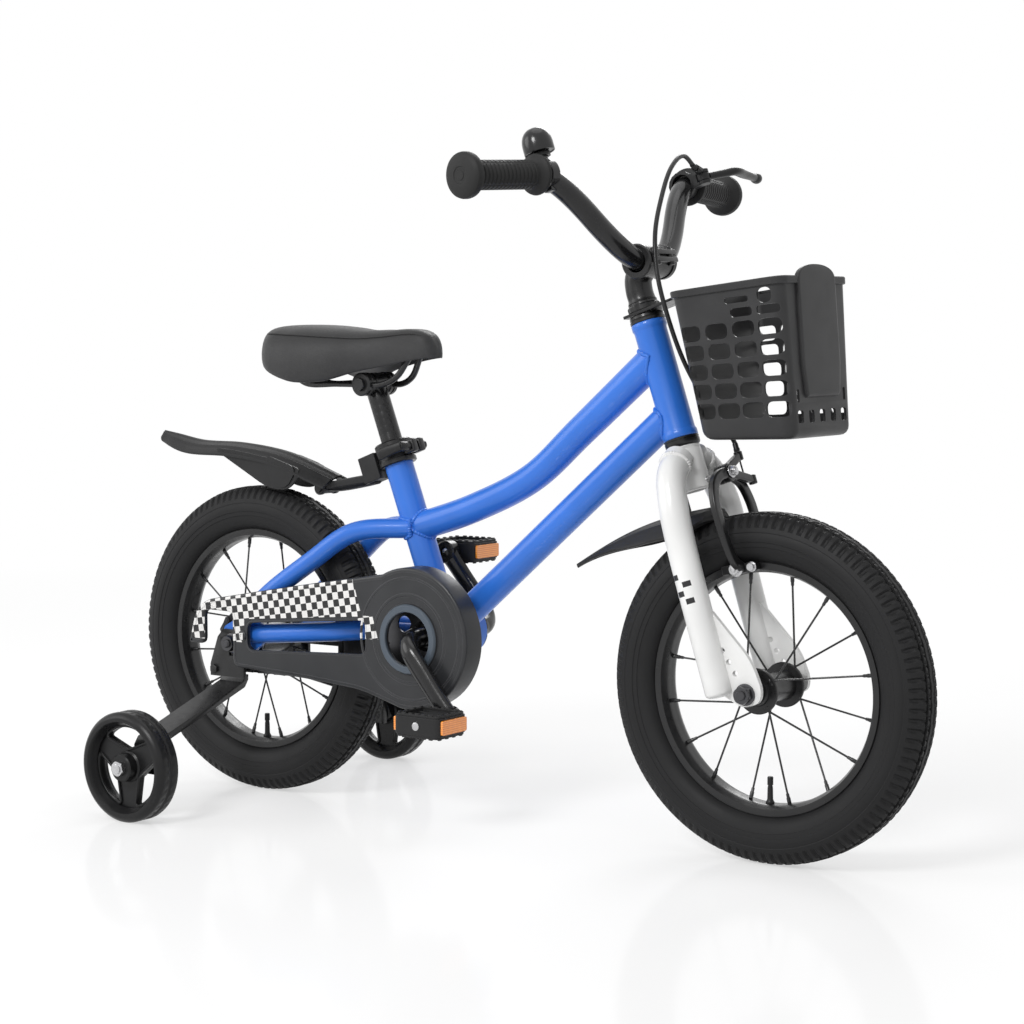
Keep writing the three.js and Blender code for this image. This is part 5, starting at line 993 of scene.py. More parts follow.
crankLook = {
    "length": 101,
    "angle": math.radians(-50.6),
    "spindle": (62, 11),
    "eye": (84, 5.6, 13, 7, 1.4),  # reach, inner and outer radius, half width and cut edge
    # places across the bike and along the arm, with the radii across and along it
    "arm": [
        (52, 0, 11, 11), (66, 1, 11, 11), (76, 7, 10.4, 10.6), (82, 17, 8.6, 11), (84, 32, 7, 11),
        (84, 50, 7, 11), (84, 70, 7, 10.67), (84, 86, 7, 11), (84, 101, 7, 12.1),
    ],
    "teeth": 28,
    "toothRoot": 3.8,
    "toothHeight": 5.8,
    "bore": 16.8,
    "windows": 5,
    "windowRadius": 9,
    "windowCircle": 33,
    "ringHalf": 1.2,
}


def pedalPoint(side, reach):
    look = crankLook
    way = Vector((math.cos(look["angle"]), 0, math.sin(look["angle"])))
    return bike["bottomBracket"] - side * look["length"] * way + acrossBike * side * reach


def chainringMesh():
    look = crankLook
    holes = [circle(40, look["bore"])]
    for i in range(look["windows"]):
        angle = 2 * math.pi * i / look["windows"] + 0.3
        u, v = look["windowCircle"] * math.cos(angle), look["windowCircle"] * math.sin(angle)
        holes.append(shifted(circle(28, look["windowRadius"]), u, v))
    steps = 6
    teeth = []
    for i, (u, v) in enumerate(circle(look["teeth"] * steps)):
        wave = (0.5 - 0.5 * math.cos(2 * math.pi * (i % steps) / steps)) ** 0.8
        radius = driveLook["frontRadius"] - look["toothRoot"] + look["toothHeight"] * wave
        teeth.append((radius * u, radius * v))
    line, half = -driveLook["chainLine"], look["ringHalf"]
    return plate(bmesh.new(), teeth, holes, standing(bike["bottomBracket"]), line - half, line + half)


def crankMesh():
    look = crankLook
    middle = bike["bottomBracket"]
    reach, radius = look["spindle"]
    work = softRod(bmesh.new(), middle - acrossBike * reach, middle + acrossBike * reach, radius, 1, 40)
    lathe(work, [(10.5, -39.5), (16, -39.5), (17, -39.9), (17, -42), (16.2, -42.5), (10.5, -42.5)], middle)
    eyeReach, *eye = look["eye"]
    for side in (-1, 1):
        way = (pedalPoint(side, 0) - middle).normalized()
        path = [
            (*(middle + acrossBike * side * across + way * along), wide, high)
            for across, along, wide, high in look["arm"]
        ]
        sweep(work, smoothPath(path, 7), 32, up=way.cross(acrossBike))
        collar(work, *eye, pedalPoint(side, eyeReach), count=40)
    return work


addPiece("chainringTeeth", chainringMesh(), "crankset", "darkSteel", "chainring", edge=0.3)
addPiece("onePieceCrank", crankMesh(), "crankset", "gloss", "crank", 42)

pedalLook = {
    "inner": 93,
    "outer": 143,
    "length": 64,
    "height": 27,
    "rail": 6,
    "corner": 7,
    "studs": 4,
    "sleeve": [(4.9, -24), (9, -24), (9.6, -23), (9.6, -20), (9, -19)],
    "reflector": (42, 15, 2.4),
    "spindle": (78.5, 4.5, 91.2),  # where it starts, its radius and where its nut is
}


def pedalMiddle(side):
    return pedalPoint(side, (pedalLook["inner"] + pedalLook["outer"]) / 2)


def pedalMesh(side):
    look = pedalLook
    long, wide, high = look["length"] / 2 - 2.5, (look["outer"] - look["inner"]) / 2, look["height"]
    middle = pedalMiddle(side)
    place = lambda u, v, w: middle + Vector((u, v, w))
    inLong, inWide = long - look["rail"], wide - look["rail"]
    holes = [rectangle(*sorted((end * 11.5, end * inLong)), -inWide, inWide, 3) for end in (-1, 1)]
    body = rectangle(-long, long, -wide, wide, look["corner"])
    work = plate(bmesh.new(), body, holes, place, -high / 2 + 4, high / 2 - 4)
    # raised cage edges above and below, with grip studs along them
    for level in (-1, 1):
        rim = rectangle(-long + 1.4, long - 1.4, -wide + 1, wide - 1, 6)
        inner = rectangle(-long + 6, long - 6, -wide + 4.4, wide - 4.4, 4)
        plate(work, rim, [inner], place, *sorted((level * (high / 2 - 4.2), level * (high / 2 - 1.4))))
        studRise = level * (high / 2 - 1.6)
        for end in (-1, 1):
            for i in range(look["studs"]):
                v = lerp(-wide + 7, wide - 7, i / (look["studs"] - 1))
                softBox(work, place(end * (long - 3.7), v, studRise), (3, 4.4, 3), 0.7)
        for row in (-1, 1):
            for i in range(5):
                u = lerp(-long + 12, long - 12, i / 4)
                softBox(work, place(u, row * (wide - 2.8), studRise), (5, 2.4, 3), 0.7)
    # a ribbed sleeve over the spindle
    lathe(work, mirrored(look["sleeve"]), middle, acrossBike * side, 40)
    for end in (-1, 1):
        for v in (-12, 0, 12):
            softBox(work, place(end * 19, v, 0), (22, 3.2, high - 9), 0.9)
    return work


def reflectorMesh(side, end):
    wide, high, thick = pedalLook["reflector"]
    middle = pedalMiddle(side)
    face = middle.x + end * (pedalLook["length"] / 2 - thick)
    shape = rectangle(-wide / 2, wide / 2, -high / 2, high / 2, 2.4)
    place = lambda u, v, w: (face + end * w, middle.y + u, middle.z + v)
    return plate(bmesh.new(), shape, [], place, 0, thick)


# Orange reflector: rows of small prisms under a clear face, with painted light: each prism is lightened
# towards its corners and glows faintly, though it is no lamp
def prismaticAmber(name, prism=2.2):
    paint = newPaint(name)
    _, across, rise = paint.axes()
    grid = abs((across / prism) % 1 - 0.5) + abs((rise / prism) % 1 - 0.5)
    # painted highlight and glow: this grid lightens the orange towards each prism's corners and drives its
    # emission
    glow = paint.spread(grid, 0, 1, 0.1, 0.9)
    return paint.set(
        BaseColor=paint.blend(glow, (0.62, 0.13, 0.004), (1.0, 0.36, 0.03)),
        Roughness=paint.spread(grid, 0.12, 0.24),
        CoatWeight=1.0,
        CoatRoughness=0.04,
        # painted glow: the reflector gives off a faint light of its own
        EmissionColor=paint.blend(glow, (0.3, 0.05, 0.0), (0.9, 0.3, 0.02)),
        EmissionStrength=0.18,
        Normal=paint.bump(grid, 0.25, 0.5),
    )


finishes["amber"] = prismaticAmber("amberPrisms")
for name, side in sides.items():
    body = f"{name}_pedal"
    addPiece(f"pedalCage.{name}", pedalMesh(side), body, "plastic", f"pedal_{name}", edge=0.5)
    for end, label in ((1, "front"), (-1, "rear")):
        addPiece(
            f"pedalReflector.{name}.{label}", reflectorMesh(side, end), body, "amber",
            f"pedal_reflector_{name}_{label}", edge=0.5, segments=3,
        )
    inner, radius, nut = pedalLook["spindle"]
    work = softRod(bmesh.new(), pedalPoint(side, inner), pedalPoint(side, pedalLook["outer"] + 1), radius)
    hexNut(work, pedalPoint(side, nut), acrossBike * side, 7.4, 1.6)
    addPiece(f"pedalSpindle.{name}", work, "crankset", "steel", f"pedal_spindle_{name}", 30)
print("drive: chain, chainring, crank and pedals")

guardLook = {
    "face": 72,
    "deepEnd": 44,
    "shallowEnd": 67,
    "deepFrom": (60, 76),  # the rear arm is shallow, so that the axle nut and bracket clear it
    "wall": 2.5,
    "band": 4.6,
    "recess": 0.5,
    "bulge": 77,
    "arc": (119, -100, 40),  # from and to these degrees round the crank, in so many steps
    "head": [(-0.207, 0.044), (-0.199, 0.145), (-0.169, 0.512), (-0.109, 0.673), (0.429, 0.83)],
    "headRadii": [9, 12, 18, 16, 60],
    "foot": [
        (0.744, -0.705), (0.425, -0.52), (0.045, -0.34), (0.045, 0.47), (-0.113, 0.531), (-0.113, 0.012),
    ],
    "footRadii": [14, 30, 12, 8, 8, 9],
    "window": [(0.13, -0.1), (0.774, -0.2), (0.774, 0.284), (0.13, 0.304)],
    "ring": (29.5, 37.5),  # inner and outer radius
    # painted reflection: a blue-grey tint on the raised ring round the crank, standing for the reflection it
    # shows
    "ringPaintedReflection": (0.075, 0.095, 0.12),
    "ringRaise": 4,
    "grooves": ((48, 2.2), (66, 1.6)),  # radius and half width
    "screw": (0.104, 0.12),
    "square": 7.9,
    "checkStart": (-400, -400.6),  # a corner of the check, along its slope and over it
    "slope": math.radians(9.6),
}


# A place by its share of the way from the rear axle to the crank and its height over that line
def guardPoint(along, rise):
    spot = lerp(bike["rearAxle"], bike["bottomBracket"], along)
    return (spot.x, spot.z + guardLook["bulge"] * rise)


def guardOutline():
    look, middle = guardLook, bike["bottomBracket"]
    bulge, (first, last, steps) = look["bulge"], look["arc"]
    turns = [math.radians(lerp(first, last, i / steps)) for i in range(steps + 1)]
    arc = [(middle.x + bulge * math.cos(turn), middle.z + bulge * math.sin(turn)) for turn in turns]
    head, foot = ([guardPoint(*pair) for pair in look[name]] for name in ("head", "foot"))
    return rounded([*head, *arc, *foot], look["headRadii"] + [0] * len(arc) + look["footRadii"], 7)


def guardMesh():
    look, middle = guardLook, bike["bottomBracket"]
    loop, place = guardOutline(), standing(side=-1)
    face, wall, band = look["face"], look["wall"], look["band"]

    def section(x):
        share = eased((x - look["deepFrom"][0]) / (look["deepFrom"][1] - look["deepFrom"][0]))
        end = lerp(look["shallowEnd"], look["deepEnd"], share)
        return [
            (0, end), (0, face - 2.6), (0.35, face - 1.2), (1.2, face - 0.35), (2.6, face), (band, face),
            (band, face - wall), (wall, face - wall - 0.6), (wall, end),
        ]

    work = border(bmesh.new(), loop, section, place)
    hole = shifted(circle(72, look["ring"][0]), middle.x, middle.z)
    window = rounded([guardPoint(*pair) for pair in look["window"]], (11, 8, 8, 9), 7)
    plate(work, shrunk(loop, band - 0.4), [hole, window], place, face - wall, face - look["recess"])
    # a folded lip round the window
    lip = [(0, -wall - 3), (0, -0.6), (0.6, 0.1), (1.6, 0.1), (2.2, -0.6), (2.2, -wall - 3)]
    border(work, window, lambda _: [(-growth, face + rise) for growth, rise in lip], place)
    low, high = look["ring"]
    rise = look["ringRaise"]
    ring = [
        (low, -wall), (low, rise - 0.8), (low + 0.8, rise), (high - 1.4, rise), (high - 0.4, rise - 0.8),
        (high, rise - 2), (high + 1.6, -0.3), (high + 1.6, -wall),
    ]
    lathe(work, [(radius, -face - reach) for radius, reach in ring], middle, count=96)
    # a shallow step and a groove round the ring, as the moulding has
    top = look["recess"] - 0.7
    for radius, wide in look["grooves"]:
        step = [(-1, 1), (-0.5, top), (0.5, top), (1, 1)]
        lathe(work, [(radius + wide * share, depth - face) for share, depth in step], middle, count=120)
    x, z = guardPoint(*look["screw"])
    return turnedRod(work, [
        (3.2, 0), (4.2, 12.6), (5.6, 12.8), (5.6, 14.6), (4.6, 15.4), (2.2, 15.6), (2.2, 14.4),
    ], Vector((x, -58.7, z)), -acrossBike, 24)


# Dark grey moulding with a black and white check along its upper arm, and a painted blue-grey reflection on
# the raised ring round the crank
def checkedGuard(name):
    look = guardLook
    paint = newPaint(name)
    x, y, z = paint.axes()
    cos, sin, size = math.cos(look["slope"]), math.sin(look["slope"]), look["square"]
    lift = z - bike["rearAxle"].z
    startAlong, startOver = look["checkStart"]
    columns = ((x * cos + lift * sin - startAlong) / size) % 2 < 1
    rows = ((lift * cos - x * sin - startOver) / size) % 2 < 1
    onFace = y < -(look["face"] - 0.9)
    upperArm = (z - x * 0.0888 > 205.2) * (x + (z - 236) * 0.3 < 197)
    tail = (x < 30) * (z > 181)
    tab = (x > 196) * (x + (z - 205) * 0.3 < 222) * (z > 199) * (z < 224)
    zone = (upperArm + tail + tab > 0.5) * onFace
    cloud = paint.noise(34)
    rub = paint.edges(1.0)
    shell = paint.blend(cloud, (0.02, 0.021, 0.023), (0.031, 0.032, 0.035))
    middle = bike["bottomBracket"]
    flat = paint.node("ShaderNodeCombineXYZ", {}, {"X": x, "Z": z})["Vector"]
    ends = {0: flat, 1: (middle.x, 0, middle.z)}
    away = paint.node("ShaderNodeVectorMath", {"operation": "DISTANCE"}, ends)["Value"]
    # the raised ring round the crank hole takes the painted reflection: a blue-grey tint in place of the
    # reflection it would show
    ring = (away < look["ring"][1] + 0.4) * (y < -(look["face"] + 0.6))
    white = paint.blend(cloud, (0.74, 0.73, 0.72), (0.84, 0.83, 0.81))
    black = paint.blend(cloud, (0.016, 0.016, 0.017), (0.026, 0.026, 0.027))
    check = paint.blend(abs(columns - rows), black, white)
    base = paint.blend(zone, paint.blend(ring, shell, look["ringPaintedReflection"]), check)
    return paint.set(
        BaseColor=paint.blend(rub * 0.25, base, (0.2, 0.2, 0.21)),
        Roughness=paint.spread(cloud, 0.3, 0.42) - zone * 0.06,
        CoatWeight=paint.spread(cloud, 0.06, 0.12),
        CoatRoughness=0.2,
        SpecularIORLevel=blackLook["shine"] * 1.4,
        Normal=paint.bump(paint.noise(1.2), 0.02, 0.5),
    )


finishes["guard"] = checkedGuard("checkedGuard")
addPiece("chainGuardShell", guardMesh(), "frame", "guard", "chain_guard", 38)
print("chain guard")

trainerLook = {
    "radius": 60.5,
    "track": 225,
    "half": 16,
    "windows": 3,
    "tread": [
        (49.4, 0), (49.8, 3.2), (46.6, 3.8), (45.2, 5.4), (46.2, 7.4), (48.4, 11.4), (49.6, 14.6),
        (50.6, 15.8), (54, 16), (55.8, 15.4), (58.4, 13.4), (60, 11.4), (60.5, 9.8), (60.5, 7), (60.5, 3.6),
        (60.2, 2.8), (59.4, 1.6), (59.2, 0),
    ],
    "hub": [(6, -16), (13.6, -16), (15, -14.6), (15.4, -5), (17.4, -3.4)],
    "web": 2.6,
    "rim": [(0, -4.4), (0, 4.4), (0.5, 4.9), (1.9, 4.9), (2.4, 4.4), (2.4, -4.4), (1.9, -4.9), (0.5, -4.9)],
}


def trainingWheelMesh(side):
    look = trainerLook
    middle = Vector((bike["rearAxle"].x, side * look["track"], look["radius"]))

    def grooved(radius, reach, turn):
        isGroove = radius > look["radius"] - 1 and 3 < abs(reach) < 9 and turn % 4 == 0
        return (radius - 0.7, reach) if isGroove else (radius, reach)

    work = lathe(bmesh.new(), mirrored(look["tread"]), middle, count=144, shape=grooved)
    lathe(work, mirrored(look["hub"]), middle, count=64)
    # three broad spokes that spread towards the rim, with a raised border
    holes = []
    for i in range(look["windows"]):
        wide = 2 * math.pi / look["windows"]
        start = math.pi / 6 + i * wide
        spots = [(19.5, 0.5), *((43.4, lerp(0.13, 0.87, step / 8)) for step in range(9))]
        corners = [
            (radius * math.cos(start + wide * share), radius * math.sin(start + wide * share))
            for radius, share in spots
        ]
        holes.append(rounded(corners, [3, 6, *([40] * 7), 6], 5))
    place = standing(middle)
    plate(work, circle(96, 50.5), [*holes, circle(48, 14)], place, -look["web"], look["web"])
    for hole in holes:
        border(work, hole, lambda _: [(-growth, reach) for growth, reach in look["rim"]], place)
    return work


def trainingBoltMesh(side):
    look = trainerLook
    outer = look["track"] + look["half"] + 0.9
    at = lambda reach: Vector((0, side * reach, look["radius"]))
    way = acrossBike * side
    work = softRod(bmesh.new(), at(191.5), at(outer + 5.8), 5.4, 0.6, 24)
    hexNut(work, at(197.5), -way, 9, 6)
    softRod(work, at(202.1), at(208), 6.8, 0.5, 24)
    return hexNut(work, at(outer - 0.7), way, 9, 5)


for name, side in sides.items():
    addPiece(
        f"trainingWheelSpoked.{name}", trainingWheelMesh(side), f"{name}_training_wheel", "trainer",
        f"training_wheel_{name}", 34,
    )
    addPiece(f"trainingBolt.{name}", trainingBoltMesh(side), "frame", "steel", f"training_axle_{name}", 30)
    refined(f"training_bracket_{name}", f"trainingBracketPressed.{name}", "frame", "satin", 0.7)
refined("coaster_arm", "coasterArmPressed", "frame", "satin", 0.5)
refined("rear_sprocket", "rearSprocketTeeth", "rear_wheel", "darkSteel", 0.3)
print("training wheels, their brackets and the coaster arm")

# Seat post, its collar and quick lever, and the clamp under the saddle
seatLook = {
    "post": (12, 119, 295),  # radius, from and to
    "marks": [112 + 8 * mark for mark in range(5)],  # heights of the marks rolled into the post
    "markDepth": 0.05,
    "collar": (194, 220, 21),  # from, to and radius
    "lug": (28, 14, 22, 15),  # forward of the tube, then long, wide and high
    "slit": 3,
    "clampRise": 289,
    "clampRadius": 13,
    "clampHalf": 26,
    # forward, across and up from the lever's bolt, with both radii
    "lever": [
        (3, -26.8, 0, 3.4, 5.5), (-8, -27.4, 0.4, 2.9, 5.7), (-19, -28.6, 0.4, 2.7, 6.1),
        (-28, -29.6, 0, 2.6, 6.4), (-30, -29.8, 0, 1.2, 4.4),
    ],
}


def postMesh():
    wide, low, high = seatLook["post"]
    long = high - low
    grooves = []
    for rise in seatLook["marks"]:
        grooves += [(wide, rise - 0.5), (wide - seatLook["markDepth"], rise), (wide, rise + 0.5)]
    return turnedRod(bmesh.new(), [
        (wide - 0.8, 0), (wide, 0.8), *grooves,
        (wide, long - 3), (wide - 1.2, long - 0.8), (wide - 2.4, long),
    ], onSeatTube(0, 0, low), tubeWay, 48)


def collarMesh():
    low, high, wide = seatLook["collar"]
    work = lathe(bmesh.new(), [
        (16.3, 0), (wide - 1, 0), (wide, 1), (wide, 5), (wide - 1.4, 6.4), (wide - 1.4, 16), (wide, 17.6),
        (wide, 24.6), (wide - 1.4, 26), (13, 26), (13, 20.6), (16.3, 20.6),
    ], onSeatTube(0, 0, low), tubeWay, 72)
    reach, lugLong, lugWide, lugHigh = seatLook["lug"]
    slit = seatLook["slit"]
    for side in (-1, 1):
        at = onSeatTube(reach - 1, side * (lugWide + slit) / 4, (low + high) / 2)
        softBox(work, at, (lugLong + 2, (lugWide - slit) / 2, lugHigh), 2.4, tubeAxes)
    return work


def leverMesh():
    low, high, _ = seatLook["collar"]
    bolt, level = seatLook["lug"][0], (low + high) / 2
    at = lambda across, forward=0, up=0: onSeatTube(bolt + forward, across, level + up)
    work = softRod(bmesh.new(), at(16.4), at(-12), 3, 0.5)
    hexNut(work, at(11.4), acrossBike, 5.5, 5)
    softRod(work, at(-11.4), at(-28.6), 5.5, 1.6, 28)
    path = [(*at(across, forward, up), *radii) for forward, across, up, *radii in seatLook["lever"]]
    return sweep(work, smoothPath(path, 7), 28, up=tubeWay)


# A barrel with ribbed ends, and a bolt with its two nuts through it
def clampMesh():
    wide, half = seatLook["clampRadius"], seatLook["clampHalf"]
    middle = onSeatTube(0, 0, seatLook["clampRise"])
    profile = []
    for reach in (-half, -half + 7):
        profile += [(wide - 1.2, reach), (wide, reach + 1.2), (wide, reach + 5.2), (wide - 1.2, reach + 6)]
    work = turnedRod(
        bmesh.new(), mirrored([*profile, (wide - 2.2, -10), (wide - 0.4, -8.6)]), middle, acrossBike, 48,
    )
    softRod(work, middle - acrossBike * (half + 2), middle + acrossBike * (half + 2), 6.4, 0.6, 28)
    for side in (1, -1):
        hexNut(work, middle + acrossBike * side * (half - 1), acrossBike * side, 7.8, 5)
    return work


addPiece("seatPostRolled", postMesh(), "seat", "gloss", "seat_post")
addPiece("seatCollar", collarMesh(), "frame", "satin", "seat_clamp")
addPiece("seatLever", leverMesh(), "seat_lever", "smoothPlastic", "seat_clamp_lever", 42)
addPiece("saddleClampRibbed", clampMesh(), "seat", "satin", "saddle_clamp")

clampMiddle = onSeatTube(0, 0, seatLook["clampRise"])
saddleLook = {
    "tail": clampMiddle.x - 135.5,
    "top": clampMiddle.z + 66.3,
    "length": 228,
    "half": 73,
    "skirt": 66,
    "pad": 22,
    "fill": 0.75,
    "steps": 6,
    "pressure": 4,
    "stiffness": 25,
    "frames": 20,
    "cap": 2.4,
    "seamRadius": 0.9,
    "seam": (0.06, 0.93),
    "shell": 1.2,
}

# From tail to nose: place, half width, top and lower edge
saddleStations = [
    (0, 0.3, -0.5, 0.68), (0.012, 0.47, -0.24, 0.7), (0.045, 0.72, -0.08, 0.74), (0.13, 0.96, 0, 0.84),
    (0.21, 1, 0, 0.94), (0.3, 0.985, -0.01, 1.01), (0.46, 0.82, -0.14, 0.98), (0.59, 0.575, -0.29, 0.84),
    (0.72, 0.4, -0.26, 0.74), (0.84, 0.315, -0.17, 0.65), (0.91, 0.285, -0.22, 0.61),
    (0.955, 0.24, -0.42, 0.59), (0.985, 0.17, -0.8, 0.58), (1, 0.08, -1.25, 0.58),
]


# The same shares across on the other side, for half of a section
def bothSides(half):
    return [*half, *((-across, rise) for across, rise in reversed(half) if across)]


saddleCrown = bothSides([
    (-0.9, 0), (-0.965, 0.12), (-0.99, 0.35), (-0.94, 0.62), (-0.86, 0.78), (-0.74, 0.885), (-0.58, 0.955),
    (-0.4, 0.99), (-0.2, 0.985), (0, 0.972),
])

# The underside, as shares of its half width and heights above its edge
saddleHollow = bothSides([(0.93, 1.5), (0.9, 9), (0.6, 15), (0.3, 16), (0, 16.5)])


# The stations run smoothly from tail to nose; their shares weigh less than their places
def saddleCourse(steps):
    rows = [(place * 3, half, top * 0.3, edge * 0.3) for place, half, top, edge in saddleStations]
    return [(row[0] / 3, row[1], row[2] / 0.3, row[3] / 0.3) for row in smoothPath(rows, steps)]


def saddlePoint(station, across, rise, shrink=0):
    look = saddleLook
    place, half, top, edge = station
    x = look["tail"] + lerp(place, 0.5, shrink * 0.02) * look["length"]
    high = look["top"] + top * look["pad"] - shrink
    low = look["top"] - edge * look["skirt"] + shrink * 0.5
    return Vector((x, across * (half * look["half"] - shrink), lerp(low, high, rise)))


def padMesh():
    rings = []
    for station in saddleCourse(saddleLook["steps"]):
        ring = [saddlePoint(station, across, rise, saddleLook["shell"]) for across, rise in saddleCrown]
        base, wide = min(point.z for point in ring), abs(ring[0].y)
        for share, lift in saddleHollow:
            ring.append(Vector((ring[0].x, wide * share, base + lift * min(1, wide / 30))))
        rings.append(ring)
    return loft(bmesh.new(), rings)


# The cover blown up a little as cloth, with its edge and both ends held
def swollen(work):
    look = saddleLook
    count = len(saddleCrown) + len(saddleHollow)
    pad = looseObject("saddlePadWork", work)
    pad.data.transform(Matrix.Scale(millimetre, 4))
    before = [point.co.copy() for point in pad.data.vertices]
    held = pad.vertex_groups.new(name="held")
    for i in range(len(before)):
        atEnd = i < count * 2 or i >= len(before) - count * 2
        if atEnd or i % count in (0, 1) or i % count >= len(saddleCrown) - 2:
            held.add([i], 1.0, "REPLACE")
    cloth = pad.modifiers.new("cover", "CLOTH")
    cloth.settings.use_pressure = True
    cloth.settings.uniform_pressure_force = look["pressure"]
    cloth.settings.effector_weights.gravity = 0
    cloth.settings.vertex_group_mass = "held"
    cloth.settings.tension_stiffness = cloth.settings.compression_stiffness = look["stiffness"]
    cloth.point_cache.frame_start = 1
    cloth.point_cache.frame_end = look["frames"]
    for step in range(look["frames"]):
        scene.frame_set(step + 1)
    seen = bpy.context.evaluated_depsgraph_get()
    puffed = bpy.data.meshes.new_from_object(pad.evaluated_get(seen))
    cap = look["cap"] * millimetre
    for point, start in zip(puffed.vertices, before):
        move = point.co - start
        if move.length > cap:
            point.co = start + move.normalized() * cap
    result = bmesh.new()
    result.from_mesh(puffed)
    bmesh.ops.smooth_vert(
        result, verts=result.verts, factor=0.5, use_axis_x=True, use_axis_y=True, use_axis_z=True,
    )
    bmesh.ops.scale(result, vec=(1 / millimetre,) * 3, verts=result.verts)
    bpy.data.objects.remove(pad)
    scene.frame_set(1)
    return result


# Grained cover: pebbled leathercloth, smoother on top, with a painted highlight that makes it a little
# lighter down its sides
def grainedCover(name):
    paint = newPaint(name)
    warp = paint.noise(3.2)
    pebbles = paint.cells(1.5, "SMOOTH_F1")
    creases = paint.noise(7, 5, 0.65)
    _, _, z = paint.axes()
    upper = paint.spread(z, 0, 1, saddleLook["top"] - 26, saddleLook["top"] - 12)
    # painted highlight: below the top panel the sides are lightened, broken up by crease noise, as if lit
    # from the side
    side = (1 - upper) * paint.spread(creases, 0.7, 1)
    base = paint.clouded(pebbles * 0.6 + warp * 0.4, blackLook["cover"], 0.75, 1.3)
    return paint.set(
        BaseColor=paint.blend(side * 0.75, base, shade(blackLook["cover"], 2)),
        Roughness=paint.spread(warp, 0.5, 0.6) - upper * 0.04,
        SpecularIORLevel=blackLook["shine"],
        Normal=paint.bump(pebbles + creases * 0.5, 0.22, 0.45),
        SheenWeight=0.05,
        SheenRoughness=0.5,
    )


finishes["cover"] = grainedCover("grainedCover")
work = padMesh()
work = swollen(work)
coverSurface = BVHTree.FromBMesh(work)
pad = addPiece("saddleCover", work, "seat", "cover", "saddle", smooth=1)


# Piping laid on the cover, where its top panel meets the sides
def pipingMesh():
    work = bmesh.new()
    first, last = saddleLook["seam"]
    for side in (-1, 1):
        seam = []
        for station in saddleCourse(10):
            if first < station[0] < last:
                place = coverSurface.find_nearest(saddlePoint(station, side * 0.79, 0.84))[0]
                end = min(station[0] - first, last - station[0]) / 0.05
                seam.append((*place, saddleLook["seamRadius"] * (0.25 + 0.75 * eased(end))))
        sweep(work, seam, 8)
    return work


addPiece("saddlePiping", pipingMesh(), "seat", "grip", sharp=50)

# Rails: one black wire, bent up into the saddle at both ends
railLook = {
    "radius": 3.5,
    "spread": 19,
    # places along the saddle, shares of the spread, and heights over the clamp or under the saddle's roof
    "low": [(0.17, 1, 8), (0.23, 1, 0), (0.42, 1, 0), (0.56, 1, 0), (0.70, 0.96, 0), (0.78, 0.75, 9)],
    "tail": [(0.1, 1, 0), (0.13, 1, -10.5)],
    "nose": [(0.84, 0.5, -9), (0.87, 0.35, -3)],
}


def railsMesh():
    look = railLook
    roof = saddleLook["top"] - saddleLook["pad"] - 6
    at = lambda share: saddleLook["tail"] + share * saddleLook["length"]
    rows = [
        (at(share), look["spread"] * wide, base + rise)
        for base, part in ((roof, "tail"), (clampMiddle.z, "low"), (roof, "nose"))
        for share, wide, rise in look[part]
    ]
    wire = [(x, -y, z) for x, y, z in rows] + rows[::-1]
    work = sweep(bmesh.new(), smoothPath([(*place, look["radius"]) for place in wire], 8), 16)
    softBox(work, (at(0.11), 0, roof + 1.7), (17, 45, 3.5), 1.2)
    return work


addPiece("saddleRailWire", railsMesh(), "seat", "satin", "saddle_rails", 40)
print("seat: post, collar, lever, clamp, saddle and rails")

mudguardLook = {
    "wall": 2.4,
    "rearHalf": 30,
    "rearArch": 12,
    "frontHalf": 27,
    "frontArch": 9.6,
    "rib": 1.2,
    # places in wheel radii behind or before the rear axle and over the tyre
    "blade": [
        (-0.885, 0.34), (-0.76, 0.322), (-0.537, 0.286), (-0.164, 0.277), (0.22, 0.226), (0.548, 0.122),
        (0.638, 0.09),
    ],
    "web": [
        (-0.339, 0.246), (-0.124, 0.232), (0.22, 0.182), (0.427, 0.128), (0.339, -0.011), (0.153, -0.006),
    ],
    "webRadii": (20, 20, 30, 10, 14, 30),
    "rail": [(0.13, 0.215), (0.4, 0.135), (0.318, 0.004), (0.19, 0.006)],
}
nearSpots = (0.14, 0.2, 0.3, 0.45, 0.5, 0.55, 0.61, 0.66, 0.75, 0.9, 0.97, 1)


def ridgeAt(spot):
    if spot < 0.1:
        return mudguardLook["rib"]
    return mudguardLook["rib"] * 0.75 if spot < 0.16 or 0.52 < spot < 0.64 else 0


# A mudguard blade: crowned across, with a centre rib, two side ribs and rolled edges
def bladeRings(path, halfWidth, archAt, up):
    rings = []
    wall, rib = mudguardLook["wall"], mudguardLook["rib"]
    spots = [*(-spot for spot in reversed(nearSpots)), 0, *nearSpots]
    for i, place in enumerate(path):
        share = i / (len(path) - 1)
        half, arch = halfWidth(share), archAt(share)
        ahead = path[min(i + 1, len(path) - 1)] - path[max(i - 1, 0)]
        lift = ahead.cross(acrossBike).normalized()
        lift *= math.copysign(1, lift.dot(up))
        at = lambda across, rise: place + acrossBike * across + lift * (rise - rib)
        outer = [at(spot * half, ridgeAt(abs(spot)) - arch * spot * spot) for spot in spots]
        inner = [
            at(spot * (half - wall / 2), ridgeAt(abs(spot)) * 0.5 - arch * spot * spot - wall)
            for spot in spots
        ]
        rings.append([*outer, at(half, -arch - wall * 0.9), *reversed(inner), at(-half, -arch - wall * 0.9)])
    return rings


def rearWidth(share):
    tip = 0.3 + 0.7 * roundedStart(share, 0.05)
    return max(mudguardLook["rearHalf"] * (1 - share / 6) * (0.34 + 0.66 * eased(share / 0.42)) * tip, 3)


def rearArch(share):
    tip = 0.25 + 0.75 * roundedStart(share, 0.08)
    return mudguardLook["rearArch"] * (0.7 + 0.3 * eased(share / 0.3)) * tip


def overWheel(spots):
    axle, radius = bike["rearAxle"], bike["wheelRadius"]
    return [(axle.x + u * radius, axle.z + radius + v * radius) for u, v in spots]


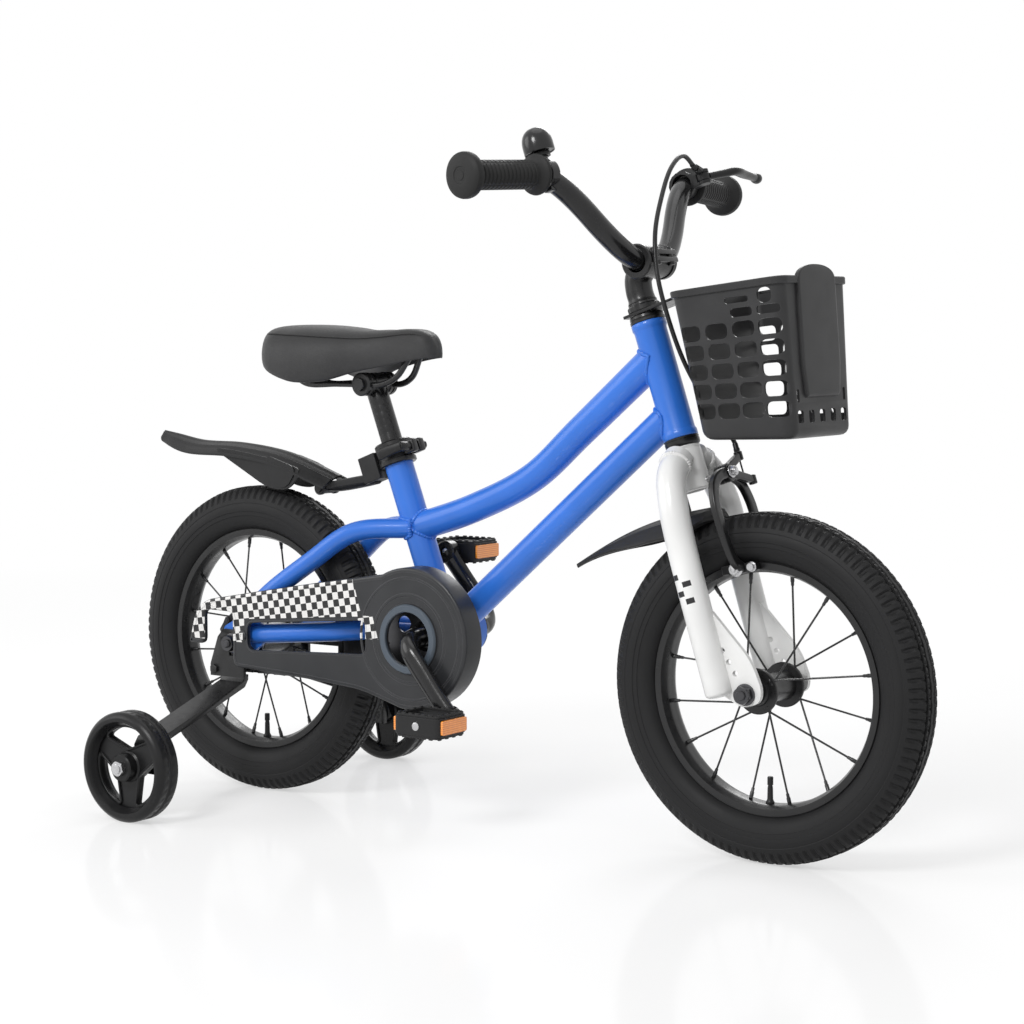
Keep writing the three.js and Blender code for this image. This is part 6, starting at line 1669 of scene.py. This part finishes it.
def rearMudguardMesh():
    look = mudguardLook
    path = smoothPath([Vector((x, 0, z)) for x, z in overWheel(look["blade"])], 9)
    work = loft(bmesh.new(), bladeRings(path, rearWidth, rearArch, upwards))
    web = rounded(overWheel(look["web"]), look["webRadii"], 7)
    rail = rounded(overWheel(look["rail"]), 12)
    for side in (-1, 1):
        plate(work, web, [], standing(side=side), 22, 24.4)
        plate(work, rail, [], standing(side=side), 24, 25.8)
    return work


# A thick hinged link along the arm, with the bolt it turns on
def linkMesh():
    x, z = overWheel([(0.33, 0.182)])[0]
    hinge, end = Vector((x + 36, 0, z - 31.2)), onSeatTube(-35, 0, 189)
    work = sweep(bmesh.new(), smoothPath([
        (*(hinge + upwards * 1.5), 9, 5), (*lerp(hinge, end, 0.25), 10, 6.6),
        (*lerp(hinge, end, 0.75), 10, 6.8), (*end, 9, 6),
    ], 6), 28, up=upwards)
    turnedRod(work, mirrored([(6.4, -15), (7.4, -14), (7.4, -10.4), (6.4, -9.6)]), hinge)
    return hexNut(work, hinge - acrossBike * 14.6, -acrossBike, 4.6, 2.4)


addPiece("rearMudguardBlade", rearMudguardMesh(), "frame", "plastic", "rear_mudguard", 34)
refined("rear_mudguard_arm", "rearMudguardStay", "frame", "plastic", 2.6, 4)
addPiece("rearMudguardLink", linkMesh(), "frame", "plastic", sharp=38)
print("rear mudguard and its arm")

# Steering group: everything here is placed along the steering axis
forkLook = {
    "crown": (212, 258.3, 17),  # from, to and radius
    "steererTop": 413.4,
    "endPlate": (46, 51),  # its two faces
    # forward, across and up, with the radius
    "legs": [
        (0, 15, 248, 15), (0, 38.2, 230, 15), (0, 50.35, 200, 15), (-2.1, 53, 160, 15), (-6.3, 53, 9, 14.1),
    ],
    "legTip": [(1.6, 0.97), (3.2, 0.86), (4.4, 0.66), (5.0, 0.3)],
    "endOutline": [(7.5, 91.5), (37.5, 30), (39.75, 0), (33.75, -12), (13.5, -12.75), (-7.5, 9), (-7.5, 60)],
    "endRadii": (6, 20, 10, 10, 10, 8, 8),
    "axleHole": 5.2,
    "drilled": [(16.2, 22.5), (12.63, 35.25), (9.06, 48)],
    "markHalf": (4.4, 2.8),
    "marks": [(-11.4, 129), (0.4, 120.4), (-9.3, 111.8), (-0.7, 103.2)],
}


def forkMesh():
    look = forkLook
    low, high, wide = look["crown"]
    start, tall, long = onSteering(0, 0, low), high - low, look["steererTop"] - low
    work = lathe(bmesh.new(), [
        (11.4, 0), (wide - 1.6, 0), (wide, 1.6), (wide, tall - 5), (wide - 0.6, tall - 3.6),
        (wide - 0.6, tall - 2), (wide, tall - 1.2), (wide - 0.6, tall), (11.4, tall),
    ], start, steerWay, 72)
    lathe(work, [(10.8, 20), (12.7, 20), (12.7, long), (10.8, long)], start, steerWay)
    corners = rounded(look["endOutline"], look["endRadii"], 7)
    holes = [shifted(circle(32, look["axleHole"]), bike["forkRake"], 0)]
    holes += [shifted(circle(24, 3), *at) for at in look["drilled"]]
    for side in sides.values():
        leg = smoothPath([steered(f, side * y, s, radius) for f, y, s, radius in look["legs"]], 14)
        sweep(work, tipped(leg, look["legTip"]), 56)
        plate(work, corners, holes, lambda u, v, w: onSteering(u, side * w, v), *look["endPlate"])
        weldBead(work, leg[6:], leg[0][3], onSteering(0, 0, 200), onSteering(0, 0, 260), wide + 0.3, count=72)
    return work


# White enamel with four black squares on the outside of the near leg
def forkEnamel(name):
    paint = enamelPaint(name, enamelLook["white"], 0.4)
    x, y, z = paint.axes()
    base, cos, sin = onSteering(0, 0, 0), math.cos(bike["headAngle"]), math.sin(bike["headAngle"])
    rise = (z - base.z) * cos - (x - base.x) * sin
    ahead = (x - base.x) * cos + (z - base.z) * sin
    long, high = forkLook["markHalf"]
    marks = sum((abs(ahead - forward) < long) * (abs(rise - up) < high) for forward, up in forkLook["marks"])
    white = Wire(paint, paint.shader.inputs["Base Color"].links[0].from_socket)
    return paint.set(BaseColor=paint.blend((marks > 0.5) * (y < -54), white, (0.012, 0.012, 0.013)))


finishes["fork"] = forkEnamel("forkEnamel")
addPiece("forkTubes", forkMesh(), "steering", "fork", "fork", 40)


def notchedNut(radius, reach, turn):
    return (radius - 0.9, reach) if radius > 16 and turn % 9 < 4 and 1 < reach < 6 else (radius, reach)


work = lathe(bmesh.new(), [
    (13, 0), (16.4, 0), (17, 0.8), (17, 1.6), (17, 5.4), (16.4, 6.2), (15.4, 7), (15.2, 9.1), (13, 9.1),
], onSteering(0, 0, 404), steerWay, 72, shape=notchedNut)
addPiece("headsetLocknut", work, "steering", "satin", "headset_locknut", 30)

stemLook = {
    "quill": 10.6,
    "column": [
        (0, 413.7, 15.2), (0, 416.6, 14.2), (0, 426, 14), (3, 438, 14), (12, 446, 14), (21, 450, 14),
    ],
    "clamp": (18, 26),  # radius and half width
    "at": (21, 450),
    "lug": (9, 44, 5.6),
}


def stemMesh():
    wide, half = stemLook["clamp"]
    forward, height = stemLook["at"]
    work = softRod(bmesh.new(), onSteering(0, 0, 345), onSteering(0, 0, 414.2), stemLook["quill"], 0.6, 40)
    sweep(work, smoothPath([steered(f, 0, s, radius) for f, s, radius in stemLook["column"]], 8), 48)
    lathe(work, mirrored([
        (11.4, -half), (wide - 1.4, -half), (wide, 1.4 - half), (wide, 6.5 - half), (wide - 1.2, 7.7 - half),
    ]), onSteering(forward, 0, height), acrossBike, 72)
    for side in (-1, 1):
        softBox(work, onSteering(37.4, 0, height + 4 * side), stemLook["lug"], 1.2, steerAxes)
        softRod(work, onSteering(38, 13 * side, 440.6), onSteering(38, 13 * side, 459.6), 3.6, 0.7)
    # the expander bolt with its socket, on top of the column
    return turnedRod(work, [
        (7.4, 0), (7.8, 0.6), (7.8, 5), (7, 6.4), (4, 6.6), (3.6, 6.2), (3.6, 2.6),
    ], onSteering(0, 0, 438.6), steerWay, 28)


addPiece("stemClamp", stemMesh(), "steering", "satin", "stem", 38)

# forward, across and up of the bar's end and its two corners, and how far each bend reaches
barLook = {
    "radius": 11.1,
    "end": (-6.55, 244, 542),
    "corner": (12.45, 118.5, 542),
    "knee": (21, 38, 450),
    "bend": 26,
    "easing": 58,
}


# A place on the straight end of the bar, measured across the bike
def onBar(side, reach, forward=0, rise=0):
    corner, end = barLook["corner"], barLook["end"]
    along = lerp(corner[0], end[0], (reach - corner[1]) / (end[1] - corner[1]))
    return onSteering(along + forward, side * reach, end[2] + rise)


# Corners eased into bends; each is reached for further along the rising parts of the bar
def bentPath(corners, reaches, steps):
    path = [corners[0]]
    for before, corner, after, (towards, away) in zip(corners, corners[1:], corners[2:], reaches):
        back, ahead = (before - corner).normalized(), (after - corner).normalized()
        start, end = corner + back * towards, corner + ahead * away
        for step in range(steps + 1):
            share = step / steps
            path.append(lerp(lerp(start, corner, share), lerp(corner, end, share), share))
    return [*path, corners[-1]]


def handlebarMesh():
    spots = [barLook[name] for name in ("end", "corner", "knee")]
    spots = [onSteering(f, -y, s) for f, y, s in spots] + [onSteering(*spot) for spot in spots[::-1]]
    short, long = barLook["bend"], barLook["easing"]
    path = bentPath(spots, [(short, long), (long, short)] * 2, 18)
    return sweep(bmesh.new(), [(*place, barLook["radius"]) for place in path], 48)


addPiece("handlebarTube", handlebarMesh(), "steering", "gloss", "handlebar", 45)

gripLook = {"length": 104, "radius": 14.5, "flange": 20.5, "knob": 22.5, "ribs": 14, "ribDepth": 1.1}


def gripMesh(side):
    look = gripLook
    end = onBar(side, barLook["end"][1])
    away = (end - onBar(side, barLook["corner"][1])).normalized()
    inner, radius, knob, flange = -look["length"], look["radius"], look["knob"], look["flange"]
    start, stop, depth = inner + 12, -16, look["ribDepth"]
    pitch = (stop - start) / look["ribs"]
    ribs = [
        (radius - sunk, start + pitch * (rib + share))
        for rib in range(look["ribs"]) for share, sunk in ((0, depth), (0.18, 0), (0.72, 0), (0.9, depth))
    ]

    # two smooth bands run along the ribbed barrel
    def banded(r, reach, turn):
        inBand = start - 1 < reach < stop + 1 and turn % 30 < 3 and r < radius + 0.1
        return (radius - depth * 0.3, reach) if inBand else (r, reach)

    return lathe(bmesh.new(), [
        (11.4, inner), (flange - 1.6, inner), (flange - 0.4, inner + 0.7), (flange, inner + 2.2),
        (flange - 0.5, inner + 4.2), (flange - 2.4, inner + 5.6), (radius + 0.8, inner + 8),
        (radius - 0.4, inner + 10), *ribs, (radius, -14.5), (radius + 2.4, -12), (knob - 3, -9.6),
        (knob - 0.6, -7.4), (knob, -5), (knob, -1.6), (knob - 0.5, 0.4), (knob - 2.2, 2), (knob - 5, 3.2),
        (10, 4), (8.6, 4), (8, 3.4), (5, 3.4), (4.4, 4), (0.01, 4), (0.01, 0.3), (11.4, 0.3),
    ], end, away, 120, shape=banded)


for name, side in sides.items():
    addPiece(f"gripRibbed.{name}", gripMesh(side), "steering", "grip", f"grip_{name}", 32)
print("fork, stem, handlebar and grips")

basketLook = {
    "reach": 62,
    "floor": 250,
    "lean": math.radians(6),
    "height": 148,
    "depth": (97, 119),  # at the floor and at the top, like the next two
    "drop": (19, 11),
    "half": (72, 80),
    "frontShare": 0.88,
    "wall": 2.6,
    "corner": 14,
    "edge": 9,
    "lip": 7,
    "panelHalf": 38,
    "panelLow": 37,
    "hump": 10,
    "columns": (0.13, 0.38, 0.63, 0.87),
    "rows": [28 + 19 * row for row in range(5)],
    # a window's length, height and corner radius; the others begin with their rise or share and rise
    "window": (23, 15.2, 6.2),
    "topWindow": (119.6, 23, 8.6, 4),
    "slotAndHole": [(0.6, 131.4, 25, 6, 2.8), (0.85, 132.4, 15, 15, 7.2)],
}


def onBasket(forward, side, rise):
    look = basketLook
    cos, sin = math.cos(look["lean"]), math.sin(look["lean"])
    along, up = forward * cos + rise * sin, rise * cos - forward * sin
    return onSteering(look["reach"] + along, side, look["floor"] + up)


def basketSize(rise):
    share = rise / basketLook["height"]
    return [lerp(*basketLook[name], share) for name in ("depth", "drop", "half")]


def basketPoint(share, side, rise):
    depth, drop, _ = basketSize(rise)
    return onBasket(share * depth, side, rise - share * drop)


def basketRing(rise, growth):
    depth, _, half = basketSize(rise)
    front = half * basketLook["frontShare"] + growth
    radius = basketLook["corner"] + growth
    ring = []
    for end, side, quarter in ((0, -1, 2), (1, -1, 3), (1, 1, 0), (0, 1, 1)):
        forward = depth + growth - radius if end else radius - growth
        across = side * ((front if end else half + growth) - radius)
        for step in range(9):
            angle = (quarter + step / 8) * math.pi / 2
            place = forward + radius * math.cos(angle)
            ring.append(basketPoint(place / depth, across + radius * math.sin(angle), rise))
    return ring


# A rounded block through one side wall
def windowCutter(work, side, share, rise, length, height, radius):
    _, _, half = basketSize(rise)
    shape = rectangle(-length / 2, length / 2, -height / 2, height / 2, radius)
    ahead = (basketPoint(min(share + 0.1, 1), 0, rise) - basketPoint(share - 0.1, 0, rise)).normalized()
    up = ahead.cross(acrossBike)
    middle = basketPoint(share, 0, rise)
    loft(work, [
        [middle + ahead * u + up * v + acrossBike * side * reach for u, v in shape]
        for reach in (half * 0.78, half * 1.2)
    ])


def basketMesh():
    look = basketLook
    high, wall, edge = look["height"], look["wall"], look["edge"]
    outside = [(0, -edge), (0.7, -edge * 0.62), (2.6, -edge * 0.29), (5.6, -edge * 0.07), (edge, 0)]
    rows = [*outside, *((lerp(edge, high, i / 6), 0) for i in range(1, 7)), (high, -wall)]
    rows += [(lerp(edge + wall, high, i / 6), -wall) for i in (5, 4, 3, 2, 1)]
    rows += [(rise + wall, growth - wall) for rise, growth in reversed(outside)]
    shell = loft(bmesh.new(), [basketRing(*row) for row in rows])
    cutter = bmesh.new()
    windows = [(column, rise, *look["window"]) for column in look["columns"] for rise in look["rows"]]
    windows += [(column, *look["topWindow"]) for column in look["columns"][2:]] + look["slotAndHole"]
    for side in (-1, 1):
        for window in windows:
            windowCutter(cutter, side, *window)
    # slots in the floor, a row through the front wall under the panel, and a slit above each end of it
    slots = [
        (lerp(0.2, 0.8, along / 4), 36 * across, 1.4, (8, 26, 16), 2.4)
        for along in range(5) for across in (-1, 0, 1)
    ]
    slots += [(1, 22 * across, 20, (16, 11, 12.5), 2.6) for across in (-2, -1, 0, 1, 2)]
    slots += [(1, 47 * side, 39, (16, 5, 13), 2) for side in (-1, 1)]
    ahead = (basketPoint(1, 0, 60) - basketPoint(0, 0, 60)).normalized()
    for share, across, rise, size, radius in slots:
        axes = (ahead, acrossBike, ahead.cross(acrossBike))
        softBox(cutter, basketPoint(share, across, rise), size, radius, axes)
    return carved(shell, cutter)


# The rolled rim, and the smooth raised panel down the front with a hump above the rim
def trimMesh():
    look = basketLook
    high, wall, half, start = look["height"], look["wall"], look["panelHalf"], look["panelLow"]
    low = high - look["lip"]
    profile = [
        (low, 0.2), (low, wall - 0.5), (low + 0.6, wall), (high - 1.2, wall), (high - 0.2, wall - 0.8),
        (high, wall - 2), (high, -wall + 0.4), (high - 0.8, -wall), (high - 3, -wall),
    ]
    work = loft(bmesh.new(), [basketRing(*row) for row in profile], joinEnds=True)
    rings = []
    for rise, share in ((0, 0.3), (0.6, 0.7), (1.8, 0.95), (3.4, 1), (30, 1), (60, 1), (high - 8 - start, 1)):
        rings.append(panelRing(start + rise, half - 6 * (1 - eased(rise / 9)), wall * 1.5 * share))
    for share in (0, 0.15, 0.3, 0.45, 0.6, 0.72, 0.82, 0.9, 0.96, 0.99, 1):
        wide = lerp(half, half * 0.16, 1 - math.sqrt(max(0.0, 1 - share ** 2.2)))
        thick = wall * 1.5 * (1 - 0.35 * share ** 3)
        rings.append(panelRing(high - 4 + share * (look["hump"] + 4), wide, thick))
    return loft(work, rings)


def panelRing(rise, half, thick, corner=3.4, edge=1.2):
    ring = []
    for side, turns in ((1, range(7)), (-1, range(6, -1, -1))):
        for step in turns:
            angle = step / 6 * math.pi / 2
            across = side * (half - corner + corner * math.cos(angle))
            ring.append(basketPoint(1, across, rise) + steerForward * (thick - edge + edge * math.sin(angle)))
    back = steerForward * basketLook["wall"] / 2
    return [*ring, basketPoint(1, -half, rise) - back, basketPoint(1, half, rise) - back]


addPiece("basketShell", basketMesh(), "steering", "basket", "basket", edge=0.7)
addPiece("basketRim", trimMesh(), "steering", "basket")
refined("basket_bracket", "basketBracketStrip", "steering", "satin", 0.6)
print("basket with its rim, front panel and bracket")


# Front mudguard: one blade behind the fork, with its tab on the brake bolt
def frontWidth(share):
    narrowing = 1 - 0.9 * eased((share - 0.3) / 0.78) - 0.1 * share
    return max(mudguardLook["frontHalf"] * (0.6 + 0.4 * roundedStart(share, 0.06)) * narrowing, 1.2)


def frontArch(share):
    swell = 1 + 1.5 * eased(share / 0.25) * (1 - share)
    return mudguardLook["frontArch"] * swell * (1 - 0.9 * eased(share * 2 - 1))


path = [
    onSteering(21 - share * 186, 0, 190 - 10 * share ** 1.5 + 9 * math.sin(math.pi * share))
    for share in [i / 30 for i in range(31)]
]
work = loft(bmesh.new(), bladeRings(path, frontWidth, frontArch, steerWay))
softBox(work, onSteering(-18.5, 0, 208.2), (2.4, 20, 42), 1, steerAxes)
addPiece("frontMudguardBlade", work, "steering", "plastic", "front_mudguard", 34)

# Brake: two forged arms curved round the tyre, each with its pad and a bright nut
brakeLook = {
    "rise": 219,
    "half": 3.5,
    # across and up, with the arm's half width
    "curve": [
        (0, 219, 5.6), (17.64, 217.5, 5.6), (32.76, 208.5, 5.6), (41.16, 189, 5.6), (42, 167, 5.6),
        (40.32, 145, 5.376), (35.28, 128.9, 5.6), (25, 121.9, 5.04),
    ],
    "lobe": [(0, 5), (0.5, 4.4), (0.86, 4), (1, 3.4)],
    "pad": (37.5, 121.9),
    "padTilt": math.radians(7.7),
    "padSize": (40, 8, 9),
    # where each arm starts along the bolt, and where its cable end is
    "arms": {"left": (30, 44, 236.6), "right": (38, 44, 209)},
}


def brakeArmMesh(side, start, lobeAcross, lobeRise):
    look = brakeLook
    thin = look["half"]
    middle = start + thin
    section = rectangle(-1, 1, -1, 1, 0.5, 5)
    path = smoothPath([(*onSteering(middle, side * y, s), half, thin) for y, s, half in look["curve"]], 6)
    work = sweep(bmesh.new(), path, up=steerForward, ring=section)
    pivot, end = onSteering(middle, 0, look["rise"]), onSteering(middle, lobeAcross, lobeRise)
    lobe = [(*lerp(pivot, end, share), half, thin * 0.94) for share, half in look["lobe"]]
    sweep(work, smoothPath(lobe, 4), up=steerForward, ring=section)
    collar(work, 4.1, 9.6, thin, 0.8, pivot, steerForward)
    collar(work, 1.5, 4.4, 4.8, 0.8, end, steerWay, 24)
    long, deep, high = look["padSize"]
    ahead = steerForward * math.cos(look["padTilt"]) - steerWay * math.sin(look["padTilt"])
    axes = (ahead, acrossBike, ahead.cross(acrossBike))
    forward, rise = look["pad"]
    pad = onSteering(forward, side * (17 + deep / 2), rise)
    softBox(work, pad, (long, deep, high), 1.4, axes)
    for notch in (-0.28, 0.28):
        softBox(work, pad + ahead * long * notch, (2.4, deep - 0.1, high + 0.6), 0.4, axes)
    return work


def padNutMesh(side):
    forward, rise = brakeLook["pad"]
    way = acrossBike * side
    nutAt = onSteering(forward - 1, side * 28.6, rise)
    work = hexNut(bmesh.new(), nutAt, way, 5.6, 4.4, 7.6, 1.2)
    softRod(work, nutAt, nutAt + way * 7.4, 2.6, 0.5, 18)
    return hexNut(work, onSteering(forward + 15, side * 24.8, rise - 2), way, 4.2, 3.4, 5.2, 0.8)


for name, arm in brakeLook["arms"].items():
    side, body = sides[name], f"{name}_brake_arm"
    addPiece(f"brakeArmForged.{name}", brakeArmMesh(side, *arm), body, "satin", f"brake_arm_{name}", 38)
    addPiece(f"brakePadNut.{name}", padNutMesh(side), body, "steel", sharp=30)
boltAt = lambda forward: onSteering(forward, 0, brakeLook["rise"])
work = softRod(bmesh.new(), boltAt(-19.4), boltAt(52), 3.5, 0.5)
hexNut(work, boltAt(-20), -steerForward, 6.5, 4.6)
hexNut(work, boltAt(45.6), steerForward, 5.4, 4.6, 6.6, 1)
addPiece("brakeBolt", work, "steering", "steel", "brake_bolt", 30)
refined("brake_lever_mount", "brakeLeverMount", "steering", "smoothPlastic", 0.9, 3)

# Lever: a boss on its pin and a broad blade that ends in a ball
leverLook = {
    "pivot": (131.2, 26),
    "knee": (161.2, 52.5),
    "tip": (232, 50),
    # shares of the way from pivot to knee and from knee to tip, with both radii
    "inner": [(0.18, 4.4, 3.8), (0.7, 5.4, 4.2)],
    "outer": [
        (0, 5.8, 4.4), (0.4, 5.6, 4.2), (0.78, 4.8, 3.8), (0.86, 4.6, 4), (0.9, 5.6, 5.2), (0.96, 6.2, 6),
        (1.02, 5.4, 5.2), (1.06, 3, 2.8),
    ],
}
leverPivot, leverKnee, leverTip = (onBar(1, *leverLook[name]) for name in ("pivot", "knee", "tip"))
work = collar(bmesh.new(), 3.5, 7, 4, 0.8, leverPivot, steerWay, 40)
blade = [(*lerp(leverPivot, leverKnee, share), *radii) for share, *radii in leverLook["inner"]]
blade += [(*lerp(leverKnee, leverTip, share), *radii) for share, *radii in leverLook["outer"]]
sweep(work, smoothPath(blade, 5), 28, up=steerWay)
addPiece("brakeLeverBlade", work, "brake_lever", "smoothPlastic", "brake_lever", 42)

# Brake cable: housing, ferrules and the bare wire at the brake
cableLook = {
    "radius": 2.4,
    "wire": 0.9,
    "end": (33.5, 44, 241.4),
    # how far forward and across it goes and between which heights, then its route in shares of these
    "reach": (46, 131.2, 241.4, 550.7),
    "route": [
        (1, 0.649, 1.03), (1.04, 0.382, 0.981), (1, 0.115, 0.868), (0.957, -0.107, 0.739),
        (0.87, -0.183, 0.61), (0.826, -0.183, 0.48), (0.826, -0.137, 0.319), (0.826, 0, 0.189),
        (0.783, 0.198, 0.099),
    ],
    "ferrule": [(2.9, 0), (3.3, 0.5), (3.3, 3), (2.9, 3.5), (2.9, 8), (2.6, 9)],
    "wireRises": (243, 232, 224, 218.4),
}


def cableMesh():
    look = cableLook
    barrelWay = (steerForward * 0.15 - acrossBike + steerWay * 0.2).normalized()
    long, wide, low, high = look["reach"]
    forward, across, rise = look["end"]
    route = [leverPivot + barrelWay * 16.9 + steerWay * 5.46]
    route += [onSteering(long * f, wide * a, lerp(low, high, r)) for f, a, r in look["route"]]
    route += [onSteering(forward, across, rise + 9), onSteering(forward, across, rise)]
    work = sweep(bmesh.new(), smoothPath([(*place, look["radius"]) for place in route], 16), 16)
    for place, ahead in ((route[0], route[1]), (route[-1], route[-2])):
        turnedRod(work, look["ferrule"], place, ahead - place, 20)
    return sweep(work, [(*onSteering(forward, across, up), look["wire"]) for up in look["wireRises"]], 10)


addPiece("brakeCable", cableMesh(), "steering", "smoothPlastic", "brake_cable", 40)

# Bell: a black dome on a band round the bar, with its thumb lever below
bellLook = {
    "reach": 129,
    "band": [(11.4, -5.5), (14, -5.5), (14.9, -4.8)],
    "dome": [
        (13.8, 0.8), (14.2, 0), (15.3, 0.2), (15.5, 1), (15.5, 9), (15.2, 12.4), (14.4, 16), (12.9, 19.4),
        (10.6, 22.4), (7.4, 24.6), (4, 25.6), (3.6, 25.4), (3, 25.4), (2.6, 26), (0.6, 26),
    ],
}
bellAt = lambda rise: onBar(-1, bellLook["reach"], 0, rise)
barWay = onBar(-1, bellLook["reach"] + 1) - bellAt(0)
work = lathe(bmesh.new(), mirrored(bellLook["band"]), bellAt(0), barWay)
softBox(work, bellAt(-15.6), (10, 9, 5), 1.2, steerAxes)
softRod(work, bellAt(12), bellAt(22.4), 6.5, 0.6, 28)
turnedRod(work, bellLook["dome"], bellAt(22), steerWay, 64)
addPiece("bellDome", work, "steering", "gloss", "bell", 32)
refined("bell_lever", "bellThumbLever", "bell_lever", "smoothPlastic", 0.9, 3)
print("mudguard, brake, cable and bell")

# Studio: a white floor that keeps a faint shadow and reflection, and soft lamps
stageLook = {
    "middle": (0.33, 0),
    "floorRadius": 14,
    "floorTone": 0.8,
    "shadowShare": 0.42,
    "gloss": 0.06,
    "fade": (900, 2600),
    "world": 0.45,
    "aim": (0.33, 0, 0.3),
}
white = (1, 1, 1)


def mixed(paint, share, first, second):
    return paint.node("ShaderNodeMixShader", {}, {0: share, 1: first, 2: second})["Shader"]


def whiteFloor():
    look = stageLook
    paint = newPaint("studioFloor")
    away = paint.node("ShaderNodeVectorMath", {"operation": "LENGTH"}, {0: paint.place})["Value"]
    nearness = paint.spread(away * 1000, 1, 0, *look["fade"])
    paint.set(BaseColor=paint.clouded(paint.noise(400), (look["floorTone"],) * 3, 1, 0.98), Roughness=0.6)
    flat = paint.node("ShaderNodeEmission", {}, {"Color": white, "Strength": 1.0})["Emission"]
    lit = paint.node("ShaderNodeBsdfDiffuse", {}, {"Color": white})["BSDF"]
    mirror = paint.node("ShaderNodeBsdfGlossy", {}, {"Color": white, "Roughness": 0.12})["BSDF"]
    sheen = mixed(paint, look["gloss"], mixed(paint, look["shadowShare"], flat, lit), mirror)
    seen = mixed(paint, nearness, flat, sheen)
    result = mixed(paint, paint.seenRay(), Wire(paint, paint.shader.outputs[0]), seen)
    paint.feed(paint.tree.nodes["Material Output"].inputs["Surface"], result)
    work = bmesh.new()
    spots = shifted(circle(96, look["floorRadius"]), *look["middle"])
    work.faces.new([work.verts.new((*spot, 0)) for spot in spots])
    floor = looseObject("studioFloor", work)
    floor.data.materials.append(paint.owner)


def studioWorld():
    world = bpy.data.worlds.new("studioWorld")
    scene.world = world
    paint = Paint(world)
    soft, plain = (
        paint.node("ShaderNodeBackground", {}, {"Color": white, "Strength": strength})["Background"]
        for strength in (stageLook["world"], 1)
    )
    paint.feed(paint.tree.nodes["World Output"].inputs["Surface"], mixed(paint, paint.seenRay(), soft, plain))


# Lamps: place, size and power
lampLook = {
    "key": ((0.4, -2.8, 2.3), 1.1, 58),
    "fill": ((-2.2, -2.0, 1.5), 2.0, 24),
    "rear": ((-0.6, 2.6, 2.3), 1.6, 34),
    "top": ((0.3, 0.0, 3.0), 2.2, 12),
}


def studioLamps():
    for name, (place, size, power) in lampLook.items():
        data = bpy.data.lights.new(name, "AREA")
        data.shape = "DISK"
        data.size = size
        data.energy = power
        lamp = bpy.data.objects.new(f"{name}Lamp", data)
        scene.collection.objects.link(lamp)
        lamp.location = place
        lamp.rotation_euler = (Vector(stageLook["aim"]) - lamp.location).to_track_quat("-Z", "Y").to_euler()


# The photograph's viewpoint, found from the wheels and the frame in it
cameraLook = {
    "place": (1.8143, -2.0532, 0.5478),
    "yaw": 0.6190,
    "pitch": 0.0826,
    "roll": -0.0027,
    "lens": 82.93,
}


def photoCamera():
    look = cameraLook
    data = bpy.data.cameras.new("photoCamera")
    data.lens = look["lens"]
    data.sensor_width = 36
    data.clip_start = 0.05
    camera = bpy.data.objects.new("photoCamera", data)
    scene.collection.objects.link(camera)
    yaw, pitch = look["yaw"], look["pitch"]
    ahead = Vector((-math.sin(yaw) * math.cos(pitch), math.cos(yaw) * math.cos(pitch), -math.sin(pitch)))
    right = Vector((math.cos(yaw), math.sin(yaw), 0))
    turn = Matrix((right, right.cross(ahead), -ahead)).transposed() @ Matrix.Rotation(look["roll"], 3, "Z")
    camera.matrix_world = Matrix.Translation(look["place"]) @ turn.to_4x4()
    scene.camera = camera


whiteFloor()
studioWorld()
studioLamps()
photoCamera()
scene.view_settings.view_transform = "Standard"
print("studio: floor, world, lamps and camera")
